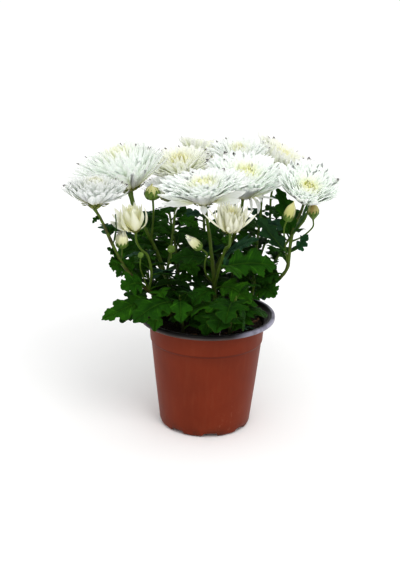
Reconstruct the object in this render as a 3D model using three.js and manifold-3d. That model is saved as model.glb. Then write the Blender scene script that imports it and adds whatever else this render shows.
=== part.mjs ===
// A pot chrysanthemum: a bushy white-flowered plant in a moulded nursery pot.
// Millimetres, +Z up. The origin is the centre of the pot's foot, on the
// surface that it stands on. -Y is the front of the plant.
import * as THREE from 'three';
import { mergeVertices } from 'three/addons/utils/BufferGeometryUtils.js';
import Module from 'manifold-3d';

const wasm = await Module();
wasm.setup();

// ---------------------------------------------------------------- driving dimensions
const RIM_RADIUS = 65;          // outside of the pot's lip
const POT_HEIGHT = 111;
const FOOT_RADIUS = 40.8;       // flat part of the base
const SHOULDER = 85;            // height of the stacking step
const WALL = 1.1;
const FEET = 8;                 // flat feet, with a drain channel between each two
const CHANNEL_HEIGHT = 2.4;
const DRAIN_RADIUS = 3.6;
const DRAIN_CIRCLE = 34;
const SOIL_LEVEL = 99;
const LEAF_THICKNESS = 1.0;
const PETIOLE_RADIUS = 0.95;
const HEAD_SOLID = 0.86;        // the solid of a head stops short of its loose petal tips
const POT_SEGMENTS = 48;
const HEAD_SEGMENTS = 12;
const STEM_SIDES = 6;

// ---------------------------------------------------------------- materials
const finish = (color, roughness, metalness = 0) => new THREE.MeshStandardMaterial({ color, roughness, metalness });
const terracotta = () => finish(0x9c4a2f, 0.5);
const peat = () => finish(0x2a1e16, 0.95);
const stemGreen = () => finish(0x5c7a33, 0.6);
const leafGreen = () => finish(0x2c5a24, 0.55);
const petalWhite = () => finish(0xf6f6ee, 0.6);
const budCream = () => finish(0xdfe0a8, 0.6);
const budGreen = () => finish(0x86a83f, 0.6);

// ---------------------------------------------------------------- solids
// only positions, with shared vertices merged
function welded(geometry) {
  const g = geometry.clone();
  g.deleteAttribute('normal');
  g.deleteAttribute('uv');
  return mergeVertices(g, 1e-4);
}

// faces turned round where a mapping has mirrored them
function outward(geometry) {
  const g = welded(geometry), p = g.attributes.position, ix = g.index.array;
  const a = new THREE.Vector3(), b = new THREE.Vector3(), c = new THREE.Vector3();
  let volume = 0;
  for (let i = 0; i < ix.length; i += 3) {
    a.fromBufferAttribute(p, ix[i]);
    b.fromBufferAttribute(p, ix[i + 1]);
    c.fromBufferAttribute(p, ix[i + 2]);
    volume += a.dot(b.cross(c));
  }
  if (volume < 0) {
    for (let i = 0; i < ix.length; i += 3) [ix[i], ix[i + 1]] = [ix[i + 1], ix[i]];
  }
  return g;
}

function solid(geometry) {
  const g = welded(geometry);
  return new wasm.Manifold(new wasm.Mesh({
    numProp: 3,
    vertProperties: new Float32Array(g.attributes.position.array),
    triVerts: new Uint32Array(g.index.array),
  }));
}

function geometryOf(manifold) {
  const m = manifold.getMesh(), g = new THREE.BufferGeometry();
  g.setAttribute('position', new THREE.BufferAttribute(new Float32Array(m.vertProperties), 3));
  g.setIndex(new THREE.BufferAttribute(new Uint32Array(m.triVerts), 1));
  return g;
}

function joined(geometries) {
  let s = solid(geometries[0]);
  for (const g of geometries.slice(1)) s = s.add(solid(g));
  return geometryOf(s);
}

// ---------------------------------------------------------------- sweeps
// frames carried along a curve without twist: place, tangent, up and side
function frames(curve, n, upHint) {
  const out = [];
  let up = upHint.clone();
  for (let i = 0; i <= n; i++) {
    const t = curve.getTangentAt(i / n).normalize();
    up = up.clone().addScaledVector(t, -up.dot(t)).normalize();
    out.push({ p: curve.getPointAt(i / n), t, up, side: new THREE.Vector3().crossVectors(t, up) });
  }
  return out;
}

// a tapering stem: a cylinder bent along a curve
function stem(points, r0, r1, sides, steps) {
  const curve = new THREE.CatmullRomCurve3(points.map((p) => new THREE.Vector3(...p)), false, 'centripetal');
  const f = frames(curve, steps, new THREE.Vector3(0.31, 0.95, 0.05));
  const g = new THREE.CylinderGeometry(1, 1, 1, sides, steps);
  const pos = g.attributes.position;
  for (let i = 0; i < pos.count; i++) {
    const u = pos.getY(i) + 0.5, q = f[Math.round(u * steps)], r = r0 + (r1 - r0) * u;
    const v = q.p.clone().addScaledVector(q.side, pos.getX(i) * r).addScaledVector(q.up, -pos.getZ(i) * r);
    pos.setXYZ(i, v.x, v.y, v.z);
  }
  return outward(g);
}

// ---------------------------------------------------------------- leaves
// A leaf is a five-lobed blade on a petiole, swept forward from a bent midrib.
// rows: place on the midrib, place along the blade, half width
const BLADE = [
  [0.00, 0.00, 0.05], [0.02, 0.04, 0.42], [0.08, 0.24, 0.86], [0.26, 0.34, 0.46],
  [0.36, 0.60, 1.00], [0.60, 0.67, 0.42], [0.68, 0.82, 0.56], [0.90, 0.95, 0.24], [0.985, 0.995, 0.05]];
const SMALL_BLADE = [
  [0.08, 0.24, 0.86], [0.26, 0.34, 0.48], [0.36, 0.60, 1.00], [0.70, 0.80, 0.52], [0.985, 0.995, 0.05]];
const MIDRIB_STEPS = 32;

function midrib({ base, bend, tip, roll }) {
  const B = new THREE.Vector3(...base), C = new THREE.Vector3(...bend), T = new THREE.Vector3(...tip);
  const curve = new THREE.QuadraticBezierCurve3(B, C, T);
  const up = new THREE.Vector3(0, 0, 1);
  if (Math.abs(curve.getTangentAt(0).z) > 0.93) up.set(B.x - T.x, B.y - T.y, 0.2).normalize();
  const f = frames(curve, MIDRIB_STEPS, up), a = THREE.MathUtils.degToRad(roll);
  for (const q of f) {
    const u = q.up.clone().multiplyScalar(Math.cos(a)).addScaledVector(q.side, Math.sin(a));
    q.side = q.side.clone().multiplyScalar(Math.cos(a)).addScaledVector(q.up, -Math.sin(a));
    q.up = u;
  }
  return f;
}

function bladePoint(f, fold, along, across, lift) {
  const s = Math.min(1, Math.max(0, along)) * MIDRIB_STEPS, i = Math.min(MIDRIB_STEPS - 1, Math.floor(s)), w = s - i;
  const up = f[i].up.clone().lerp(f[i + 1].up, w).normalize();
  const side = f[i].side.clone().lerp(f[i + 1].side, w).normalize();
  const a = THREE.MathUtils.degToRad(fold);
  return f[i].p.clone().lerp(f[i + 1].p, w)
    .addScaledVector(side, across * Math.cos(a))
    .addScaledVector(up, Math.abs(across) * Math.sin(a) + lift);
}

// Both faces of a blade are split along the same diagonals, so a thin blade never runs through itself.
function splitAlike(g, rows) {
  const ix = g.index.array;
  for (const x of [0, 2]) {
    for (let y = 0; y < rows; y++) {
      const k = 6 * (x * rows + y), a = ix[k], b = ix[k + 1], d = ix[k + 2], c = ix[k + 4];
      ix.set([a, b, c, a, c, d], k);
    }
  }
}

function leaf(spec, rows) {
  const f = midrib(spec), pf = spec.petiole;
  // stations: midrib place, edge place, half width, half thickness
  const st = [[0, 0, PETIOLE_RADIUS, PETIOLE_RADIUS]];
  if (rows === BLADE) st.push([pf * 0.75, pf * 0.75, 0.8, 0.8]);
  for (const [m, a, b] of rows) {
    st.push([pf + (1 - pf) * m, pf + (1 - pf) * a, Math.max(b * spec.halfWidth, 0.5), (m > 0.95 ? 0.35 : 0.5) * LEAF_THICKNESS]);
  }
  const n = st.length - 1, g = new THREE.CylinderGeometry(1, 1, 1, 4, n), pos = g.attributes.position;
  splitAlike(g, n);
  for (let i = 0; i < pos.count; i++) {
    const [m, a, w, h] = st[Math.round((pos.getY(i) + 0.5) * n)], x = pos.getX(i), z = pos.getZ(i);
    let v;
    if (Math.abs(x) < 1e-6 && Math.abs(z) < 1e-6) v = bladePoint(f, spec.fold, m, 0, 0);
    else if (Math.abs(x) > 0.5) v = bladePoint(f, spec.fold, a, Math.sign(x) * w, 0);
    else v = bladePoint(f, spec.fold, m, 0, Math.sign(z) * h);
    pos.setXYZ(i, v.x, v.y, v.z);
  }
  return outward(g);
}

// ---------------------------------------------------------------- turned shapes
function lathe(profile, segments, shape) {
  const g = new THREE.LatheGeometry(profile.map(([r, z]) => new THREE.Vector2(r, z)), segments);
  g.rotateX(Math.PI / 2);
  if (shape) {
    const pos = g.attributes.position;
    for (let i = 0; i < pos.count; i++) pos.setXYZ(i, ...shape(pos.getX(i), pos.getY(i), pos.getZ(i)));
  }
  return outward(g);
}

// Flower heads: radius and height as shares of the head's radius, from the stem up.
// open: petals spread to the horizontal; cup: petals still rising; half: a half-open head
const HEAD_PROFILES = {
  open: [[0, 0], [0.08, 0], [0.20, 0.13], [0.62, 0.25], [1.0, 0.36], [0.96, 0.50], [0.62, 0.76], [0, 0.90]],
  cup: [[0, 0], [0.09, 0], [0.25, 0.16], [0.66, 0.48], [1.0, 0.74], [0.95, 0.86], [0.60, 0.99], [0, 1.04]],
  half: [[0, 0], [0.10, 0], [0.34, 0.12], [0.52, 0.36], [0.88, 0.92], [0.74, 1.02], [0.36, 1.04], [0, 1.02]],
};

function flowerHead(kind, radius, tall) {
  const profile = HEAD_PROFILES[kind].map(([r, z]) =>
    [r * radius * (r > 0.3 ? HEAD_SOLID : 1), z * radius * tall * (z > 0.3 ? 0.96 : 1)]);
  // every second meridian is drawn in a little, as the petals part
  return lathe(profile, HEAD_SEGMENTS, (x, y, z) => {
    if (Math.hypot(x, y) < 0.45 * radius) return [x, y, z];
    const m = Math.round(Math.atan2(y, x) / (2 * Math.PI / HEAD_SEGMENTS)) & 1 ? 1.0 : 0.93;
    return [x * m, y * m, z];
  });
}

function budBody(kind, length, radius) {
  const p = kind === 'green'
    ? [[0, 0], [0.55, 0.02], [0.98, 0.28], [1, 0.62], [0.62, 0.93], [0, 1]]
    : [[0, 0], [0.42, 0.01], [0.90, 0.20], [1, 0.45], [0.80, 0.76], [0.36, 0.97], [0, 1]];
  return lathe(p.map(([r, z]) => [r * radius, z * length]), 8);
}

// ---------------------------------------------------------------- pot and soil
function nurseryPot() {
  const R = RIM_RADIUS, H = POT_HEIGHT, S = SHOULDER;
  // up the outside, over the rolled lip and down the inside
  const profile = [[0, 0], [14, 0], [22, 0], [FOOT_RADIUS, 0], [43.2, 1.6], [48.5, 44], [52.9, S - 0.4], [54.5, S + 1.2],
    [55.2, H - 8], [59.4, H - 4.8], [R - 0.4, H - 4.3], [R, H - 0.6], [R - 0.7, H], [R - 4.6, H], [57.2, H - 4.1],
    [55.2 - WALL, H - 8], [54.5 - WALL, S + 1.9], [52.9 - WALL, S + 0.3], [42.2, 3.9], [22, 3.9], [14, 1.2], [0, 1.2]];
  const body = lathe(profile, POT_SEGMENTS, (x, y, z) => {
    const r = Math.hypot(x, y);
    if (r < 21 || z > 3.5) return [x, y, z];
    // channels between the feet, open at the pot's edge
    const a = Math.atan2(y, x) * 180 / Math.PI, pitch = 360 / FEET;
    const d = Math.abs(((a + 105 + 720) % pitch) - pitch / 2);
    return [x, y, d < 9 && z < CHANNEL_HEIGHT ? CHANNEL_HEIGHT : z];
  });
  let s = solid(body);
  for (let k = 0; k < FEET; k++) {
    const a = (-105 + 22.5 + k * 45) * Math.PI / 180;
    const hole = new THREE.CylinderGeometry(DRAIN_RADIUS, DRAIN_RADIUS, 8, 12);
    hole.rotateX(Math.PI / 2);
    hole.translate(Math.cos(a) * DRAIN_CIRCLE, Math.sin(a) * DRAIN_CIRCLE, 3);
    s = s.subtract(solid(hole));
  }
  return geometryOf(s);
}

function pottingSoil() {
  const S = SHOULDER, T = SOIL_LEVEL;
  return lathe([[0, 4.3], [41.8, 4.3], [51.3, S + 0.3], [52.9, S + 2.1], [53.5, T - 0.4], [50, T], [0, T]], POT_SEGMENTS);
}

// ---------------------------------------------------------------- the plant
// Each stem is given by points along its middle, from its foot, and its radius at both ends.
// A side stem names the cutting that it grows from, and starts clear of it.
// Leaves: base, bend and tip of the midrib, half width, roll and fold in degrees, share taken by the petiole.
const STEMS = {
  stem_far_left: {
    points: [[-27.0, -10.0, 100.8], [-33.9, -13.3, 112.7], [-41.1, -16.8, 124.4], [-49.7, -21.2, 134.8], [-59.2, -26.3, 144.0], [-67.7, -31.7, 154.0], [-75.3, -37.3, 164.6], [-80.9, -42.8, 176.4], [-85.7, -47.7, 188.8], [-90.5, -51.7, 201.5], [-95.4, -55.3, 214.3], [-101.7, -58.0, 226.6]],
    radii: [2.15, 1.22],
    leaves: [
      [[-33.6, -13.1, 112.2], [-18.0, -35.4, 115.8], [-19.4, -36.3, 114.4], 10, 10, 8, 0.14],
      [[-97.0, -56.2, 218.1], [-100.2, -58.0, 220.2], [-103.7, -58.5, 213.7], 3.4, -20, 10, 0.1],
      [[-86.7, -48.6, 191.4], [-81.8, -50.6, 203.8], [-84.1, -50.6, 220.5], 5, 30, 10, 0.1],
      [[-81.5, -43.4, 177.9], [-87.0, -44.4, 183.8], [-92.1, -44.4, 186.9], 5, -30, 10, 0.1],
      [[-78.7, -40.5, 171.3], [-83.8, -44.3, 177.3], [-88.7, -46.3, 176.5], 5.5, -35, 10, 0.1],
      [[-39.8, -16.1, 122.6], [-40.3, -1.2, 136.4], [-40.8, 16.1, 127.3], 11.5, -19.4, 9.5, 0.18],
      [[-49.4, -21.1, 134.4], [-45.0, -34.7, 149.4], [-40.2, -49.7, 141.6], 8.9, 12.2, 13.7, 0.18],
      [[-62.1, -28.1, 147.3], [-66.9, -13.6, 161.3], [-72.4, 3.1, 151.2], 12.3, 24.3, 5.3, 0.18],
      [[-88.4, -50.0, 196.0], [-92.5, -41.0, 209.1], [-96.7, -31.8, 204.5], 6.8, -5.5, 12.5, 0.18],
      [[-55.1, -24.1, 140.0], [-37.2, -23.0, 153.8], [-15.6, -21.8, 140.6], 14.0, -26.1, 12.4, 0.18],
      [[-90.3, -51.5, 201.0], [-85.8, -43.2, 207.7], [-80.3, -32.9, 200.5], 7.1, 12.4, 13.9, 0.18],
      [[-42.6, -17.5, 126.4], [-58.5, -29.8, 134.3], [-79.7, -46.1, 115.8], 16.0, -5.1, 8.9, 0.18],
      [[-46.5, -19.5, 131.1], [-58.3, -11.5, 150.1], [-70.3, -3.4, 143.7], 10.5, 14.5, 10.2, 0.18],
      [[-66.6, -31.0, 152.7], [-74.3, -20.9, 158.8], [-84.2, -7.8, 147.7], 8.2, 12.0, 13.1, 0.18],
    ],
  },
  stem_left: {
    points: [[-17.0, 18.0, 100.8], [-25.0, 17.3, 112.4], [-32.6, 16.4, 124.2], [-38.3, 14.4, 137.0], [-42.9, 11.9, 150.1], [-47.3, 9.2, 163.2], [-52.5, 6.8, 176.1], [-58.3, 4.3, 188.7], [-64.4, 2.9, 201.3], [-70.1, 3.1, 214.2], [-73.1, 2.0, 227.9]],
    radii: [2.24, 1.35],
    leaves: [
      [[-31.5, 16.6, 122.3], [-39.5, 6.0, 128.9], [-49.8, -7.8, 118.0], 8.6, 6.9, 10.6, 0.18],
      [[-38.2, 14.5, 136.7], [-30.4, 6.1, 146.0], [-21.2, -4.0, 138.3], 8.5, -9.4, 5.6, 0.18],
      [[-43.4, 11.6, 151.5], [-53.4, 20.6, 162.7], [-65.3, 31.2, 153.8], 9.2, 20.4, 11.3, 0.18],
      [[-48.5, 8.6, 166.4], [-52.9, 5.3, 171.1], [-58.1, 1.5, 167.6], 4.1, -3.4, 8.7, 0.18],
      [[-54.6, 5.8, 180.9], [-50.3, 13.3, 187.3], [-44.9, 22.3, 181.2], 6.3, -9.5, 5.6, 0.18],
      [[-50.1, 7.8, 170.6], [-62.3, 1.4, 183.5], [-76.2, -5.9, 174.6], 11.0, -22.6, 11.7, 0.18],
      [[-57.8, 4.5, 187.5], [-54.4, 15.9, 202.6], [-50.9, 27.6, 196.9], 9.5, 4.4, 6.1, 0.18],
      [[-36.4, 15.2, 132.2], [-25.6, 14.9, 144.9], [-14.1, 14.5, 139.3], 7.2, 24.5, 13.6, 0.18],
      [[-46.0, 10.0, 159.6], [-58.7, 1.6, 171.9], [-73.8, -8.3, 161.1], 10.6, -9.3, 7.5, 0.18],
      [[-63.4, 3.0, 199.2], [-60.0, 11.0, 208.2], [-56.3, 20.0, 202.9], 6.9, -7.8, 13.5, 0.18],
      [[-28.7, 17.0, 117.9], [-35.9, 29.6, 133.0], [-44.0, 43.7, 124.3], 11.4, 23.6, 9.6, 0.18],
      [[-34.4, 15.9, 127.8], [-25.2, 10.9, 135.9], [-14.1, 4.9, 128.2], 7.3, -7.9, 9.4, 0.18],
    ],
  },
  stem_front: {
    points: [[7.0, -17.0, 100.8], [7.1, -19.4, 113.0], [7.2, -21.7, 125.2], [7.0, -24.1, 137.5], [5.9, -26.3, 149.7], [4.6, -29.1, 161.7], [3.3, -32.7, 173.6], [1.9, -36.3, 185.4], [0.6, -39.1, 197.5], [-1.3, -43.5, 209.0], [-2.7, -49.9, 219.5], [-4.2, -52.9, 231.5]],
    radii: [2.32, 1.35],
    leaves: [
      [[3.5, -32.3, 172.2], [-16.6, -39.8, 184.5], [-35.1, -37.8, 173.9], 10, -30, 8, 0.14],
      [[7.2, -21.9, 126.0], [16.5, -17.0, 139.0], [26.3, -11.9, 134.2], 8.1, -18.4, 10.4, 0.18],
      [[-2.3, -48.1, 216.1], [-7.3, -46.2, 221.4], [-12.9, -44.2, 218.3], 4.2, 6.9, 9.8, 0.18],
      [[4.3, -29.8, 164.2], [-2.1, -18.2, 172.1], [-10.3, -3.6, 161.2], 9.8, 18.2, 7.1, 0.18],
      [[5.9, -26.2, 149.2], [4.2, -17.3, 158.2], [2.3, -7.3, 152.6], 6.5, 9.7, 12.9, 0.18],
    ],
  },
  stem_centre_right: {
    points: [[8.0, 27.0, 100.8], [7.4, 28.1, 113.9], [6.7, 29.2, 127.0], [7.2, 29.9, 140.1], [10.9, 30.1, 152.7], [17.2, 29.9, 164.2], [22.7, 27.8, 175.9], [26.0, 22.6, 187.6], [28.3, 16.1, 198.8], [30.1, 10.3, 210.4], [30.9, 6.2, 222.9]],
    radii: [2.24, 1.35],
    leaves: [
      [[6.7, 29.2, 126.7], [16.6, 33.0, 131.2], [29.7, 38.1, 122.0], 7.5, -14.0, 12.8, 0.18],
      [[7.7, 30.0, 142.6], [3.6, 38.9, 147.0], [-1.8, 50.6, 138.7], 6.3, 20.4, 11.2, 0.18],
      [[13.3, 30.2, 157.5], [6.6, 20.4, 169.8], [-1.0, 9.5, 163.2], 8.8, 24.8, 12.7, 0.18],
      [[20.8, 28.9, 171.5], [23.2, 35.7, 177.0], [26.0, 44.0, 172.0], 4.9, -19.2, 13.4, 0.18],
      [[25.5, 23.5, 185.8], [18.7, 18.5, 193.1], [10.6, 12.5, 187.7], 5.6, -8.3, 7.6, 0.18],
      [[28.4, 15.8, 199.4], [37.1, 14.9, 203.4], [48.3, 13.8, 196.1], 5.6, 4.6, 7.9, 0.18],
      [[18.6, 29.6, 167.0], [4.9, 30.9, 183.8], [-9.5, 32.3, 176.7], 10.0, -27.0, 5.8, 0.18],
      [[11.1, 30.1, 153.1], [2.4, 44.9, 170.8], [-7.4, 61.5, 160.4], 13.9, -18.7, 5.0, 0.18],
      [[24.4, 25.7, 181.4], [31.5, 37.3, 194.5], [39.6, 50.7, 185.8], 10.2, -25.5, 7.0, 0.18],
      [[27.1, 20.0, 192.2], [35.9, 26.5, 197.0], [47.6, 35.1, 187.1], 7.6, 19.3, 6.9, 0.18],
      [[6.7, 29.5, 131.6], [-3.3, 39.4, 148.3], [-13.9, 49.8, 141.0], 10.7, 23.6, 11.5, 0.18],
    ],
  },
  stem_right: {
    points: [[32.0, 2.0, 100.8], [36.2, -0.6, 113.1], [41.3, -3.5, 125.1], [49.4, -7.2, 134.8], [58.8, -11.3, 143.3], [67.4, -15.3, 152.6], [73.4, -19.0, 163.7], [74.3, -21.4, 176.8], [75.2, -22.8, 190.0], [77.6, -18.3, 201.5], [81.5, -6.4, 206.0], [85.7, 1.3, 213.6], [87.2, -6.4, 224.4]],
    radii: [2.15, 1.26],
    leaves: [
      [[74.5, -21.9, 180.1], [84.1, -22.0, 182.1], [90.6, -24.0, 197.7], 8, 30, 8, 0.3],
      [[75.3, -22.6, 191.0], [71.1, -8.0, 223.8], [61.7, 4.0, 233.8], 8, -20, 8, 0.1],
      [[41.0, -3.3, 124.6], [33.2, 6.1, 131.8], [23.4, 18.1, 122.3], 8.2, -9.8, 12.1, 0.18],
      [[69.9, -16.7, 156.4], [59.1, -21.3, 161.9], [45.1, -27.2, 151.6], 9.2, -28.0, 7.7, 0.18],
      [[73.9, -19.6, 166.1], [67.8, -10.8, 180.7], [61.7, -2.1, 176.0], 8.2, 27.0, 5.6, 0.18],
      [[48.6, -6.8, 133.9], [38.1, -1.8, 139.0], [24.4, 4.9, 128.5], 8.7, -0.3, 11.7, 0.18],
      [[67.3, -15.2, 152.4], [55.2, -16.3, 168.4], [42.8, -17.3, 162.8], 8.9, 27.9, 6.9, 0.18],
      [[76.3, -21.1, 196.8], [79.4, -10.9, 201.6], [83.5, 2.5, 192.0], 8.5, -7.4, 7.6, 0.18],
      [[51.8, -8.3, 137.1], [58.6, -1.7, 149.4], [65.5, 5.1, 145.0], 6.5, -3.9, 6.1, 0.18],
      [[74.2, -21.1, 175.0], [76.7, -10.0, 183.5], [79.7, 3.4, 175.0], 8.9, -13.9, 13.6, 0.18],
      [[81.0, -7.7, 205.4], [72.2, -5.6, 214.0], [62.1, -3.2, 208.2], 7.2, -16.7, 13.0, 0.18],
    ],
  },
  stem_half_open_left: {
    from: 'stem_far_left',
    points: [[-54.0, -25.6, 145.1], [-52.5, -28.0, 153.5], [-52.4, -30.5, 161.9], [-53.8, -32.8, 170.3], [-56.2, -35.1, 178.5], [-61.8, -37.9, 184.4], [-65.6, -39.6, 191.8], [-66.5, -40.0, 200.5]],
    radii: [1.38, 1.03],
    leaves: [
      [[-52.4, -30.5, 161.9], [-65.5, -20.9, 173.8], [-81.4, -9.2, 161.6], 11.8, 0.7, 12.7, 0.18],
      [[-65.6, -39.6, 191.6], [-69.0, -27.9, 197.1], [-73.5, -12.6, 186.2], 8.4, 0.6, 13.0, 0.18],
      [[-55.7, -34.7, 177.4], [-65.5, -32.6, 181.8], [-78.3, -29.9, 172.8], 6.7, 1.0, 6.5, 0.18],
      [[-54.2, -33.3, 172.1], [-55.5, -22.8, 178.1], [-57.3, -9.5, 169.2], 7.9, -19.9, 14.0, 0.18],
      [[-52.3, -29.0, 156.6], [-42.6, -25.9, 160.8], [-29.8, -21.9, 151.5], 6.8, -20.0, 6.6, 0.18],
      [[-53.0, -31.8, 166.6], [-47.0, -26.2, 170.2], [-39.2, -19.0, 162.9], 5.6, -22.5, 6.9, 0.18],
    ],
  },
  stem_back_left: {
    from: 'stem_left',
    points: [[-39.2, 16.7, 145.7], [-37.5, 24.3, 156.7], [-35.9, 31.6, 168.0], [-34.5, 37.6, 180.0], [-33.3, 42.5, 192.6], [-31.0, 48.8, 204.2], [-26.1, 58.2, 211.7], [-27.4, 55.4, 224.6]],
    radii: [1.38, 1.17],
    leaves: [
      [[-38.0, 22.4, 153.8], [-27.8, 26.7, 165.1], [-16.5, 31.4, 158.9], 7.0, -8.8, 10.9, 0.18],
      [[-36.0, 31.1, 167.1], [-48.7, 30.4, 176.6], [-64.1, 29.6, 167.7], 9.7, 15.7, 5.7, 0.18],
      [[-34.3, 38.2, 181.3], [-27.7, 38.3, 184.5], [-19.1, 38.5, 179.0], 4.6, 11.5, 9.4, 0.18],
      [[-32.8, 44.1, 196.1], [-36.6, 48.4, 199.6], [-41.4, 53.8, 195.2], 4.1, -16.6, 6.8, 0.18],
      [[-33.8, 40.8, 188.5], [-23.5, 38.5, 194.3], [-10.4, 35.4, 185.4], 8.1, 25.5, 12.0, 0.18],
      [[-36.8, 27.8, 161.9], [-44.9, 40.3, 176.2], [-54.2, 54.4, 166.7], 10.4, -2.2, 13.3, 0.18],
      [[-34.9, 36.0, 176.4], [-22.3, 29.7, 185.6], [-6.6, 21.9, 174.5], 9.9, 29.4, 10.0, 0.18],
      [[-32.1, 46.1, 200.3], [-39.1, 39.0, 205.8], [-48.1, 30.0, 197.4], 6.7, -7.0, 7.0, 0.18],
    ],
  },
  stem_rear_left: {
    from: 'stem_left',
    points: [[-38.9, 19.2, 135.0], [-46.5, 28.3, 145.7], [-54.6, 37.7, 155.7], [-64.9, 48.0, 162.1], [-75.9, 58.6, 166.4], [-79.7, 69.1, 176.8], [-76.1, 76.3, 190.5], [-79.8, 79.9, 205.4]],
    radii: [1.38, 1.12],
    leaves: [
      [[-43.6, 24.9, 141.8], [-58.8, 19.4, 154.4], [-76.9, 12.8, 143.5], 11.9, -13.6, 5.9, 0.18],
      [[-51.4, 34.1, 152.3], [-56.2, 26.5, 155.8], [-62.7, 16.5, 147.9], 6.2, -7.6, 13.8, 0.18],
      [[-61.0, 44.1, 160.0], [-53.8, 48.4, 166.7], [-45.3, 53.5, 161.0], 6.5, 13.2, 8.3, 0.18],
      [[-72.3, 54.6, 164.4], [-81.9, 57.6, 175.4], [-92.5, 60.8, 170.1], 7.1, 7.5, 12.8, 0.18],
      [[-79.2, 65.7, 172.8], [-70.6, 68.4, 176.7], [-59.1, 71.9, 168.9], 6.4, 24.7, 5.9, 0.18],
      [[-77.1, 74.2, 185.8], [-75.7, 79.8, 188.7], [-73.9, 86.9, 184.0], 3.7, -5.4, 8.0, 0.18],
      [[-55.8, 39.0, 156.7], [-69.8, 32.1, 168.7], [-86.7, 23.8, 157.3], 11.5, -25.2, 11.8, 0.18],
      [[-68.0, 50.8, 163.2], [-56.8, 52.7, 177.5], [-45.0, 54.6, 171.9], 8.0, 19.8, 9.3, 0.18],
      [[-75.8, 58.5, 166.3], [-65.3, 59.4, 173.1], [-52.1, 60.5, 164.7], 7.6, 26.4, 8.8, 0.18],
      [[-64.3, 47.4, 161.8], [-53.5, 37.0, 169.6], [-39.6, 23.6, 156.7], 11.8, 12.6, 9.4, 0.18],
      [[-79.7, 69.9, 178.0], [-72.0, 59.8, 191.4], [-63.5, 48.6, 183.9], 8.9, 14.8, 6.9, 0.18],
      [[-48.3, 30.4, 148.2], [-43.9, 41.2, 161.7], [-39.3, 52.9, 155.3], 8.4, -13.8, 7.1, 0.18],
      [[-78.2, 62.6, 169.7], [-63.3, 64.1, 181.7], [-45.6, 65.9, 170.9], 10.3, 8.8, 5.7, 0.18],
    ],
  },
  stem_half_open_front: {
    from: 'stem_front',
    points: [[7.5, -31.2, 154.1], [9.1, -38.1, 164.0], [10.9, -45.1, 173.9], [12.7, -51.7, 183.9], [14.5, -59.2, 193.3], [16.3, -70.0, 198.2], [17.7, -80.3, 203.0], [18.0, -81.9, 215.0]],
    radii: [1.5, 1.22],
    leaves: [
      [[10.6, -44.0, 172.2], [18.4, -53.4, 178.3], [28.6, -65.7, 167.5], 9.4, -15.9, 5.4, 0.18],
      [[9.4, -39.3, 165.7], [20.9, -29.9, 173.2], [35.6, -17.8, 160.4], 10.5, 27.9, 12.8, 0.18],
      [[16.9, -74.8, 199.9], [15.1, -68.6, 208.3], [13.1, -62.3, 205.2], 4.5, -19.1, 11.8, 0.18],
    ],
  },
  stem_back: {
    from: 'stem_centre_right',
    points: [[6.9, 34.6, 146.3], [2.5, 50.4, 153.0], [-1.7, 66.0, 160.2], [-4.3, 80.6, 169.9], [-5.2, 93.7, 181.7], [-7.5, 103.1, 196.3], [-11.7, 107.6, 212.9], [-10.2, 111.9, 229.9]],
    radii: [1.38, 1.17],
    leaves: [
      [[4.4, 43.6, 150.0], [-4.6, 33.4, 156.0], [-16.3, 20.1, 144.5], 10.3, 13.2, 8.1, 0.18],
      [[0.4, 57.8, 156.2], [5.1, 65.6, 161.4], [11.1, 75.5, 154.2], 6.7, -13.2, 7.9, 0.18],
      [[-2.8, 71.6, 163.5], [-13.5, 79.5, 173.3], [-26.4, 89.1, 164.0], 8.9, 1.3, 8.8, 0.18],
      [[-4.7, 84.4, 172.9], [5.8, 79.4, 180.2], [18.9, 73.2, 171.4], 7.8, 21.3, 9.7, 0.18],
      [[-5.5, 95.7, 184.2], [-3.1, 102.2, 189.7], [-0.3, 110.0, 185.0], 4.4, 2.8, 8.4, 0.18],
      [[-5.0, 92.6, 180.5], [-14.3, 90.2, 187.1], [-25.7, 87.3, 179.7], 7.0, -22.7, 8.6, 0.18],
      [[-1.1, 63.4, 158.8], [13.0, 71.6, 172.9], [29.4, 81.2, 161.8], 10.9, -9.7, 14.0, 0.18],
      [[2.6, 49.9, 152.7], [-11.6, 57.8, 161.8], [-29.6, 67.8, 148.2], 12.2, -9.6, 8.1, 0.18],
      [[-4.3, 80.1, 169.4], [-15.9, 76.1, 177.8], [-30.2, 71.1, 168.3], 9.9, 9.7, 5.9, 0.18],
      [[-3.6, 75.6, 166.2], [4.7, 85.1, 172.8], [15.2, 97.3, 162.0], 9.1, 22.7, 11.1, 0.18],
      [[-2.0, 67.3, 161.0], [-4.0, 51.9, 174.9], [-6.4, 34.0, 164.4], 12.0, 28.0, 13.6, 0.18],
      [[-4.8, 88.0, 176.0], [-17.8, 91.7, 180.9], [-35.3, 96.6, 168.2], 9.7, 27.1, 9.2, 0.18],
      [[-7.3, 102.7, 195.3], [-2.1, 91.5, 207.1], [3.9, 78.7, 199.1], 8.4, -25.7, 13.4, 0.18],
      [[-10.0, 105.8, 205.0], [-7.7, 114.0, 209.4], [-4.6, 124.5, 202.1], 5.8, 0.4, 6.7, 0.18],
    ],
  },
  stem_rear_low: {
    from: 'stem_centre_right',
    points: [[4.4, 33.8, 129.9], [-3.1, 49.3, 132.1], [-10.7, 64.7, 134.7], [-19.1, 79.1, 139.7], [-28.4, 91.6, 147.3], [-35.4, 102.8, 158.5], [-39.3, 112.0, 172.7], [-41.9, 120.7, 187.5]],
    radii: [1.38, 1.12],
    leaves: [
      [[0.1, 42.8, 131.1], [9.7, 47.4, 135.8], [22.2, 53.4, 126.8], 8.2, 20.6, 11.7, 0.18],
      [[-6.8, 57.0, 133.2], [-19.6, 64.0, 145.8], [-34.6, 72.1, 136.5], 10.0, 21.4, 9.2, 0.18],
      [[-14.1, 70.9, 136.5], [-11.3, 54.0, 143.5], [-7.7, 31.7, 128.8], 10.6, 9.9, 8.2, 0.18],
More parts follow.
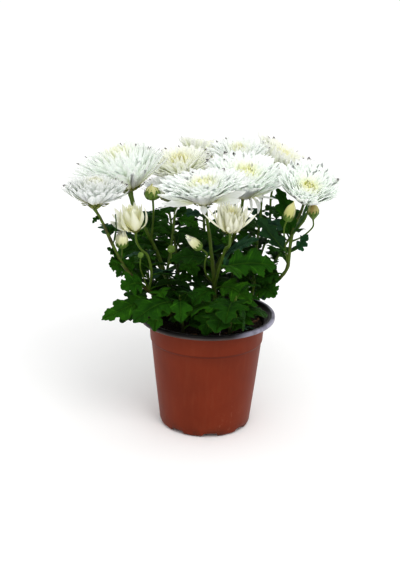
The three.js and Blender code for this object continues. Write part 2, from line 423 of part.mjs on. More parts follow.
      [[-22.3, 83.5, 141.9], [-20.3, 96.6, 156.0], [-18.2, 111.2, 148.8], 9.7, -4.5, 5.0, 0.18],
      [[-30.4, 94.6, 149.9], [-38.8, 84.4, 158.2], [-49.4, 71.6, 148.2], 10.2, 10.6, 10.0, 0.18],
      [[-36.3, 104.6, 160.9], [-25.5, 104.7, 171.3], [-13.2, 104.8, 164.9], 7.8, -7.6, 6.9, 0.18],
      [[-39.7, 112.9, 174.2], [-44.5, 119.8, 180.7], [-50.3, 128.2, 174.9], 5.6, -4.1, 5.3, 0.18],
      [[-3.3, 49.9, 132.2], [7.4, 60.8, 151.1], [18.7, 72.1, 143.5], 10.6, 24.9, 8.5, 0.18],
      [[-37.6, 107.4, 165.2], [-50.1, 106.9, 180.6], [-63.1, 106.3, 174.3], 8.5, -29.4, 10.1, 0.18],
      [[-38.7, 110.3, 169.9], [-27.4, 113.8, 183.0], [-15.0, 117.6, 176.3], 8.8, 23.5, 10.9, 0.18],
      [[-32.7, 98.2, 153.4], [-42.1, 87.4, 170.8], [-51.9, 76.1, 163.6], 10.2, -28.5, 5.1, 0.18],
    ],
  },
  stem_back_centre: {
    from: 'stem_centre_right',
    points: [[8.8, 34.3, 139.5], [13.9, 45.8, 148.5], [18.3, 55.7, 159.5], [21.2, 62.6, 173.1], [23.5, 67.6, 187.5], [25.6, 70.8, 202.5], [27.2, 72.0, 217.8], [27.3, 70.1, 233.1]],
    radii: [1.38, 1.12],
    leaves: [
      [[12.2, 41.9, 145.2], [18.4, 34.0, 153.4], [25.8, 24.6, 146.8], 7.7, -13.1, 6.2, 0.18],
      [[17.0, 52.8, 155.8], [22.6, 61.5, 165.6], [29.0, 71.5, 159.4], 6.7, 18.7, 9.9, 0.18],
      [[20.4, 60.8, 169.1], [13.2, 55.1, 180.2], [5.6, 49.0, 175.8], 6.8, 5.4, 6.8, 0.18],
      [[22.9, 66.5, 183.8], [25.8, 60.3, 191.1], [28.9, 53.4, 187.4], 4.5, 24.1, 6.6, 0.18],
      [[21.3, 62.7, 173.4], [35.7, 64.2, 181.0], [54.3, 66.2, 168.6], 11.6, 13.4, 7.6, 0.18],
      [[23.7, 67.9, 188.9], [13.8, 62.4, 199.4], [2.3, 56.0, 191.9], 8.2, 19.3, 9.9, 0.18],
      [[18.7, 56.8, 161.2], [32.1, 61.4, 175.9], [47.0, 66.5, 167.4], 10.5, -17.1, 11.7, 0.18],
      [[22.2, 64.8, 178.8], [34.2, 59.6, 189.8], [48.5, 53.5, 180.5], 8.9, -29.0, 9.5, 0.18],
    ],
  },
  stem_rear_right: {
    from: 'stem_right',
    points: [[47.7, -1.6, 133.5], [53.7, 10.4, 141.0], [60.1, 21.7, 149.2], [67.5, 31.2, 159.0], [75.4, 39.1, 169.6], [83.9, 46.2, 180.2], [93.3, 52.1, 190.9], [97.8, 53.9, 205.4]],
    radii: [1.38, 1.12],
    leaves: [
      [[65.4, 28.7, 156.2], [65.6, 41.0, 164.5], [66.0, 56.2, 155.5], 9.6, -12.9, 12.1, 0.18],
      [[73.4, 37.3, 167.0], [67.4, 32.7, 176.2], [61.0, 27.9, 172.6], 4.7, 16.6, 7.4, 0.18],
      [[82.2, 44.9, 178.1], [85.2, 51.4, 185.8], [88.6, 58.7, 181.9], 4.7, -16.2, 5.1, 0.18],
      [[92.0, 51.4, 188.9], [85.7, 48.9, 193.8], [78.1, 46.0, 189.0], 5.1, -19.1, 5.4, 0.18],
      [[78.7, 42.0, 173.8], [70.3, 54.1, 189.4], [61.0, 67.6, 180.6], 10.4, -29.0, 11.2, 0.18],
      [[60.5, 22.3, 149.7], [58.1, 8.6, 163.5], [55.4, -6.8, 154.8], 10.5, 25.6, 10.2, 0.18],
      [[69.0, 32.8, 161.0], [64.6, 22.3, 175.0], [59.9, 11.3, 169.2], 9.1, -9.3, 8.3, 0.18],
      [[87.8, 48.9, 184.3], [84.0, 61.7, 200.9], [80.0, 75.1, 194.2], 8.6, 10.6, 6.4, 0.18],
      [[62.8, 25.4, 152.7], [66.9, 37.0, 161.6], [72.0, 51.0, 152.3], 8.1, -18.9, 12.6, 0.18],
      [[55.6, 14.0, 143.5], [58.2, 1.6, 160.4], [60.9, -10.9, 154.8], 8.9, 29.5, 13.6, 0.18],
    ],
  },
  stem_back_right: {
    from: 'stem_right',
    points: [[41.3, 1.9, 125.1], [43.4, 24.6, 127.9], [46.0, 47.0, 132.3], [51.0, 66.1, 143.7], [57.6, 80.5, 160.3], [61.5, 89.7, 181.0], [62.2, 95.8, 203.0], [67.8, 94.0, 225.2]],
    radii: [1.38, 1.17],
    leaves: [
      [[42.1, 11.5, 126.2], [50.2, 27.0, 144.3], [59.3, 44.3, 134.6], 13.2, -6.7, 8.4, 0.18],
      [[43.6, 26.7, 128.2], [37.7, 42.2, 140.5], [30.6, 61.1, 128.8], 10.7, -21.1, 12.1, 0.18],
      [[45.2, 41.8, 130.7], [39.2, 30.0, 143.1], [32.5, 16.6, 135.2], 9.5, -17.9, 6.9, 0.18],
      [[47.9, 55.8, 136.5], [50.3, 66.1, 142.8], [53.2, 79.2, 134.6], 6.7, 3.3, 8.7, 0.18],
      [[51.6, 67.9, 145.2], [48.6, 56.4, 156.0], [45.1, 43.2, 148.8], 8.1, -23.0, 9.5, 0.18],
      [[56.2, 77.7, 156.2], [62.5, 69.4, 166.5], [69.6, 60.1, 160.6], 6.7, -17.8, 13.7, 0.18],
      [[59.7, 85.2, 169.2], [48.1, 88.5, 178.8], [34.3, 92.4, 170.7], 8.4, 4.7, 7.9, 0.18],
      [[61.7, 90.6, 183.5], [59.9, 83.0, 191.4], [57.8, 74.4, 187.0], 5.5, 0.7, 11.8, 0.18],
      [[61.8, 95.0, 198.2], [67.2, 99.8, 201.3], [74.2, 106.2, 195.2], 5.5, 13.1, 12.3, 0.18],
      [[58.0, 81.4, 161.8], [52.6, 68.7, 168.6], [45.7, 52.1, 156.5], 10.6, 13.0, 9.2, 0.18],
      [[61.2, 89.0, 178.8], [56.3, 76.3, 190.1], [50.4, 61.2, 180.4], 9.0, -11.8, 7.7, 0.18],
      [[61.8, 92.6, 189.2], [64.1, 84.2, 192.4], [67.1, 73.1, 184.3], 5.7, -21.0, 7.7, 0.18],
      [[49.4, 61.1, 139.9], [35.3, 56.8, 159.7], [21.1, 52.5, 153.2], 9.7, 6.0, 9.5, 0.18],
      [[44.4, 34.9, 129.3], [48.7, 23.6, 133.2], [54.6, 8.3, 121.6], 8.6, 12.8, 12.6, 0.18],
    ],
  },
  stem_inner_right: {
    from: 'stem_right',
    points: [[42.2, 0.4, 128.5], [43.4, 14.4, 136.2], [44.8, 27.5, 145.6], [46.3, 38.1, 157.5], [47.9, 46.5, 171.2], [49.5, 52.3, 186.1], [50.6, 56.3, 201.6], [51.7, 56.0, 217.6]],
    radii: [1.29, 1.08],
    leaves: [
      [[43.1, 10.2, 133.7], [45.7, 3.7, 141.7], [48.4, -3.3, 138.2], 5.3, -1.0, 11.5, 0.18],
      [[44.5, 25.0, 143.5], [49.7, 35.5, 150.7], [56.2, 48.6, 141.7], 8.7, 16.2, 7.5, 0.18],
      [[46.1, 37.1, 156.2], [45.5, 26.9, 161.6], [44.6, 13.7, 153.3], 7.6, -10.4, 11.9, 0.18],
      [[47.9, 46.5, 171.3], [55.1, 50.7, 175.6], [64.4, 56.2, 168.9], 6.5, -5.7, 12.5, 0.18],
      [[49.6, 52.9, 187.8], [44.9, 62.9, 199.8], [39.7, 74.0, 194.0], 7.0, 3.5, 6.3, 0.18],
      [[47.3, 43.8, 166.2], [38.3, 33.6, 181.7], [28.7, 22.6, 174.2], 10.7, -26.1, 13.4, 0.18],
      [[49.0, 50.7, 181.3], [59.9, 47.5, 190.4], [73.0, 43.6, 182.3], 9.0, 23.5, 10.4, 0.18],
      [[50.3, 55.4, 196.5], [60.9, 61.1, 201.0], [75.1, 68.8, 189.8], 9.2, 13.2, 11.5, 0.18],
      [[45.4, 31.9, 150.0], [39.8, 46.6, 166.7], [33.7, 62.9, 157.5], 11.5, -4.2, 6.3, 0.18],
      [[43.5, 15.2, 136.7], [28.5, 6.4, 158.2], [12.7, -2.9, 149.5], 11.9, 19.7, 13.6, 0.18],
      [[48.4, 48.5, 175.7], [60.7, 46.4, 182.1], [76.7, 43.7, 171.3], 9.7, -28.4, 9.8, 0.18],
      [[44.1, 21.1, 140.6], [30.8, 23.6, 159.1], [17.5, 26.0, 153.2], 10.9, 9.0, 9.5, 0.18],
    ],
  },
};

// Flower heads, each on top of its stem: radius over the petal tips, height factor, place and axis.
const HEADS = {
  flower_far_left: { on: 'stem_far_left', kind: 'cup', radius: 31, tall: 1, base: [-101.73, -58.0, 227.21], axis: [0.0349, -0.0349, 0.9988] },
  flower_left: { on: 'stem_left', kind: 'open', radius: 42, tall: 1, base: [-73.28, 2.0, 228.48], axis: [-0.225, -0.0698, 0.9719] },
  flower_back_left: { on: 'stem_back_left', kind: 'open', radius: 34, tall: 1, base: [-27.51, 55.3, 225.17], axis: [-0.1045, -0.2079, 0.9725] },
  flower_front: { on: 'stem_front', kind: 'open', radius: 42, tall: 1, base: [-4.31, -53.0, 232.06], axis: [-0.1219, -0.2419, 0.9626] },
  flower_centre_right: { on: 'stem_centre_right', kind: 'open', radius: 40, tall: 1, base: [30.94, 6.0, 223.43], axis: [0.0698, -0.3256, 0.9429] },
  flower_back_right: { on: 'stem_back_right', kind: 'open', radius: 30, tall: 1, base: [67.99, 94.0, 225.79], axis: [0.2419, -0.0698, 0.9678] },
  flower_right: { on: 'stem_right', kind: 'open', radius: 31.5, tall: 1, base: [87.25, -6.66, 224.89], axis: [0.1392, -0.5, 0.8548] },
  flower_back_centre: { on: 'stem_back_centre', kind: 'open', radius: 32, tall: 1, base: [27.32, 70.0, 233.7], axis: [0.0, -0.1392, 0.9903] },
  flower_half_open_left: { on: 'stem_half_open_left', kind: 'half', radius: 16, tall: 1.62, base: [-66.55, -40.0, 201.14], axis: [-0.1564, -0.0698, 0.9852] },
  flower_half_open_front: { on: 'stem_half_open_front', kind: 'half', radius: 25, tall: 0.88, base: [18.05, -82.0, 215.61], axis: [0.0349, -0.1736, 0.9842] },
  flower_back: { on: 'stem_back', kind: 'open', radius: 31, tall: 1, base: [-10.07, 112.0, 230.47], axis: [0.1392, 0.2419, 0.9603] },
  flower_rear_left: { on: 'stem_rear_left', kind: 'open', radius: 33, tall: 1, base: [-80.0, 80.0, 206.0], axis: [-0.2756, 0.2079, 0.9385] },
  flower_rear_low: { on: 'stem_rear_low', kind: 'open', radius: 30, tall: 1, base: [-42.0, 121.0, 188.0], axis: [-0.1392, 0.5, 0.8548] },
  flower_rear_right: { on: 'stem_rear_right', kind: 'open', radius: 27, tall: 1, base: [98.0, 54.0, 206.0], axis: [0.2756, 0.1045, 0.9556] },
  flower_inner_right: { on: 'stem_inner_right', kind: 'open', radius: 25, tall: 1, base: [51.78, 56.0, 218.24], axis: [0.0698, -0.0349, 0.997] },
};

// Buds on their own stalks: showing colour (opening, tight) or still green.
const BUDS = {
  bud_opening_left: {
    on: 'stem_far_left', kind: 'opening', length: 16.5, radius: 5.7, base: [-78.9, -40.0, 185.82], axis: [0.0, -0.1045, 0.9945],
    stalk: [[-74.23, -31.59, 161.19], [-77.14, -31.27, 164.98], [-79.59, -31.72, 169.14], [-80.03, -34.35, 173.08], [-79.15, -37.83, 176.35], [-78.9, -39.5, 181.09], [-78.9, -40.0, 185.82]], stalkRadius: 0.9,
  },
  bud_opening_front: {
    on: 'stem_front', kind: 'opening', length: 16.5, radius: 4.3, base: [-6.95, -50.0, 189.65], axis: [-0.7314, -0.1392, 0.6676],
    stalk: [[2.65, -30.02, 153.9], [-0.57, -34.12, 158.82], [-2.89, -38.15, 164.31], [-3.43, -42.07, 170.43], [-3.12, -45.78, 176.8], [-1.76, -49.01, 184.91], [-6.95, -50.0, 189.65]], stalkRadius: 0.9,
  },
  bud_right: {
    on: 'stem_right', kind: 'tight', length: 18.5, radius: 5.1, base: [69.47, -38.0, 213.88], axis: [0.2924, -0.0698, 0.9538],
    stalk: [[71.15, -21.85, 180.32], [70.15, -23.58, 186.26], [69.26, -26.64, 191.73], [68.46, -30.55, 196.7], [67.86, -34.61, 201.68], [67.66, -37.57, 207.96], [69.47, -38.0, 213.88]], stalkRadius: 0.9,
  },
  bud_far_right: {
    on: 'stem_right', kind: 'tight', length: 16, radius: 5.9, base: [96.48, -4.0, 206.4], axis: [-0.0523, 0.0, 0.9986],
    stalk: [[77.04, -20.1, 190.04], [80.48, -14.89, 189.79], [84.08, -9.77, 189.78], [88.36, -5.56, 191.29], [93.11, -4.23, 195.11], [96.8, -4.0, 200.2], [96.48, -4.0, 206.4]], stalkRadius: 0.8,
  },
  bud_green_centre: {
    on: 'stem_left', kind: 'green', length: 7.5, radius: 3.6, base: [-34.17, -30.0, 179.4], axis: [0.0, -0.0698, 0.9976],
    stalk: [[-40.13, 9.3, 145.69], [-39.4, 1.69, 150.68], [-38.62, -5.91, 155.69], [-37.64, -13.44, 160.77], [-36.15, -21.05, 165.58], [-34.44, -28.31, 170.81], [-34.17, -30.0, 179.4]], stalkRadius: 0.8,
  },
  bud_opening_back: {
    on: 'stem_left', kind: 'opening', length: 14.5, radius: 6.9, base: [-52.65, -6.0, 222.66], axis: [-0.0698, -0.1045, 0.9921],
    stalk: [[-53.65, 4.69, 187.24], [-53.08, 3.66, 192.96], [-52.6, 2.17, 198.76], [-52.24, -0.31, 204.38], [-51.99, -3.32, 209.91], [-52.25, -5.4, 216.96], [-52.65, -6.0, 222.66]], stalkRadius: 1.1,
  },
  bud_green_left: {
    on: 'stem_far_left', kind: 'green', length: 5.5, radius: 2.5, base: [-61.68, -44.0, 178.36], axis: [0.0698, -0.0698, 0.9951],
    stalk: [[-56.78, -27.42, 146.39], [-58.43, -30.2, 151.75], [-59.98, -33.08, 157.08], [-61.24, -36.27, 162.31], [-61.96, -40.32, 167.01], [-62.11, -43.57, 172.15], [-61.68, -44.0, 178.36]], stalkRadius: 0.75,
  },
};

// The larger leaves, each a piece of its own.
const LEAVES = {
  leaf_front_left_low: { on: 'stem_far_left', shape: [[-48.6, -23.6, 132.0], [-64.8, -42.0, 136.7], [-97.0, -50.0, 119.3], 12.5, -30, 8, 0.16] },
  leaf_over_rim_left: { on: 'stem_far_left', shape: [[-40.8, -20.7, 126.6], [-45.4, -48.0, 149.9], [-48.1, -56.0, 111.5], 13, 0, 8, 0.14] },
  leaf_left_round: { on: 'stem_far_left', shape: [[-58.8, -30.0, 146.7], [-64.2, -38.0, 155.7], [-79.4, -48.0, 149.6], 12, -58, 10, 0.16] },
  leaf_left_middle: { on: 'stem_far_left', shape: [[-68.7, -29.6, 157.0], [-74.0, -28.0, 168.7], [-91.9, -26.0, 165.1], 12, -61, 10, 0.14] },
  leaf_centre_right_low: { on: 'stem_front', shape: [[9.0, -27.8, 145.3], [21.8, -42.0, 157.2], [40.0, -48.0, 137.8], 13, 34, 8, 0.14] },
  leaf_centre_left_low: { on: 'stem_front', shape: [[5.3, -28.6, 142.6], [-0.9, -46.0, 153.2], [-13.7, -52.0, 136.6], 10, -25, 8, 0.14] },
  leaf_centre_broad: { on: 'stem_half_open_front', shape: [[12.3, -39.4, 168.7], [34.1, -36.0, 176.7], [63.4, -24.0, 166.8], 16.5, 36, 8, 0.12] },
  leaf_right_low: { on: 'stem_right', shape: [[45.3, -7.0, 135.3], [50.7, -12.0, 149.8], [62.9, -30.0, 138.5], 15, 36, 8, 0.12] },
  leaf_inside_right: { on: 'stem_front', shape: [[10.6, -23.6, 125.5], [26.3, -34.0, 136.1], [47.1, -34.0, 121.8], 13, 20, 8, 0.16] },
  leaf_inside_front: { on: 'stem_front', shape: [[6.3, -25.5, 124.9], [3.1, -44.0, 140.0], [-1.6, -51.0, 106.3], 13, 0, 8, 0.14] },
  leaf_blue_left: { on: 'stem_left', shape: [[-38.5, 10.4, 140.7], [-39.4, -16.0, 165.7], [-52.3, -16.0, 148.7], 12, -10, 8, 0.14] },
  leaf_dark_right: { on: 'stem_right', shape: [[71.7, -23.4, 180.2], [60.1, -32.0, 194.2], [43.5, -30.0, 215.0], 10, 32, 6, 0.14] },
  leaf_upper_right: { on: 'stem_right', shape: [[77.1, -23.5, 199.1], [83.1, -42.0, 214.6], [87.2, -42.0, 230.9], 9, 40, 6, 0.12] },
  leaf_centre_back: { on: 'stem_centre_right', shape: [[14.1, 26.7, 158.1], [29.4, 2.0, 180.3], [46.9, -4.0, 185.5], 14, 40, 8, 0.12] },
};

// Short leafy shoots that rise from the soil around the cuttings.
const SHOOTS = {
  leafy_shoot_1: {
    points: [[-46.5, 14.7, 100.3], [-50.4, 16.0, 119.3], [-59.6, 18.9, 144.1]],
    radii: [1.7, 1.2],
    leaves: [
      [[-47.8, 15.1, 107.5], [-30.7, -1.0, 131.9], [-12.3, -18.4, 111.2], 15.5, 14.3, 12.7, 0.2],
      [[-49.5, 15.7, 115.6], [-48.2, 39.0, 134.5], [-46.7, 66.1, 112.3], 15.5, 19.6, 7.7, 0.2],
      [[-51.5, 16.3, 122.7], [-62.4, 1.5, 137.1], [-75.3, -15.9, 119.4], 12.9, 0.8, 9.1, 0.2],
      [[-54.0, 17.1, 129.6], [-43.4, 33.9, 141.7], [-31.3, 48.8, 124.9], 11.0, 12.1, 11.5, 0.2],
      [[-56.7, 17.9, 136.4], [-59.8, 41.0, 155.2], [-60.9, 68.4, 132.1], 17.9, -16.2, 5.2, 0.2],
    ],
  },
  leafy_shoot_2: {
    points: [[-8.7, 48.6, 100.3], [-9.0, 50.2, 116.1], [-9.7, 53.9, 137.0]],
    radii: [1.7, 1.2],
    leaves: [
      [[-8.8, 49.2, 106.2], [-6.8, 29.5, 124.1], [-4.5, 7.4, 106.0], 14.1, -17.8, 9.5, 0.2],
      [[-8.9, 49.8, 112.9], [6.9, 60.9, 132.4], [24.2, 73.0, 115.2], 13.2, -0.3, 11.1, 0.2],
      [[-9.1, 50.6, 118.7], [-25.9, 61.7, 131.8], [-46.7, 75.3, 111.5], 13.4, 7.2, 5.1, 0.2],
      [[-9.3, 51.6, 124.6], [3.7, 44.3, 132.5], [20.4, 35.0, 116.9], 10.1, 13.2, 6.0, 0.2],
      [[-9.5, 52.7, 130.4], [-25.8, 63.5, 142.5], [-46.1, 77.0, 122.6], 13.4, -10.9, 5.6, 0.2],
    ],
  },
  leafy_shoot_3: {
    points: [[20.3, 41.7, 100.3], [21.9, 44.8, 117.2], [25.4, 52.0, 139.4]],
    radii: [1.7, 1.2],
    leaves: [
      [[20.9, 42.7, 106.7], [16.4, 25.6, 123.3], [11.5, 6.6, 107.2], 12.0, -10.3, 13.3, 0.2],
      [[21.5, 44.0, 113.9], [39.9, 55.5, 137.3], [59.5, 67.6, 118.5], 14.3, -10.1, 9.6, 0.2],
      [[22.3, 45.6, 120.2], [19.9, 65.8, 136.6], [17.1, 89.5, 117.1], 13.2, 2.9, 8.2, 0.2],
      [[23.2, 47.6, 126.4], [21.6, 28.8, 143.7], [19.8, 7.7, 126.4], 12.4, 2.7, 6.3, 0.2],
      [[24.2, 49.7, 132.5], [21.2, 70.6, 144.7], [17.4, 97.0, 122.9], 13.9, 5.4, 9.1, 0.2],
      [[25.3, 51.7, 138.6], [15.3, 60.8, 164.8], [8.3, 67.2, 157.0], 9.2, 7.5, 13.6, 0.2],
    ],
  },
  leafy_shoot_4: {
    points: [[38.7, -13.8, 100.3], [40.3, -14.4, 120.9], [43.8, -15.7, 147.6]],
    radii: [1.7, 1.2],
    leaves: [
      [[39.3, -14.0, 107.9], [21.9, -6.3, 123.2], [1.6, 2.8, 105.1], 13.7, -2.0, 12.9, 0.2],
      [[39.9, -14.2, 116.4], [32.8, -30.6, 129.2], [24.4, -50.3, 111.7], 12.8, -15.2, 9.2, 0.2],
      [[41.6, -14.9, 131.6], [35.2, -33.8, 148.9], [27.8, -55.5, 130.2], 13.2, -17.7, 10.6, 0.2],
      [[43.7, -15.6, 146.6], [39.0, -1.2, 173.4], [35.3, 9.8, 163.8], 10.7, 16.3, 9.6, 0.2],
    ],
  },
  leafy_shoot_5: {
    points: [[20.1, -47.5, 100.3], [21.7, -51.2, 120.5], [25.4, -59.9, 146.9]],
    radii: [1.7, 1.2],
    leaves: [
      [[20.7, -48.8, 108.0], [29.8, -36.7, 117.9], [41.0, -21.9, 102.8], 11.4, 9.7, 10.2, 0.2],
      [[21.3, -50.3, 116.6], [14.5, -73.0, 145.9], [7.8, -95.5, 126.7], 17.5, -1.9, 6.3, 0.2],
      [[22.1, -52.2, 124.1], [37.6, -42.1, 138.2], [55.9, -30.2, 120.4], 13.6, 16.9, 5.6, 0.2],
      [[23.1, -54.5, 131.4], [2.5, -49.4, 143.9], [-23.6, -42.9, 122.0], 15.9, -5.0, 6.9, 0.2],
      [[24.2, -57.1, 138.7], [20.2, -77.5, 157.0], [15.7, -100.8, 137.7], 15.5, 2.1, 13.8, 0.2],
      [[25.3, -59.6, 146.0], [37.1, -55.8, 164.5], [47.6, -52.5, 155.4], 8.3, -13.5, 5.3, 0.2],
      [[23.3, -55.1, 133.0], [34.4, -64.0, 146.9], [32.9, -56.0, 114.0], 10.5, 0, 8, 0.16],
    ],
  },
  leafy_shoot_6: {
    points: [[-21.9, -36.3, 100.3], [-23.0, -38.1, 117.6], [-25.5, -42.2, 140.3]],
    radii: [1.7, 1.2],
    leaves: [
      [[-22.3, -36.9, 106.8], [-7.6, -32.4, 120.0], [9.2, -27.1, 105.6], 11.5, 14.8, 8.5, 0.2],
      [[-23.9, -39.6, 126.8], [-19.0, -22.0, 144.7], [-13.5, -2.6, 128.2], 14.0, 17.1, 7.1, 0.2],
      [[-24.7, -40.9, 133.2], [-43.4, -52.4, 146.2], [-66.9, -66.8, 123.7], 15.8, -16.0, 6.7, 0.2],
      [[-25.4, -42.1, 139.5], [-18.5, -53.0, 155.8], [-11.8, -63.7, 145.5], 8.7, -13.4, 10.2, 0.2],
      [[-24.4, -40.4, 131.0], [-25.3, -58.0, 153.8], [-23.8, -60.0, 121.9], 9.5, 0, 8, 0.16],
    ],
  },
  leafy_shoot_7: {
    points: [[-25.9, 33.9, 100.3], [-28.1, 36.8, 131.1], [-33.2, 43.5, 170.2]],
    radii: [1.7, 1.2],
    leaves: [
      [[-27.5, 36.0, 124.3], [-10.8, 20.1, 140.7], [9.5, -0.6, 117.7], 14.7, -8.2, 5.1, 0.2],
      [[-28.5, 37.4, 135.5], [-39.3, 58.1, 159.8], [-42.2, 86.8, 139.1], 14.8, -13.4, 10.5, 0.2],
      [[-29.9, 39.3, 146.7], [-21.5, 25.0, 160.1], [-11.7, 8.3, 144.2], 11.4, 13.0, 13.5, 0.2],
      [[-31.5, 41.3, 157.8], [-28.7, 61.5, 177.8], [-25.7, 83.6, 159.5], 15.4, 16.0, 7.1, 0.2],
      [[-33.0, 43.3, 168.8], [-45.5, 50.2, 189.6], [-56.6, 56.5, 179.1], 11.1, -9.3, 6.7, 0.2],
    ],
  },
};

// ---------------------------------------------------------------- assembly
const plant = new THREE.Group();

const AXIS = new THREE.Vector3(0, 0, 1);
const minus = (p, o) => [p[0] - o[0], p[1] - o[1], p[2] - o[2]];
const leafSpec = ([base, bend, tip, halfWidth, roll, fold, petiole], o) =>
  ({ base: minus(base, o), bend: minus(bend, o), tip: minus(tip, o), halfWidth, roll, fold, petiole });

function place(parent, name, geometry, material, at, direction) {
  const mesh = new THREE.Mesh(geometry, material);
  mesh.name = name;
  mesh.position.set(...at);
  if (direction) mesh.quaternion.setFromUnitVectors(AXIS, new THREE.Vector3(...direction).normalize());
  parent.add(mesh);
}

const container = new THREE.Group();
plant.add(container);
place(container, 'nursery_pot', nurseryPot(), terracotta(), [0, 0, 0]);
place(container, 'potting_soil', pottingSoil(), peat(), [0, 0, 0]);

// one group for each cutting, placed where its main stem leaves the soil
const cuttings = {};
for (const [name, s] of Object.entries(STEMS)) {
  if (!s.from) {
    const g = new THREE.Group();
    g.position.set(...s.points[0]);
    plant.add(g);
    cuttings[name] = { group: g, foot: s.points[0] };
  }
}
const cuttingOf = (name) => cuttings[STEMS[name].from || name];

for (const [name, s] of Object.entries(STEMS)) {
  const { group, foot } = cuttingOf(name), o = s.points[0];
  const parts = [stem(s.points.map((p) => minus(p, o)), s.radii[0], s.radii[1], STEM_SIDES, s.points.length - 1)];
  for (const l of s.leaves) parts.push(leaf(leafSpec(l, o), SMALL_BLADE));
  place(group, name, joined(parts), stemGreen(), minus(o, foot));
}
for (const [name, h] of Object.entries(HEADS)) {
  const { group, foot } = cuttingOf(h.on);
  place(group, name, flowerHead(h.kind, h.radius, h.tall), petalWhite(), minus(h.base, foot), h.axis);
}
for (const [name, b] of Object.entries(BUDS)) {
  const { group, foot } = cuttingOf(b.on), o = b.base;
  // the stalk runs a little way into the bud
  const pts = b.stalk.map((p) => minus(p, o)), end = pts.length - 1;
  pts[end] = pts[end].map((v, k) => v + b.axis[k] * 1.5);
  const body = budBody(b.kind, b.length, b.radius);
  body.applyQuaternion(new THREE.Quaternion().setFromUnitVectors(AXIS, new THREE.Vector3(...b.axis).normalize()));
  place(group, name, joined([body, stem(pts, b.stalkRadius, b.stalkRadius * 0.9, 5, 6)]),
    b.kind === 'green' ? budGreen() : budCream(), minus(o, foot));
}
for (const [name, l] of Object.entries(LEAVES)) {
  const { group, foot } = cuttingOf(l.on), o = l.shape[0];
  place(group, name, leaf(leafSpec(l.shape, o), BLADE), leafGreen(), minus(o, foot));
}
for (const [name, s] of Object.entries(SHOOTS)) {
  const o = s.points[0];
  const parts = [stem(s.points.map((p) => minus(p, o)), s.radii[0], s.radii[1], 5, 5)];
  for (const l of s.leaves) parts.push(leaf(leafSpec(l, o), SMALL_BLADE));
  place(plant, name, joined(parts), leafGreen(), o);
}

export default plant;
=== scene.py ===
# A pot chrysanthemum in a nursery pot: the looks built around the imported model.
import math

import bpy
import numpy as np
from mathutils import Matrix, Vector


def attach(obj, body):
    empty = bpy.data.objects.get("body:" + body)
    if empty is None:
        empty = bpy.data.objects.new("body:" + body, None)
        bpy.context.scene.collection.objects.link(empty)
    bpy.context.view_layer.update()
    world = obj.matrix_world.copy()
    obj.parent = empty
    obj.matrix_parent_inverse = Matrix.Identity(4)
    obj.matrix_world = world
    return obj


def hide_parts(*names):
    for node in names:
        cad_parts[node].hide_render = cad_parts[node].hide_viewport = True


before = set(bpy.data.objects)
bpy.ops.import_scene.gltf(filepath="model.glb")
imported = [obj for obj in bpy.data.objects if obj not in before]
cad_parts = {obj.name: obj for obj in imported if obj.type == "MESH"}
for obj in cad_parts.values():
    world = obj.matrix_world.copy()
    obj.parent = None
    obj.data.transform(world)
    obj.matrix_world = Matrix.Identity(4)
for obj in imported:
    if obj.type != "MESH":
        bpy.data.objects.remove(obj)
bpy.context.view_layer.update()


MM = 0.001
SOIL = 99.0

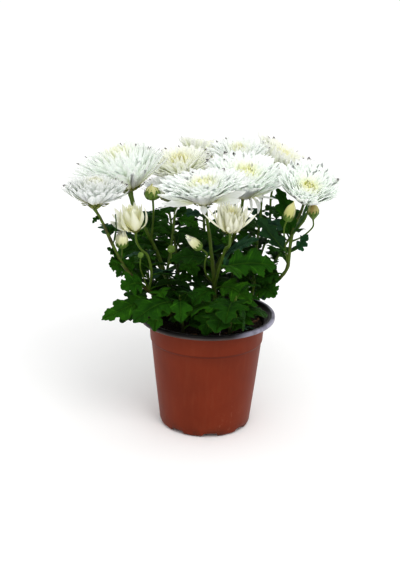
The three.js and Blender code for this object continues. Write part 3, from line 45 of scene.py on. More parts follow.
# ============================================================ where everything grows (mm)
# stems: points along the middle from the foot, radii, the point on the cutting that a side stem grows from
# a leaf: base, bend and tip of the midrib, half width, roll, fold, share taken by the petiole
STEMS = {
    "stem_far_left": dict(
        points=[[-27.0, -10.0, 100.8], [-33.9, -13.3, 112.7], [-41.1, -16.8, 124.4], [-49.7, -21.2, 134.8], [-59.2, -26.3, 144.0], [-67.7, -31.7, 154.0], [-75.3, -37.3, 164.6], [-80.9, -42.8, 176.4], [-85.7, -47.7, 188.8], [-90.5, -51.7, 201.5], [-95.4, -55.3, 214.3], [-101.7, -58.0, 226.6]],
        radii=[2.15, 1.22], root=None, seed=1, rough=0.95,
        leaves=[[[-33.6, -13.1, 112.2], [-18.0, -35.4, 115.8], [-19.4, -36.3, 114.4], 10, 10, 8, 0.14],
                [[-97.0, -56.2, 218.1], [-100.2, -58.0, 220.2], [-103.7, -58.5, 213.7], 3.4, -20, 10, 0.1],
                [[-86.7, -48.6, 191.4], [-81.8, -50.6, 203.8], [-84.1, -50.6, 220.5], 5, 30, 10, 0.1],
                [[-81.5, -43.4, 177.9], [-87.0, -44.4, 183.8], [-92.1, -44.4, 186.9], 5, -30, 10, 0.1],
                [[-78.7, -40.5, 171.3], [-83.8, -44.3, 177.3], [-88.7, -46.3, 176.5], 5.5, -35, 10, 0.1],
                [[-39.8, -16.1, 122.6], [-40.3, -1.2, 136.4], [-40.8, 16.1, 127.3], 11.5, -19.4, 9.5, 0.18],
                [[-49.4, -21.1, 134.4], [-45.0, -34.7, 149.4], [-40.2, -49.7, 141.6], 8.9, 12.2, 13.7, 0.18],
                [[-62.1, -28.1, 147.3], [-66.9, -13.6, 161.3], [-72.4, 3.1, 151.2], 12.3, 24.3, 5.3, 0.18],
                [[-88.4, -50.0, 196.0], [-92.5, -41.0, 209.1], [-96.7, -31.8, 204.5], 6.8, -5.5, 12.5, 0.18],
                [[-55.1, -24.1, 140.0], [-37.2, -23.0, 153.8], [-15.6, -21.8, 140.6], 14.0, -26.1, 12.4, 0.18],
                [[-90.3, -51.5, 201.0], [-85.8, -43.2, 207.7], [-80.3, -32.9, 200.5], 7.1, 12.4, 13.9, 0.18],
                [[-42.6, -17.5, 126.4], [-58.5, -29.8, 134.3], [-79.7, -46.1, 115.8], 16.0, -5.1, 8.9, 0.18],
                [[-46.5, -19.5, 131.1], [-58.3, -11.5, 150.1], [-70.3, -3.4, 143.7], 10.5, 14.5, 10.2, 0.18],
                [[-66.6, -31.0, 152.7], [-74.3, -20.9, 158.8], [-84.2, -7.8, 147.7], 8.2, 12.0, 13.1, 0.18]],
        tints=[0.5, 0.16, 0.32, 0.18, 0.29, 0.06, 0.44, 0.27, 0.96, 0.31, 0.16, 0.08, 0.05, 0.14]),
    "stem_left": dict(
        points=[[-17.0, 18.0, 100.8], [-25.0, 17.3, 112.4], [-32.6, 16.4, 124.2], [-38.3, 14.4, 137.0], [-42.9, 11.9, 150.1], [-47.3, 9.2, 163.2], [-52.5, 6.8, 176.1], [-58.3, 4.3, 188.7], [-64.4, 2.9, 201.3], [-70.1, 3.1, 214.2], [-73.1, 2.0, 227.9]],
        radii=[2.24, 1.35], root=None, seed=2, rough=0.6,
        leaves=[[[-31.5, 16.6, 122.3], [-39.5, 6.0, 128.9], [-49.8, -7.8, 118.0], 8.6, 6.9, 10.6, 0.18],
                [[-38.2, 14.5, 136.7], [-30.4, 6.1, 146.0], [-21.2, -4.0, 138.3], 8.5, -9.4, 5.6, 0.18],
                [[-43.4, 11.6, 151.5], [-53.4, 20.6, 162.7], [-65.3, 31.2, 153.8], 9.2, 20.4, 11.3, 0.18],
                [[-48.5, 8.6, 166.4], [-52.9, 5.3, 171.1], [-58.1, 1.5, 167.6], 4.1, -3.4, 8.7, 0.18],
                [[-54.6, 5.8, 180.9], [-50.3, 13.3, 187.3], [-44.9, 22.3, 181.2], 6.3, -9.5, 5.6, 0.18],
                [[-50.1, 7.8, 170.6], [-62.3, 1.4, 183.5], [-76.2, -5.9, 174.6], 11.0, -22.6, 11.7, 0.18],
                [[-57.8, 4.5, 187.5], [-54.4, 15.9, 202.6], [-50.9, 27.6, 196.9], 9.5, 4.4, 6.1, 0.18],
                [[-36.4, 15.2, 132.2], [-25.6, 14.9, 144.9], [-14.1, 14.5, 139.3], 7.2, 24.5, 13.6, 0.18],
                [[-46.0, 10.0, 159.6], [-58.7, 1.6, 171.9], [-73.8, -8.3, 161.1], 10.6, -9.3, 7.5, 0.18],
                [[-63.4, 3.0, 199.2], [-60.0, 11.0, 208.2], [-56.3, 20.0, 202.9], 6.9, -7.8, 13.5, 0.18],
                [[-28.7, 17.0, 117.9], [-35.9, 29.6, 133.0], [-44.0, 43.7, 124.3], 11.4, 23.6, 9.6, 0.18],
                [[-34.4, 15.9, 127.8], [-25.2, 10.9, 135.9], [-14.1, 4.9, 128.2], 7.3, -7.9, 9.4, 0.18]],
        tints=[0.19, 0.19, 0.1, 1.0, 0.45, 0.09, 0.06, 0.37, 0.37, 0.98, 0.09, 0.94]),
    "stem_front": dict(
        points=[[7.0, -17.0, 100.8], [7.1, -19.4, 113.0], [7.2, -21.7, 125.2], [7.0, -24.1, 137.5], [5.9, -26.3, 149.7], [4.6, -29.1, 161.7], [3.3, -32.7, 173.6], [1.9, -36.3, 185.4], [0.6, -39.1, 197.5], [-1.3, -43.5, 209.0], [-2.7, -49.9, 219.5], [-4.2, -52.9, 231.5]],
        radii=[2.32, 1.35], root=None, seed=3, rough=0.74,
        leaves=[[[3.5, -32.3, 172.2], [-16.6, -39.8, 184.5], [-35.1, -37.8, 173.9], 10, -30, 8, 0.14],
                [[7.2, -21.9, 126.0], [16.5, -17.0, 139.0], [26.3, -11.9, 134.2], 8.1, -18.4, 10.4, 0.18],
                [[-2.3, -48.1, 216.1], [-7.3, -46.2, 221.4], [-12.9, -44.2, 218.3], 4.2, 6.9, 9.8, 0.18],
                [[4.3, -29.8, 164.2], [-2.1, -18.2, 172.1], [-10.3, -3.6, 161.2], 9.8, 18.2, 7.1, 0.18],
                [[5.9, -26.2, 149.2], [4.2, -17.3, 158.2], [2.3, -7.3, 152.6], 6.5, 9.7, 12.9, 0.18]],
        tints=[0.06, 0.46, 0.06, 0.26, 0.3]),
    "stem_centre_right": dict(
        points=[[8.0, 27.0, 100.8], [7.4, 28.1, 113.9], [6.7, 29.2, 127.0], [7.2, 29.9, 140.1], [10.9, 30.1, 152.7], [17.2, 29.9, 164.2], [22.7, 27.8, 175.9], [26.0, 22.6, 187.6], [28.3, 16.1, 198.8], [30.1, 10.3, 210.4], [30.9, 6.2, 222.9]],
        radii=[2.24, 1.35], root=None, seed=4, rough=0.26,
        leaves=[[[6.7, 29.2, 126.7], [16.6, 33.0, 131.2], [29.7, 38.1, 122.0], 7.5, -14.0, 12.8, 0.18],
                [[7.7, 30.0, 142.6], [3.6, 38.9, 147.0], [-1.8, 50.6, 138.7], 6.3, 20.4, 11.2, 0.18],
                [[13.3, 30.2, 157.5], [6.6, 20.4, 169.8], [-1.0, 9.5, 163.2], 8.8, 24.8, 12.7, 0.18],
                [[20.8, 28.9, 171.5], [23.2, 35.7, 177.0], [26.0, 44.0, 172.0], 4.9, -19.2, 13.4, 0.18],
                [[25.5, 23.5, 185.8], [18.7, 18.5, 193.1], [10.6, 12.5, 187.7], 5.6, -8.3, 7.6, 0.18],
                [[28.4, 15.8, 199.4], [37.1, 14.9, 203.4], [48.3, 13.8, 196.1], 5.6, 4.6, 7.9, 0.18],
                [[18.6, 29.6, 167.0], [4.9, 30.9, 183.8], [-9.5, 32.3, 176.7], 10.0, -27.0, 5.8, 0.18],
                [[11.1, 30.1, 153.1], [2.4, 44.9, 170.8], [-7.4, 61.5, 160.4], 13.9, -18.7, 5.0, 0.18],
                [[24.4, 25.7, 181.4], [31.5, 37.3, 194.5], [39.6, 50.7, 185.8], 10.2, -25.5, 7.0, 0.18],
                [[27.1, 20.0, 192.2], [35.9, 26.5, 197.0], [47.6, 35.1, 187.1], 7.6, 19.3, 6.9, 0.18],
                [[6.7, 29.5, 131.6], [-3.3, 39.4, 148.3], [-13.9, 49.8, 141.0], 10.7, 23.6, 11.5, 0.18]],
        tints=[0.05, 0.31, 0.38, 0.21, 0.19, 0.14, 0.1, 0.98, 0.24, 0.13, 0.43]),
    "stem_right": dict(
        points=[[32.0, 2.0, 100.8], [36.2, -0.6, 113.1], [41.3, -3.5, 125.1], [49.4, -7.2, 134.8], [58.8, -11.3, 143.3], [67.4, -15.3, 152.6], [73.4, -19.0, 163.7], [74.3, -21.4, 176.8], [75.2, -22.8, 190.0], [77.6, -18.3, 201.5], [81.5, -6.4, 206.0], [85.7, 1.3, 213.6], [87.2, -6.4, 224.4]],
        radii=[2.15, 1.26], root=None, seed=5, rough=0.8,
        leaves=[[[74.5, -21.9, 180.1], [84.1, -22.0, 182.1], [90.6, -24.0, 197.7], 8, 30, 8, 0.3],
                [[75.3, -22.6, 191.0], [71.1, -8.0, 223.8], [61.7, 4.0, 233.8], 8, -20, 8, 0.1],
                [[41.0, -3.3, 124.6], [33.2, 6.1, 131.8], [23.4, 18.1, 122.3], 8.2, -9.8, 12.1, 0.18],
                [[69.9, -16.7, 156.4], [59.1, -21.3, 161.9], [45.1, -27.2, 151.6], 9.2, -28.0, 7.7, 0.18],
                [[73.9, -19.6, 166.1], [67.8, -10.8, 180.7], [61.7, -2.1, 176.0], 8.2, 27.0, 5.6, 0.18],
                [[48.6, -6.8, 133.9], [38.1, -1.8, 139.0], [24.4, 4.9, 128.5], 8.7, -0.3, 11.7, 0.18],
                [[67.3, -15.2, 152.4], [55.2, -16.3, 168.4], [42.8, -17.3, 162.8], 8.9, 27.9, 6.9, 0.18],
                [[76.3, -21.1, 196.8], [79.4, -10.9, 201.6], [83.5, 2.5, 192.0], 8.5, -7.4, 7.6, 0.18],
                [[51.8, -8.3, 137.1], [58.6, -1.7, 149.4], [65.5, 5.1, 145.0], 6.5, -3.9, 6.1, 0.18],
                [[74.2, -21.1, 175.0], [76.7, -10.0, 183.5], [79.7, 3.4, 175.0], 8.9, -13.9, 13.6, 0.18],
                [[81.0, -7.7, 205.4], [72.2, -5.6, 214.0], [62.1, -3.2, 208.2], 7.2, -16.7, 13.0, 0.18]],
        tints=[0.91, 0.22, 0.11, 0.06, 0.33, 0.36, 0.26, 0.17, 0.9, 0.25, 0.33]),
    "stem_half_open_left": dict(
        points=[[-54.0, -25.6, 145.1], [-52.5, -28.0, 153.5], [-52.4, -30.5, 161.9], [-53.8, -32.8, 170.3], [-56.2, -35.1, 178.5], [-61.8, -37.9, 184.4], [-65.6, -39.6, 191.8], [-66.5, -40.0, 200.5]],
        radii=[1.38, 1.03], root=[-54.9, -24.1, 140.0], seed=6, rough=0.22,
        leaves=[[[-52.4, -30.5, 161.9], [-65.5, -20.9, 173.8], [-81.4, -9.2, 161.6], 11.8, 0.7, 12.7, 0.18],
                [[-65.6, -39.6, 191.6], [-69.0, -27.9, 197.1], [-73.5, -12.6, 186.2], 8.4, 0.6, 13.0, 0.18],
                [[-55.7, -34.7, 177.4], [-65.5, -32.6, 181.8], [-78.3, -29.9, 172.8], 6.7, 1.0, 6.5, 0.18],
                [[-54.2, -33.3, 172.1], [-55.5, -22.8, 178.1], [-57.3, -9.5, 169.2], 7.9, -19.9, 14.0, 0.18],
                [[-52.3, -29.0, 156.6], [-42.6, -25.9, 160.8], [-29.8, -21.9, 151.5], 6.8, -20.0, 6.6, 0.18],
                [[-53.0, -31.8, 166.6], [-47.0, -26.2, 170.2], [-39.2, -19.0, 162.9], 5.6, -22.5, 6.9, 0.18]],
        tints=[0.51, 0.26, 0.95, 0.06, 0.26, 0.2]),
    "stem_back_left": dict(
        points=[[-39.2, 16.7, 145.7], [-37.5, 24.3, 156.7], [-35.9, 31.6, 168.0], [-34.5, 37.6, 180.0], [-33.3, 42.5, 192.6], [-31.0, 48.8, 204.2], [-26.1, 58.2, 211.7], [-27.4, 55.4, 224.6]],
        radii=[1.38, 1.17], root=[-39.9, 13.7, 141.1], seed=7, rough=0.5,
        leaves=[[[-38.0, 22.4, 153.8], [-27.8, 26.7, 165.1], [-16.5, 31.4, 158.9], 7.0, -8.8, 10.9, 0.18],
                [[-36.0, 31.1, 167.1], [-48.7, 30.4, 176.6], [-64.1, 29.6, 167.7], 9.7, 15.7, 5.7, 0.18],
                [[-34.3, 38.2, 181.3], [-27.7, 38.3, 184.5], [-19.1, 38.5, 179.0], 4.6, 11.5, 9.4, 0.18],
                [[-32.8, 44.1, 196.1], [-36.6, 48.4, 199.6], [-41.4, 53.8, 195.2], 4.1, -16.6, 6.8, 0.18],
                [[-33.8, 40.8, 188.5], [-23.5, 38.5, 194.3], [-10.4, 35.4, 185.4], 8.1, 25.5, 12.0, 0.18],
                [[-36.8, 27.8, 161.9], [-44.9, 40.3, 176.2], [-54.2, 54.4, 166.7], 10.4, -2.2, 13.3, 0.18],
                [[-34.9, 36.0, 176.4], [-22.3, 29.7, 185.6], [-6.6, 21.9, 174.5], 9.9, 29.4, 10.0, 0.18],
                [[-32.1, 46.1, 200.3], [-39.1, 39.0, 205.8], [-48.1, 30.0, 197.4], 6.7, -7.0, 7.0, 0.18]],
        tints=[0.42, 0.08, 0.29, 0.17, 0.42, 0.25, 0.04, 0.14]),
    "stem_rear_left": dict(
        points=[[-38.9, 19.2, 135.0], [-46.5, 28.3, 145.7], [-54.6, 37.7, 155.7], [-64.9, 48.0, 162.1], [-75.9, 58.6, 166.4], [-79.7, 69.1, 176.8], [-76.1, 76.3, 190.5], [-79.8, 79.9, 205.4]],
        radii=[1.38, 1.12], root=[-35.7, 15.5, 130.7], seed=8, rough=0.14,
        leaves=[[[-43.6, 24.9, 141.8], [-58.8, 19.4, 154.4], [-76.9, 12.8, 143.5], 11.9, -13.6, 5.9, 0.18],
                [[-51.4, 34.1, 152.3], [-56.2, 26.5, 155.8], [-62.7, 16.5, 147.9], 6.2, -7.6, 13.8, 0.18],
                [[-61.0, 44.1, 160.0], [-53.8, 48.4, 166.7], [-45.3, 53.5, 161.0], 6.5, 13.2, 8.3, 0.18],
                [[-72.3, 54.6, 164.4], [-81.9, 57.6, 175.4], [-92.5, 60.8, 170.1], 7.1, 7.5, 12.8, 0.18],
                [[-79.2, 65.7, 172.8], [-70.6, 68.4, 176.7], [-59.1, 71.9, 168.9], 6.4, 24.7, 5.9, 0.18],
                [[-77.1, 74.2, 185.8], [-75.7, 79.8, 188.7], [-73.9, 86.9, 184.0], 3.7, -5.4, 8.0, 0.18],
                [[-55.8, 39.0, 156.7], [-69.8, 32.1, 168.7], [-86.7, 23.8, 157.3], 11.5, -25.2, 11.8, 0.18],
                [[-68.0, 50.8, 163.2], [-56.8, 52.7, 177.5], [-45.0, 54.6, 171.9], 8.0, 19.8, 9.3, 0.18],
                [[-75.8, 58.5, 166.3], [-65.3, 59.4, 173.1], [-52.1, 60.5, 164.7], 7.6, 26.4, 8.8, 0.18],
                [[-64.3, 47.4, 161.8], [-53.5, 37.0, 169.6], [-39.6, 23.6, 156.7], 11.8, 12.6, 9.4, 0.18],
                [[-79.7, 69.9, 178.0], [-72.0, 59.8, 191.4], [-63.5, 48.6, 183.9], 8.9, 14.8, 6.9, 0.18],
                [[-48.3, 30.4, 148.2], [-43.9, 41.2, 161.7], [-39.3, 52.9, 155.3], 8.4, -13.8, 7.1, 0.18],
                [[-78.2, 62.6, 169.7], [-63.3, 64.1, 181.7], [-45.6, 65.9, 170.9], 10.3, 8.8, 5.7, 0.18]],
        tints=[0.12, 0.3, 0.24, 0.96, 0.42, 0.05, 0.25, 0.51, 0.19, 0.21, 0.27, 0.17, 0.5]),
    "stem_half_open_front": dict(
        points=[[7.5, -31.2, 154.1], [9.1, -38.1, 164.0], [10.9, -45.1, 173.9], [12.7, -51.7, 183.9], [14.5, -59.2, 193.3], [16.3, -70.0, 198.2], [17.7, -80.3, 203.0], [18.0, -81.9, 215.0]],
        radii=[1.5, 1.22], root=[6.1, -25.5, 145.9], seed=9, rough=0.58,
        leaves=[[[10.6, -44.0, 172.2], [18.4, -53.4, 178.3], [28.6, -65.7, 167.5], 9.4, -15.9, 5.4, 0.18],
                [[9.4, -39.3, 165.7], [20.9, -29.9, 173.2], [35.6, -17.8, 160.4], 10.5, 27.9, 12.8, 0.18],
                [[16.9, -74.8, 199.9], [15.1, -68.6, 208.3], [13.1, -62.3, 205.2], 4.5, -19.1, 11.8, 0.18]],
        tints=[0.47, 0.92, 0.5]),
    "stem_back": dict(
        points=[[6.9, 34.6, 146.3], [2.5, 50.4, 153.0], [-1.7, 66.0, 160.2], [-4.3, 80.6, 169.9], [-5.2, 93.7, 181.7], [-7.5, 103.1, 196.3], [-11.7, 107.6, 212.9], [-10.2, 111.9, 229.9]],
        radii=[1.38, 1.17], root=[8.1, 30.0, 144.2], seed=10, rough=0.67,
        leaves=[[[4.4, 43.6, 150.0], [-4.6, 33.4, 156.0], [-16.3, 20.1, 144.5], 10.3, 13.2, 8.1, 0.18],
                [[0.4, 57.8, 156.2], [5.1, 65.6, 161.4], [11.1, 75.5, 154.2], 6.7, -13.2, 7.9, 0.18],
                [[-2.8, 71.6, 163.5], [-13.5, 79.5, 173.3], [-26.4, 89.1, 164.0], 8.9, 1.3, 8.8, 0.18],
                [[-4.7, 84.4, 172.9], [5.8, 79.4, 180.2], [18.9, 73.2, 171.4], 7.8, 21.3, 9.7, 0.18],
                [[-5.5, 95.7, 184.2], [-3.1, 102.2, 189.7], [-0.3, 110.0, 185.0], 4.4, 2.8, 8.4, 0.18],
                [[-5.0, 92.6, 180.5], [-14.3, 90.2, 187.1], [-25.7, 87.3, 179.7], 7.0, -22.7, 8.6, 0.18],
                [[-1.1, 63.4, 158.8], [13.0, 71.6, 172.9], [29.4, 81.2, 161.8], 10.9, -9.7, 14.0, 0.18],
                [[2.6, 49.9, 152.7], [-11.6, 57.8, 161.8], [-29.6, 67.8, 148.2], 12.2, -9.6, 8.1, 0.18],
                [[-4.3, 80.1, 169.4], [-15.9, 76.1, 177.8], [-30.2, 71.1, 168.3], 9.9, 9.7, 5.9, 0.18],
                [[-3.6, 75.6, 166.2], [4.7, 85.1, 172.8], [15.2, 97.3, 162.0], 9.1, 22.7, 11.1, 0.18],
                [[-2.0, 67.3, 161.0], [-4.0, 51.9, 174.9], [-6.4, 34.0, 164.4], 12.0, 28.0, 13.6, 0.18],
                [[-4.8, 88.0, 176.0], [-17.8, 91.7, 180.9], [-35.3, 96.6, 168.2], 9.7, 27.1, 9.2, 0.18],
                [[-7.3, 102.7, 195.3], [-2.1, 91.5, 207.1], [3.9, 78.7, 199.1], 8.4, -25.7, 13.4, 0.18],
                [[-10.0, 105.8, 205.0], [-7.7, 114.0, 209.4], [-4.6, 124.5, 202.1], 5.8, 0.4, 6.7, 0.18]],
        tints=[0.22, 0.95, 0.37, 0.42, 0.19, 0.99, 0.37, 0.42, 0.23, 0.21, 0.18, 0.09, 0.39, 0.5]),
    "stem_rear_low": dict(
        points=[[4.4, 33.8, 129.9], [-3.1, 49.3, 132.1], [-10.7, 64.7, 134.7], [-19.1, 79.1, 139.7], [-28.4, 91.6, 147.3], [-35.4, 102.8, 158.5], [-39.3, 112.0, 172.7], [-41.9, 120.7, 187.5]],
        radii=[1.38, 1.12], root=[6.7, 29.3, 129.1], seed=11, rough=0.27,
        leaves=[[[0.1, 42.8, 131.1], [9.7, 47.4, 135.8], [22.2, 53.4, 126.8], 8.2, 20.6, 11.7, 0.18],
                [[-6.8, 57.0, 133.2], [-19.6, 64.0, 145.8], [-34.6, 72.1, 136.5], 10.0, 21.4, 9.2, 0.18],
                [[-14.1, 70.9, 136.5], [-11.3, 54.0, 143.5], [-7.7, 31.7, 128.8], 10.6, 9.9, 8.2, 0.18],
                [[-22.3, 83.5, 141.9], [-20.3, 96.6, 156.0], [-18.2, 111.2, 148.8], 9.7, -4.5, 5.0, 0.18],
                [[-30.4, 94.6, 149.9], [-38.8, 84.4, 158.2], [-49.4, 71.6, 148.2], 10.2, 10.6, 10.0, 0.18],
                [[-36.3, 104.6, 160.9], [-25.5, 104.7, 171.3], [-13.2, 104.8, 164.9], 7.8, -7.6, 6.9, 0.18],
                [[-39.7, 112.9, 174.2], [-44.5, 119.8, 180.7], [-50.3, 128.2, 174.9], 5.6, -4.1, 5.3, 0.18],
                [[-3.3, 49.9, 132.2], [7.4, 60.8, 151.1], [18.7, 72.1, 143.5], 10.6, 24.9, 8.5, 0.18],
                [[-37.6, 107.4, 165.2], [-50.1, 106.9, 180.6], [-63.1, 106.3, 174.3], 8.5, -29.4, 10.1, 0.18],
                [[-38.7, 110.3, 169.9], [-27.4, 113.8, 183.0], [-15.0, 117.6, 176.3], 8.8, 23.5, 10.9, 0.18],
                [[-32.7, 98.2, 153.4], [-42.1, 87.4, 170.8], [-51.9, 76.1, 163.6], 10.2, -28.5, 5.1, 0.18]],
        tints=[0.11, 0.32, 0.25, 0.38, 0.92, 0.32, 0.23, 0.99, 0.17, 0.07, 0.23]),
    "stem_back_centre": dict(
        points=[[8.8, 34.3, 139.5], [13.9, 45.8, 148.5], [18.3, 55.7, 159.5], [21.2, 62.6, 173.1], [23.5, 67.6, 187.5], [25.6, 70.8, 202.5], [27.2, 72.0, 217.8], [27.3, 70.1, 233.1]],
        radii=[1.38, 1.12], root=[6.8, 29.7, 135.7], seed=12, rough=0.65,
        leaves=[[[12.2, 41.9, 145.2], [18.4, 34.0, 153.4], [25.8, 24.6, 146.8], 7.7, -13.1, 6.2, 0.18],
                [[17.0, 52.8, 155.8], [22.6, 61.5, 165.6], [29.0, 71.5, 159.4], 6.7, 18.7, 9.9, 0.18],
                [[20.4, 60.8, 169.1], [13.2, 55.1, 180.2], [5.6, 49.0, 175.8], 6.8, 5.4, 6.8, 0.18],
                [[22.9, 66.5, 183.8], [25.8, 60.3, 191.1], [28.9, 53.4, 187.4], 4.5, 24.1, 6.6, 0.18],
                [[21.3, 62.7, 173.4], [35.7, 64.2, 181.0], [54.3, 66.2, 168.6], 11.6, 13.4, 7.6, 0.18],
                [[23.7, 67.9, 188.9], [13.8, 62.4, 199.4], [2.3, 56.0, 191.9], 8.2, 19.3, 9.9, 0.18],
                [[18.7, 56.8, 161.2], [32.1, 61.4, 175.9], [47.0, 66.5, 167.4], 10.5, -17.1, 11.7, 0.18],
                [[22.2, 64.8, 178.8], [34.2, 59.6, 189.8], [48.5, 53.5, 180.5], 8.9, -29.0, 9.5, 0.18]],
        tints=[0.51, 0.08, 0.1, 0.14, 0.39, 0.23, 0.93, 0.05]),
    "stem_rear_right": dict(
        points=[[47.7, -1.6, 133.5], [53.7, 10.4, 141.0], [60.1, 21.7, 149.2], [67.5, 31.2, 159.0], [75.4, 39.1, 169.6], [83.9, 46.2, 180.2], [93.3, 52.1, 190.9], [97.8, 53.9, 205.4]],
        radii=[1.38, 1.12], root=[45.7, -5.5, 130.9], seed=13, rough=0.67,
        leaves=[[[65.4, 28.7, 156.2], [65.6, 41.0, 164.5], [66.0, 56.2, 155.5], 9.6, -12.9, 12.1, 0.18],
                [[73.4, 37.3, 167.0], [67.4, 32.7, 176.2], [61.0, 27.9, 172.6], 4.7, 16.6, 7.4, 0.18],
                [[82.2, 44.9, 178.1], [85.2, 51.4, 185.8], [88.6, 58.7, 181.9], 4.7, -16.2, 5.1, 0.18],
                [[92.0, 51.4, 188.9], [85.7, 48.9, 193.8], [78.1, 46.0, 189.0], 5.1, -19.1, 5.4, 0.18],
                [[78.7, 42.0, 173.8], [70.3, 54.1, 189.4], [61.0, 67.6, 180.6], 10.4, -29.0, 11.2, 0.18],
                [[60.5, 22.3, 149.7], [58.1, 8.6, 163.5], [55.4, -6.8, 154.8], 10.5, 25.6, 10.2, 0.18],
                [[69.0, 32.8, 161.0], [64.6, 22.3, 175.0], [59.9, 11.3, 169.2], 9.1, -9.3, 8.3, 0.18],
                [[87.8, 48.9, 184.3], [84.0, 61.7, 200.9], [80.0, 75.1, 194.2], 8.6, 10.6, 6.4, 0.18],
                [[62.8, 25.4, 152.7], [66.9, 37.0, 161.6], [72.0, 51.0, 152.3], 8.1, -18.9, 12.6, 0.18],
                [[55.6, 14.0, 143.5], [58.2, 1.6, 160.4], [60.9, -10.9, 154.8], 8.9, 29.5, 13.6, 0.18]],
        tints=[0.2, 0.35, 0.27, 0.14, 0.23, 0.07, 0.18, 0.18, 0.47, 0.96]),
    "stem_back_right": dict(
        points=[[41.3, 1.9, 125.1], [43.4, 24.6, 127.9], [46.0, 47.0, 132.3], [51.0, 66.1, 143.7], [57.6, 80.5, 160.3], [61.5, 89.7, 181.0], [62.2, 95.8, 203.0], [67.8, 94.0, 225.2]],
        radii=[1.38, 1.17], root=[40.7, -3.2, 124.1], seed=14, rough=0.23,
        leaves=[[[42.1, 11.5, 126.2], [50.2, 27.0, 144.3], [59.3, 44.3, 134.6], 13.2, -6.7, 8.4, 0.18],
                [[43.6, 26.7, 128.2], [37.7, 42.2, 140.5], [30.6, 61.1, 128.8], 10.7, -21.1, 12.1, 0.18],
                [[45.2, 41.8, 130.7], [39.2, 30.0, 143.1], [32.5, 16.6, 135.2], 9.5, -17.9, 6.9, 0.18],
                [[47.9, 55.8, 136.5], [50.3, 66.1, 142.8], [53.2, 79.2, 134.6], 6.7, 3.3, 8.7, 0.18],
                [[51.6, 67.9, 145.2], [48.6, 56.4, 156.0], [45.1, 43.2, 148.8], 8.1, -23.0, 9.5, 0.18],
                [[56.2, 77.7, 156.2], [62.5, 69.4, 166.5], [69.6, 60.1, 160.6], 6.7, -17.8, 13.7, 0.18],
                [[59.7, 85.2, 169.2], [48.1, 88.5, 178.8], [34.3, 92.4, 170.7], 8.4, 4.7, 7.9, 0.18],
                [[61.7, 90.6, 183.5], [59.9, 83.0, 191.4], [57.8, 74.4, 187.0], 5.5, 0.7, 11.8, 0.18],
                [[61.8, 95.0, 198.2], [67.2, 99.8, 201.3], [74.2, 106.2, 195.2], 5.5, 13.1, 12.3, 0.18],
                [[58.0, 81.4, 161.8], [52.6, 68.7, 168.6], [45.7, 52.1, 156.5], 10.6, 13.0, 9.2, 0.18],
                [[61.2, 89.0, 178.8], [56.3, 76.3, 190.1], [50.4, 61.2, 180.4], 9.0, -11.8, 7.7, 0.18],
                [[61.8, 92.6, 189.2], [64.1, 84.2, 192.4], [67.1, 73.1, 184.3], 5.7, -21.0, 7.7, 0.18],
                [[49.4, 61.1, 139.9], [35.3, 56.8, 159.7], [21.1, 52.5, 153.2], 9.7, 6.0, 9.5, 0.18],
                [[44.4, 34.9, 129.3], [48.7, 23.6, 133.2], [54.6, 8.3, 121.6], 8.6, 12.8, 12.6, 0.18]],
        tints=[0.08, 0.15, 0.31, 0.12, 0.4, 0.46, 0.22, 0.89, 0.97, 0.14, 0.5, 0.17, 0.98, 0.94]),
    "stem_inner_right": dict(
        points=[[42.2, 0.4, 128.5], [43.4, 14.4, 136.2], [44.8, 27.5, 145.6], [46.3, 38.1, 157.5], [47.9, 46.5, 171.2], [49.5, 52.3, 186.1], [50.6, 56.3, 201.6], [51.7, 56.0, 217.6]],
        radii=[1.29, 1.08], root=[41.9, -3.8, 126.1], seed=15, rough=0.52,
        leaves=[[[43.1, 10.2, 133.7], [45.7, 3.7, 141.7], [48.4, -3.3, 138.2], 5.3, -1.0, 11.5, 0.18],
                [[44.5, 25.0, 143.5], [49.7, 35.5, 150.7], [56.2, 48.6, 141.7], 8.7, 16.2, 7.5, 0.18],
                [[46.1, 37.1, 156.2], [45.5, 26.9, 161.6], [44.6, 13.7, 153.3], 7.6, -10.4, 11.9, 0.18],
                [[47.9, 46.5, 171.3], [55.1, 50.7, 175.6], [64.4, 56.2, 168.9], 6.5, -5.7, 12.5, 0.18],
                [[49.6, 52.9, 187.8], [44.9, 62.9, 199.8], [39.7, 74.0, 194.0], 7.0, 3.5, 6.3, 0.18],
                [[47.3, 43.8, 166.2], [38.3, 33.6, 181.7], [28.7, 22.6, 174.2], 10.7, -26.1, 13.4, 0.18],
                [[49.0, 50.7, 181.3], [59.9, 47.5, 190.4], [73.0, 43.6, 182.3], 9.0, 23.5, 10.4, 0.18],
                [[50.3, 55.4, 196.5], [60.9, 61.1, 201.0], [75.1, 68.8, 189.8], 9.2, 13.2, 11.5, 0.18],
                [[45.4, 31.9, 150.0], [39.8, 46.6, 166.7], [33.7, 62.9, 157.5], 11.5, -4.2, 6.3, 0.18],
                [[43.5, 15.2, 136.7], [28.5, 6.4, 158.2], [12.7, -2.9, 149.5], 11.9, 19.7, 13.6, 0.18],
                [[48.4, 48.5, 175.7], [60.7, 46.4, 182.1], [76.7, 43.7, 171.3], 9.7, -28.4, 9.8, 0.18],
                [[44.1, 21.1, 140.6], [30.8, 23.6, 159.1], [17.5, 26.0, 153.2], 10.9, 9.0, 9.5, 0.18]],
        tints=[0.21, 0.43, 0.32, 1.0, 0.94, 0.35, 0.98, 0.06, 0.17, 0.39, 0.23, 0.22]),
}

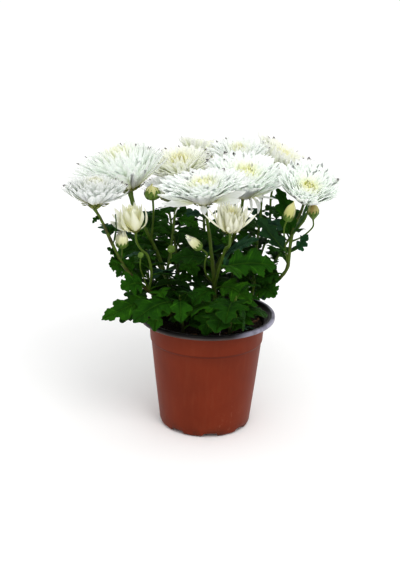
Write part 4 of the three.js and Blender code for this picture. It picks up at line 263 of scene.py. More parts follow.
# heads: radius over the petal tips, place and axis, how many petals and their half width
# each head's tone is painted light and shade: it makes the whole head brighter or darker
HEADS = {
    "flower_far_left": dict(kind="cup", radius=31, tall=1, base=[-101.73, -58.0, 227.21], axis=[0.0349, -0.0349, 0.9988], seed=21, petals=215, width=3.6, dark=0.22, core=0.55, outer=0.6, heart=0.88, crown=0.05, arch=-14, spread=0.985, painted_light=0.92, fore=[0.14, 0.06], stray=[[-12, 30, 17, 17, 9.5, 3.4], [-27, 27, 15, 15, 9, 3.2], [-48, 26, 14, 14, 9, 3.0]]),
    "flower_left": dict(kind="open", radius=42, tall=1, base=[-73.28, 2.0, 228.48], axis=[-0.225, -0.0698, 0.9719], seed=22, petals=320, width=3.75, dark=0.15, core=0.55, outer=0.6, heart=0.99, crown=0.12, arch=2, spread=1.1, painted_light=1.04, drift=[-8, 0], fore=[0.16, 0.04], involucre=1.25),
    "flower_back_left": dict(kind="open", radius=34, tall=1, base=[-27.51, 55.3, 225.17], axis=[-0.1045, -0.2079, 0.9725], seed=23, petals=210, width=3.3, dark=0.05, core=1.0, outer=0.62, heart=0.82, crown=0.08, painted_light=1.0, cream=1),
    "flower_front": dict(kind="open", radius=42, tall=1, base=[-4.31, -53.0, 232.06], axis=[-0.1219, -0.2419, 0.9626], seed=24, petals=330, width=3.9, dark=0.06, core=0.85, outer=0.5, heart=0.52, crown=0.08, arch=7, painted_light=1.02, broad=0.25, fore=[0.26, 0.12], aft=[0.14, 0.16], stray=[[-97, 10.5, -5, 9, 3, 3.3], [-167, 45, 5, 25, 6, 1.8], [-170, 28, -5, 24, 7, 1.6], [-175, 41, 16, 21, 6.5, 3.6, 0.8], [-160, 40, 12, 20, 4.5, 3.4, 0.8], [-9, 37, 12, 20, 4.5, 4.4, -0.9], [-24, 35, 8, 18, 3, 4.2, -0.8]]),
    "flower_centre_right": dict(kind="open", radius=40, tall=1, base=[30.94, 6.0, 223.43], axis=[0.0698, -0.3256, 0.9429], seed=25, petals=300, width=3.8, dark=0.05, core=0.85, outer=0.72, heart=0.78, crown=0.08, arch=3, painted_light=1.05, broad=0.35, fore=[0.22, 0.08], aft=[0.05, 0.04], stray=[[-18, 31.6, 7.8, 16, 6.5, 1.7, -0.3], [-28, 17, -12, 19, 4, 2.6, -0.4], [-40, 12.4, -11, 9, 2, 2.6], [-10, 19, -2, 15, 7, 2.2, -0.4]]),
    "flower_back_right": dict(kind="open", radius=30, tall=1, base=[67.99, 94.0, 225.79], axis=[0.2419, -0.0698, 0.9678], seed=26, petals=170, width=3.4, dark=0.12, core=1.0, outer=0.86, heart=0.8, crown=0.04, arch=-6, painted_light=1.0, cream=1, high=[0.26, 180]),
    "flower_right": dict(kind="open", radius=31.5, tall=1, base=[87.25, -6.66, 224.89], axis=[0.1392, -0.5, 0.8548], seed=27, petals=265, width=3.65, dark=0.11, core=1.0, outer=0.84, heart=0.68, crown=0.02, arch=-12, spread=0.97, painted_light=1.035, broad=0.2, fore=[0.14, 0.04]),
    "flower_back_centre": dict(kind="open", radius=32, tall=1, base=[27.32, 70.0, 233.7], axis=[0.0, -0.1392, 0.9903], seed=28, petals=200, width=3.3, dark=0.14, core=0.8, outer=0.7, heart=0.8, painted_light=1.0),
    "flower_half_open_left": dict(kind="half", radius=16, tall=1.62, base=[-66.55, -40.0, 201.14], axis=[-0.1564, -0.0698, 0.9852], seed=29, petals=28, width=4.6, dark=0.0, core=1.0, painted_light=0.95, bulge=14, cup=0.6, mouth=0.74, point=0.75, hollow=0.26, stray=[[-160, 21.5, 15.5, 11.5, 6.5, 3.3, 1.1], [-168, 18.5, 21, 10.5, 8, 3.3, 1.0], [-150, 20.5, 12.8, 11.5, 5, 3.0, 0.9], [175, 15.5, 24.5, 10, 10, 3.3, 0.9]]),
    "flower_half_open_front": dict(kind="half", radius=25, tall=0.88, base=[18.05, -82.0, 215.61], axis=[0.0349, -0.1736, 0.9842], seed=30, petals=72, width=3.3, dark=0.0, core=1.0, painted_light=0.84, bulge=24, cup=0.5, mouth=0.58, point=0.85, tip=0.9, rise=1.08, stray=[[-160, 25.5, 19.5, 14, 7, 1.7, 0.8], [-170, 21, 23, 11.5, 9, 1.6, 0.6], [-22, 22.5, 22.5, 12.5, 8, 2.0, -0.9], [-12, 18.5, 24.5, 11, 10, 1.7, -0.6], [-100, 17, 13, 11, 4, 2.4]]),
    "flower_back": dict(kind="open", radius=31, tall=1, base=[-10.07, 112.0, 230.47], axis=[0.1392, 0.2419, 0.9603], seed=31, petals=150, width=3.4, dark=0.08, core=0.7, outer=0.68, heart=0.66, spread=0.84, arch=2, involucre=1.35, painted_light=1.05, cream=1),
    "flower_rear_left": dict(kind="open", radius=33, tall=1, base=[-80.0, 80.0, 206.0], axis=[-0.2756, 0.2079, 0.9385], seed=32, petals=165, width=2.8, dark=0.15, core=0.5),
    "flower_rear_low": dict(kind="open", radius=30, tall=1, base=[-42.0, 121.0, 188.0], axis=[-0.1392, 0.5, 0.8548], seed=33, petals=145, width=2.8, dark=0.1, core=0.5, spread=0.97),
    "flower_rear_right": dict(kind="open", radius=27, tall=1, base=[98.0, 54.0, 206.0], axis=[0.2756, 0.1045, 0.9556], seed=34, petals=145, width=2.7, dark=0.12, core=0.5),
    "flower_inner_right": dict(kind="open", radius=25, tall=1, base=[51.78, 56.0, 218.24], axis=[0.0698, -0.0349, 0.997], seed=35, petals=135, width=2.6, dark=0.12, core=0.5),
}

# buds on their own stalks
BUDS = {
    "bud_opening_left": dict(kind="opening", length=16.5, radius=5.7, base=[-78.9, -40.0, 185.82], axis=[0.0, -0.1045, 0.9945], seed=51, brown=0.2,
        root=[-69.4, -32.2, 155.0], stalk=[[-74.23, -31.59, 161.19], [-77.14, -31.27, 164.98], [-79.59, -31.72, 169.14], [-80.03, -34.35, 173.08], [-79.15, -37.83, 176.35], [-78.9, -39.5, 181.09], [-78.9, -40.0, 185.82]], stalkRadius=0.9),
    "bud_opening_front": dict(kind="opening", length=16.5, radius=4.3, base=[-6.95, -50.0, 189.65], axis=[-0.7314, -0.1392, 0.6676], seed=52, brown=0.2,
        root=[5.7, -26.2, 149.3], stalk=[[2.65, -30.02, 153.9], [-0.57, -34.12, 158.82], [-2.89, -38.15, 164.31], [-3.43, -42.07, 170.43], [-3.12, -45.78, 176.8], [-1.76, -49.01, 184.91], [-6.95, -50.0, 189.65]], stalkRadius=0.9),
    "bud_right": dict(kind="tight", length=18.5, radius=5.1, base=[69.47, -38.0, 213.88], axis=[0.2924, -0.0698, 0.9538], seed=53, brown=0.52,
        root=[73.8, -19.5, 165.7], stalk=[[71.15, -21.85, 180.32], [70.15, -23.58, 186.26], [69.26, -26.64, 191.73], [68.46, -30.55, 196.7], [67.86, -34.61, 201.68], [67.66, -37.57, 207.96], [69.47, -38.0, 213.88]], stalkRadius=0.9),
    "bud_far_right": dict(kind="tight", length=16, radius=5.9, base=[96.48, -4.0, 206.4], axis=[-0.0523, 0.0, 0.9986], seed=54, brown=0.78, foot=0.8, sepals=0.6,
        root=[75.2, -22.8, 190.0], stalk=[[77.04, -20.1, 190.04], [80.48, -14.89, 189.79], [84.08, -9.77, 189.78], [88.36, -5.56, 191.29], [93.11, -4.23, 195.11], [96.8, -4.0, 200.2], [96.48, -4.0, 206.4]], stalkRadius=0.8),
    "bud_green_centre": dict(kind="green", length=7.5, radius=3.6, base=[-34.17, -30.0, 179.4], axis=[0.0, -0.0698, 0.9976], seed=55, brown=0.2,
        root=[-40.5, 13.3, 143.1], stalk=[[-40.13, 9.3, 145.69], [-39.4, 1.69, 150.68], [-38.62, -5.91, 155.69], [-37.64, -13.44, 160.77], [-36.15, -21.05, 165.58], [-34.44, -28.31, 170.81], [-34.17, -30.0, 179.4]], stalkRadius=0.8),
    # this bud's darker olive is partly its own colour and partly painted shade
    "bud_opening_back": dict(kind="opening", length=14.5, radius=6.9, base=[-52.65, -6.0, 222.66], axis=[-0.0698, -0.1045, 0.9921], seed=56, brown=0.55, sepals=1.02, closed=1,
        root=[-54.3, 5.9, 180.3], stalk=[[-53.65, 4.69, 187.24], [-53.08, 3.66, 192.96], [-52.6, 2.17, 198.76], [-52.24, -0.31, 204.38], [-51.99, -3.32, 209.91], [-52.25, -5.4, 216.96], [-52.65, -6.0, 222.66]], stalkRadius=1.1),
    "bud_green_left": dict(kind="green", length=5.5, radius=2.5, base=[-61.68, -44.0, 178.36], axis=[0.0698, -0.0698, 0.9951], seed=57, brown=0.2,
        root=[-54.9, -24.1, 140.0], stalk=[[-56.78, -27.42, 146.39], [-58.43, -30.2, 151.75], [-59.98, -33.08, 157.08], [-61.24, -36.27, 162.31], [-61.96, -40.32, 167.01], [-62.11, -43.57, 172.15], [-61.68, -44.0, 178.36]], stalkRadius=0.75),
}

# the larger leaves
LEAVES = {
    "leaf_front_left_low": dict(on="stem_far_left", shape=[[-48.6, -23.6, 132.0], [-64.8, -42.0, 136.7], [-97.0, -50.0, 119.3], 12.5, -30, 8, 0.16], seed=301, tint=0.4),
    "leaf_over_rim_left": dict(on="stem_far_left", shape=[[-40.8, -20.7, 126.6], [-45.4, -48.0, 149.9], [-48.1, -56.0, 111.5], 13, 0, 8, 0.14], seed=302, tint=0.42),
    "leaf_left_round": dict(on="stem_far_left", shape=[[-58.8, -30.0, 146.7], [-64.2, -38.0, 155.7], [-79.4, -48.0, 149.6], 12, -58, 10, 0.16], seed=303, tint=0.3),
    "leaf_left_middle": dict(on="stem_far_left", shape=[[-68.7, -29.6, 157.0], [-74.0, -28.0, 168.7], [-91.9, -26.0, 165.1], 12, -61, 10, 0.14], seed=304, tint=0.35),
    "leaf_centre_right_low": dict(on="stem_front", shape=[[9.0, -27.8, 145.3], [21.8, -42.0, 157.2], [40.0, -48.0, 137.8], 13, 34, 8, 0.14], seed=305, tint=0.52),
    "leaf_centre_left_low": dict(on="stem_front", shape=[[5.3, -28.6, 142.6], [-0.9, -46.0, 153.2], [-13.7, -52.0, 136.6], 10, -25, 8, 0.14], seed=306, tint=0.25),
    "leaf_centre_broad": dict(on="stem_half_open_front", shape=[[12.3, -39.4, 168.7], [34.1, -36.0, 176.7], [63.4, -24.0, 166.8], 16.5, 36, 8, 0.12], seed=307, tint=0.3),
    "leaf_right_low": dict(on="stem_right", shape=[[45.3, -7.0, 135.3], [50.7, -12.0, 149.8], [62.9, -30.0, 138.5], 15, 36, 8, 0.12], seed=308, tint=0.35),
    "leaf_inside_right": dict(on="stem_front", shape=[[10.6, -23.6, 125.5], [26.3, -34.0, 136.1], [47.1, -34.0, 121.8], 13, 20, 8, 0.16], seed=309, tint=0.25),
    "leaf_inside_front": dict(on="stem_front", shape=[[6.3, -25.5, 124.9], [3.1, -44.0, 140.0], [-1.6, -51.0, 106.3], 13, 0, 8, 0.14], seed=310, tint=0.3),
    "leaf_blue_left": dict(on="stem_left", shape=[[-38.5, 10.4, 140.7], [-39.4, -16.0, 165.7], [-52.3, -16.0, 148.7], 12, -10, 8, 0.14], seed=311, tint=0.97),
    "leaf_dark_right": dict(on="stem_right", shape=[[71.7, -23.4, 180.2], [60.1, -32.0, 194.2], [43.5, -30.0, 215.0], 10, 32, 6, 0.14], seed=312, tint=0.88),
    "leaf_upper_right": dict(on="stem_right", shape=[[77.1, -23.5, 199.1], [83.1, -42.0, 214.6], [87.2, -42.0, 230.9], 9, 40, 6, 0.12], seed=313, tint=0.25),
    "leaf_centre_back": dict(on="stem_centre_right", shape=[[14.1, 26.7, 158.1], [29.4, 2.0, 180.3], [46.9, -4.0, 185.5], 14, 40, 8, 0.12], seed=314, tint=0.96),
}

# leafy shoots that rise from the mix around the cuttings
SHOOTS = {
    "leafy_shoot_1": dict(points=[[-46.5, 14.7, 100.3], [-50.4, 16.0, 119.3], [-59.6, 18.9, 144.1]], radii=[1.7, 1.2], seed=31, rough=0.19,
        leaves=[[[-47.8, 15.1, 107.5], [-30.7, -1.0, 131.9], [-12.3, -18.4, 111.2], 15.5, 14.3, 12.7, 0.2],
                [[-49.5, 15.7, 115.6], [-48.2, 39.0, 134.5], [-46.7, 66.1, 112.3], 15.5, 19.6, 7.7, 0.2],
                [[-51.5, 16.3, 122.7], [-62.4, 1.5, 137.1], [-75.3, -15.9, 119.4], 12.9, 0.8, 9.1, 0.2],
                [[-54.0, 17.1, 129.6], [-43.4, 33.9, 141.7], [-31.3, 48.8, 124.9], 11.0, 12.1, 11.5, 0.2],
                [[-56.7, 17.9, 136.4], [-59.8, 41.0, 155.2], [-60.9, 68.4, 132.1], 17.9, -16.2, 5.2, 0.2]],
        tints=[0.22, 0.07, 0.21, 0.44, 0.94]),
    "leafy_shoot_2": dict(points=[[-8.7, 48.6, 100.3], [-9.0, 50.2, 116.1], [-9.7, 53.9, 137.0]], radii=[1.7, 1.2], seed=32, rough=0.57,
        leaves=[[[-8.8, 49.2, 106.2], [-6.8, 29.5, 124.1], [-4.5, 7.4, 106.0], 14.1, -17.8, 9.5, 0.2],
                [[-8.9, 49.8, 112.9], [6.9, 60.9, 132.4], [24.2, 73.0, 115.2], 13.2, -0.3, 11.1, 0.2],
                [[-9.1, 50.6, 118.7], [-25.9, 61.7, 131.8], [-46.7, 75.3, 111.5], 13.4, 7.2, 5.1, 0.2],
                [[-9.3, 51.6, 124.6], [3.7, 44.3, 132.5], [20.4, 35.0, 116.9], 10.1, 13.2, 6.0, 0.2],
                [[-9.5, 52.7, 130.4], [-25.8, 63.5, 142.5], [-46.1, 77.0, 122.6], 13.4, -10.9, 5.6, 0.2]],
        tints=[0.09, 0.34, 0.43, 0.48, 0.35]),
    "leafy_shoot_3": dict(points=[[20.3, 41.7, 100.3], [21.9, 44.8, 117.2], [25.4, 52.0, 139.4]], radii=[1.7, 1.2], seed=33, rough=0.29,
        leaves=[[[20.9, 42.7, 106.7], [16.4, 25.6, 123.3], [11.5, 6.6, 107.2], 12.0, -10.3, 13.3, 0.2],
                [[21.5, 44.0, 113.9], [39.9, 55.5, 137.3], [59.5, 67.6, 118.5], 14.3, -10.1, 9.6, 0.2],
                [[22.3, 45.6, 120.2], [19.9, 65.8, 136.6], [17.1, 89.5, 117.1], 13.2, 2.9, 8.2, 0.2],
                [[23.2, 47.6, 126.4], [21.6, 28.8, 143.7], [19.8, 7.7, 126.4], 12.4, 2.7, 6.3, 0.2],
                [[24.2, 49.7, 132.5], [21.2, 70.6, 144.7], [17.4, 97.0, 122.9], 13.9, 5.4, 9.1, 0.2],
                [[25.3, 51.7, 138.6], [15.3, 60.8, 164.8], [8.3, 67.2, 157.0], 9.2, 7.5, 13.6, 0.2]],
        tints=[0.5, 0.24, 0.94, 0.32, 0.4, 0.28]),
    "leafy_shoot_4": dict(points=[[38.7, -13.8, 100.3], [40.3, -14.4, 120.9], [43.8, -15.7, 147.6]], radii=[1.7, 1.2], seed=34, rough=0.58,
        leaves=[[[39.3, -14.0, 107.9], [21.9, -6.3, 123.2], [1.6, 2.8, 105.1], 13.7, -2.0, 12.9, 0.2],
                [[39.9, -14.2, 116.4], [32.8, -30.6, 129.2], [24.4, -50.3, 111.7], 12.8, -15.2, 9.2, 0.2],
                [[41.6, -14.9, 131.6], [35.2, -33.8, 148.9], [27.8, -55.5, 130.2], 13.2, -17.7, 10.6, 0.2],
                [[43.7, -15.6, 146.6], [39.0, -1.2, 173.4], [35.3, 9.8, 163.8], 10.7, 16.3, 9.6, 0.2]],
        tints=[0.13, 0.41, 0.2, 0.16]),
    "leafy_shoot_5": dict(points=[[20.1, -47.5, 100.3], [21.7, -51.2, 120.5], [25.4, -59.9, 146.9]], radii=[1.7, 1.2], seed=35, rough=0.31,
        leaves=[[[20.7, -48.8, 108.0], [29.8, -36.7, 117.9], [41.0, -21.9, 102.8], 11.4, 9.7, 10.2, 0.2],
                [[21.3, -50.3, 116.6], [14.5, -73.0, 145.9], [7.8, -95.5, 126.7], 17.5, -1.9, 6.3, 0.2],
                [[22.1, -52.2, 124.1], [37.6, -42.1, 138.2], [55.9, -30.2, 120.4], 13.6, 16.9, 5.6, 0.2],
                [[23.1, -54.5, 131.4], [2.5, -49.4, 143.9], [-23.6, -42.9, 122.0], 15.9, -5.0, 6.9, 0.2],
                [[24.2, -57.1, 138.7], [20.2, -77.5, 157.0], [15.7, -100.8, 137.7], 15.5, 2.1, 13.8, 0.2],
                [[25.3, -59.6, 146.0], [37.1, -55.8, 164.5], [47.6, -52.5, 155.4], 8.3, -13.5, 5.3, 0.2],
                [[23.3, -55.1, 133.0], [34.4, -64.0, 146.9], [32.9, -56.0, 114.0], 10.5, 0, 8, 0.16]],
        tints=[0.99, 0.15, 0.14, 0.5, 0.11, 0.18, 0.12]),
    "leafy_shoot_6": dict(points=[[-21.9, -36.3, 100.3], [-23.0, -38.1, 117.6], [-25.5, -42.2, 140.3]], radii=[1.7, 1.2], seed=36, rough=0.56,
        leaves=[[[-22.3, -36.9, 106.8], [-7.6, -32.4, 120.0], [9.2, -27.1, 105.6], 11.5, 14.8, 8.5, 0.2],
                [[-23.9, -39.6, 126.8], [-19.0, -22.0, 144.7], [-13.5, -2.6, 128.2], 14.0, 17.1, 7.1, 0.2],
                [[-24.7, -40.9, 133.2], [-43.4, -52.4, 146.2], [-66.9, -66.8, 123.7], 15.8, -16.0, 6.7, 0.2],
                [[-25.4, -42.1, 139.5], [-18.5, -53.0, 155.8], [-11.8, -63.7, 145.5], 8.7, -13.4, 10.2, 0.2],
                [[-24.4, -40.4, 131.0], [-25.3, -58.0, 153.8], [-23.8, -60.0, 121.9], 9.5, 0, 8, 0.16]],
        tints=[0.22, 0.08, 0.2, 0.12, 0.3]),
    "leafy_shoot_7": dict(points=[[-25.9, 33.9, 100.3], [-28.1, 36.8, 131.1], [-33.2, 43.5, 170.2]], radii=[1.7, 1.2], seed=37, rough=0.47,
        leaves=[[[-27.5, 36.0, 124.3], [-10.8, 20.1, 140.7], [9.5, -0.6, 117.7], 14.7, -8.2, 5.1, 0.2],
                [[-28.5, 37.4, 135.5], [-39.3, 58.1, 159.8], [-42.2, 86.8, 139.1], 14.8, -13.4, 10.5, 0.2],
                [[-29.9, 39.3, 146.7], [-21.5, 25.0, 160.1], [-11.7, 8.3, 144.2], 11.4, 13.0, 13.5, 0.2],
                [[-31.5, 41.3, 157.8], [-28.7, 61.5, 177.8], [-25.7, 83.6, 159.5], 15.4, 16.0, 7.1, 0.2],
                [[-33.0, 43.3, 168.8], [-45.5, 50.2, 189.6], [-56.6, 56.5, 179.1], 11.1, -9.3, 6.7, 0.2]],
        tints=[0.16, 0.09, 0.38, 0.14, 0.31]),
}


# ============================================================ small tools
def unit(v):
    n = np.linalg.norm(v, axis=-1, keepdims=True)
    return v / np.maximum(n, 1e-12)


def smooth(a, b, x):
    t = np.clip((x - a) / (b - a), 0, 1)
    return t * t * (3 - 2 * t)


def crom(points, n):
    """n points evenly along a centripetal Catmull-Rom curve, ends extended by reflection."""
    P = np.array(points, float)
    Q = np.vstack([2 * P[0] - P[1], P, 2 * P[-1] - P[-2]])
    out = []
    for i in range(1, len(Q) - 2):
        p0, p1, p2, p3 = Q[i - 1:i + 3]
        t = [0.0]
        for a, b in ((p0, p1), (p1, p2), (p2, p3)):
            t.append(t[-1] + max(1e-6, np.linalg.norm(b - a)) ** 0.5)
        for u in np.linspace(t[1], t[2], 16, endpoint=(i == len(Q) - 3)):
            A1 = (t[1] - u) / (t[1] - t[0]) * p0 + (u - t[0]) / (t[1] - t[0]) * p1
            A2 = (t[2] - u) / (t[2] - t[1]) * p1 + (u - t[1]) / (t[2] - t[1]) * p2
            A3 = (t[3] - u) / (t[3] - t[2]) * p2 + (u - t[2]) / (t[3] - t[2]) * p3
            B1 = (t[2] - u) / (t[2] - t[0]) * A1 + (u - t[0]) / (t[2] - t[0]) * A2
            B2 = (t[3] - u) / (t[3] - t[1]) * A2 + (u - t[1]) / (t[3] - t[1]) * A3
            out.append((t[2] - u) / (t[2] - t[1]) * B1 + (u - t[1]) / (t[2] - t[1]) * B2)
    C = np.array(out)
    s = np.r_[0, np.cumsum(np.linalg.norm(np.diff(C, axis=0), axis=1))]
    q = np.linspace(0, s[-1], n)
    return np.stack([np.interp(q, s, C[:, k]) for k in range(3)], -1)


def carried(P, up0):
    """tangents, ups and sides carried along points without twist"""
    T = np.gradient(P, axis=0)
    T = unit(T)
    up = np.array(up0, float)
    U, S = [], []
    for t in T:
        up = up - t * np.dot(up, t)
        up = up / max(np.linalg.norm(up), 1e-9)
        U.append(up)
        S.append(np.cross(t, up))
    return T, np.array(U), np.array(S)


def to_axis(n):
    """the rotation that turns +Z to n by the shortest way"""
    return np.array(Vector((0, 0, 1)).rotation_difference(Vector(n)).to_matrix())


class Solids:
    """Closed solids collected into one mesh, with values at each vertex."""

    def __init__(self, names):
        self.names = names
        self.v, self.quads, self.tris, self.qm, self.tm = [], [], [], [], []
        self.values = {k: [] for k in names}
        self.count = 0

    def add(self, verts, quads=(), tris=(), mat=0, **values):
        n = len(verts)
        self.v.append(np.asarray(verts, float))
        if len(quads):
            q = np.asarray(quads, np.int64) + self.count
            self.quads.append(q)
            self.qm.append(np.full(len(q), mat))
        if len(tris):
            t = np.asarray(tris, np.int64) + self.count
            self.tris.append(t)
            self.tm.append(np.full(len(t), mat))
        for k in self.names:
            x = values.get(k, 0.0)
            self.values[k].append(np.broadcast_to(np.asarray(x, float), (n,)).copy())
        self.count += n

    def build(self, name, materials, sharp=None):
        v = np.vstack(self.v) * MM
        q = np.vstack(self.quads) if self.quads else np.zeros((0, 4), np.int64)
        t = np.vstack(self.tris) if self.tris else np.zeros((0, 3), np.int64)
        me = bpy.data.meshes.new(name)
        me.vertices.add(len(v))
        me.vertices.foreach_set("co", v.astype(np.float32).ravel())
        me.loops.add(q.size + t.size)
        me.loops.foreach_set("vertex_index", np.r_[q.ravel(), t.ravel()].astype(np.int32))
        starts = np.r_[np.arange(len(q)) * 4, q.size + np.arange(len(t)) * 3].astype(np.int32)
        me.polygons.add(len(q) + len(t))
        me.polygons.foreach_set("loop_start", starts)
        mats = np.r_[np.concatenate(self.qm) if self.qm else [], np.concatenate(self.tm) if self.tm else []]
        me.polygons.foreach_set("material_index", mats.astype(np.int32))
        me.polygons.foreach_set("use_smooth", np.ones(len(q) + len(t), bool))
        me.update(calc_edges=True)
        me.validate()
        for k in self.names:
            a = me.attributes.new(k, "FLOAT", "POINT")
            a.data.foreach_set("value", np.concatenate(self.values[k]).astype(np.float32))
        if sharp:
            me.set_sharp_from_angle(angle=math.radians(sharp))
        for m in materials:
            me.materials.append(m)
        ob = bpy.data.objects.new(name, me)
        bpy.context.scene.collection.objects.link(ob)
        return ob


def rings_faces(rings, around, close_start=True, close_end=True):
    """quads between rings of a tube, and fans of triangles over its ends (two more vertices)"""
    i, j = np.meshgrid(np.arange(rings - 1), np.arange(around), indexing="ij")
    k = (j + 1) % around
    quads = np.stack([i * around + j, i * around + k, (i + 1) * around + k, (i + 1) * around + j], -1).reshape(-1, 4)
    tris, n = [], rings * around
    j = np.arange(around)
    if close_start:
        tris.append(np.stack([np.full(around, n), (j + 1) % around, j], -1))
        n += 1
    if close_end:
        o = (rings - 1) * around
        tris.append(np.stack([np.full(around, n), o + j, o + (j + 1) % around], -1))
    return quads, (np.vstack(tris) if tris else np.zeros((0, 3), np.int64))


def tube(S, P, R, around, up0=(0.31, 0.95, 0.05), mat=0, rib=0.0, ribs=5, **values):
    """a closed tube round points P with radii R; ribs stand out along it"""
    P, R = np.asarray(P, float), np.asarray(R, float)
    T, U, W = carried(P, up0)
    a = np.arange(around) * 2 * np.pi / around
    shape = 1 + rib * (np.cos(ribs * a) * 0.5 + 0.25 * np.cos(2 * ribs * a))
    ring = (U[:, None] * np.cos(a)[None, :, None] + W[:, None] * np.sin(a)[None, :, None]) * shape[None, :, None]
    V = P[:, None] + ring * R[:, None, None]
    n = len(P)
    quads, tris = rings_faces(n, around)
    verts = np.vstack([V.reshape(-1, 3), P[0] - T[0] * R[0] * 0.3, P[-1] + T[-1] * R[-1] * 0.3])
    full = {}
    for k, x in values.items():
        x = np.broadcast_to(np.asarray(x, float), (n,))
        full[k] = np.r_[np.repeat(x, around), x[0], x[-1]]
    full.setdefault("ang", np.r_[np.tile(a / (2 * np.pi), n), 0, 0])
    S.add(verts, quads, tris, mat, **{k: x for k, x in full.items() if k in S.names})


# ============================================================ node materials
class Nodes:
    """A short way to write a node tree."""

    def __init__(self, name):
        self.mat = bpy.data.materials.new(name)
        self.mat.use_nodes = True
        self.t = self.mat.node_tree
        self.bsdf = self.t.nodes["Principled BSDF"]

    def node(self, kind, **props):
        n = self.t.nodes.new(kind)
        for k, x in props.items():
            setattr(n, k, x)
        return n

    def put(self, socket, x):
        if hasattr(x, "links"):
            self.t.links.new(x, socket)
        elif isinstance(x, (tuple, list)) and len(x) == 3 and socket.type == "RGBA":
            socket.default_value = (*x, 1)
        else:
            socket.default_value = x

    def attr(self, name):
        return self.node("ShaderNodeAttribute", attribute_name=name).outputs["Fac"]

    def math(self, op, a, b=0.0, c=0.0, clamp=False):
        n = self.node("ShaderNodeMath", operation=op, use_clamp=clamp)
        for s, x in zip(n.inputs, (a, b, c)):
            self.put(s, x)
        return n.outputs[0]

    def mix(self, f, a, b, mode="MIX"):
        n = self.node("ShaderNodeMix", data_type="RGBA", blend_type=mode)
        self.put(n.inputs["Factor"], f)
        self.put(n.inputs[6], a)
        self.put(n.inputs[7], b)
        return n.outputs[2]

    def span(self, x, lo, hi, a=0.0, b=1.0, kind="SMOOTHSTEP"):
        n = self.node("ShaderNodeMapRange", interpolation_type=kind, clamp=True)
        for s, v in zip(n.inputs, (x, lo, hi, a, b)):
            self.put(s, v)
        return n.outputs[0]

    def ramp(self, x, stops, mode="LINEAR"):
        n = self.node("ShaderNodeValToRGB")
        n.color_ramp.interpolation = mode
        e = n.color_ramp.elements
        while len(e) < len(stops):
            e.new(0.5)
        for el, (p, c) in zip(e, stops):
            el.position = p
            el.color = (*c, 1) if len(c) == 3 else c
        self.put(n.inputs[0], x)
        return n.outputs[0]

    def place(self):
        return self.node("ShaderNodeTexCoord").outputs["Object"]

    def xyz(self, x, y, z):
        n = self.node("ShaderNodeCombineXYZ")
        for s, v in zip(n.inputs, (x, y, z)):
            self.put(s, v)
        return n.outputs[0]

    def split(self, v):
        n = self.node("ShaderNodeSeparateXYZ")
        self.put(n.inputs[0], v)
        return n.outputs

    def noise(self, at, scale, detail=3.0, rough=0.55, distortion=0.0):
        n = self.node("ShaderNodeTexNoise")
        self.put(n.inputs["Vector"], at)
        n.inputs["Scale"].default_value = scale
        n.inputs["Detail"].default_value = detail
        n.inputs["Roughness"].default_value = rough
        n.inputs["Distortion"].default_value = distortion
        return n.outputs["Fac"]

    def cells(self, at, scale, feature="F1", out="Distance"):
        n = self.node("ShaderNodeTexVoronoi", feature=feature)
        self.put(n.inputs["Vector"], at)
        n.inputs["Scale"].default_value = scale
        return n.outputs[out]

    def bump(self, height, strength, distance, after=None):
        n = self.node("ShaderNodeBump")
        n.inputs["Strength"].default_value = strength
        n.inputs["Distance"].default_value = distance
        self.put(n.inputs["Height"], height)
        if after is not None:
            self.put(n.inputs["Normal"], after)
        return n.outputs[0]

    def done(self, color, rough, normal=None, **sockets):
        self.put(self.bsdf.inputs["Base Color"], color)
        self.put(self.bsdf.inputs["Roughness"], rough)
        if normal is not None:
            self.put(self.bsdf.inputs["Normal"], normal)
        for k, x in sockets.items():
            self.bsdf.inputs[k.replace("_", " ")].default_value = x
        return self.mat


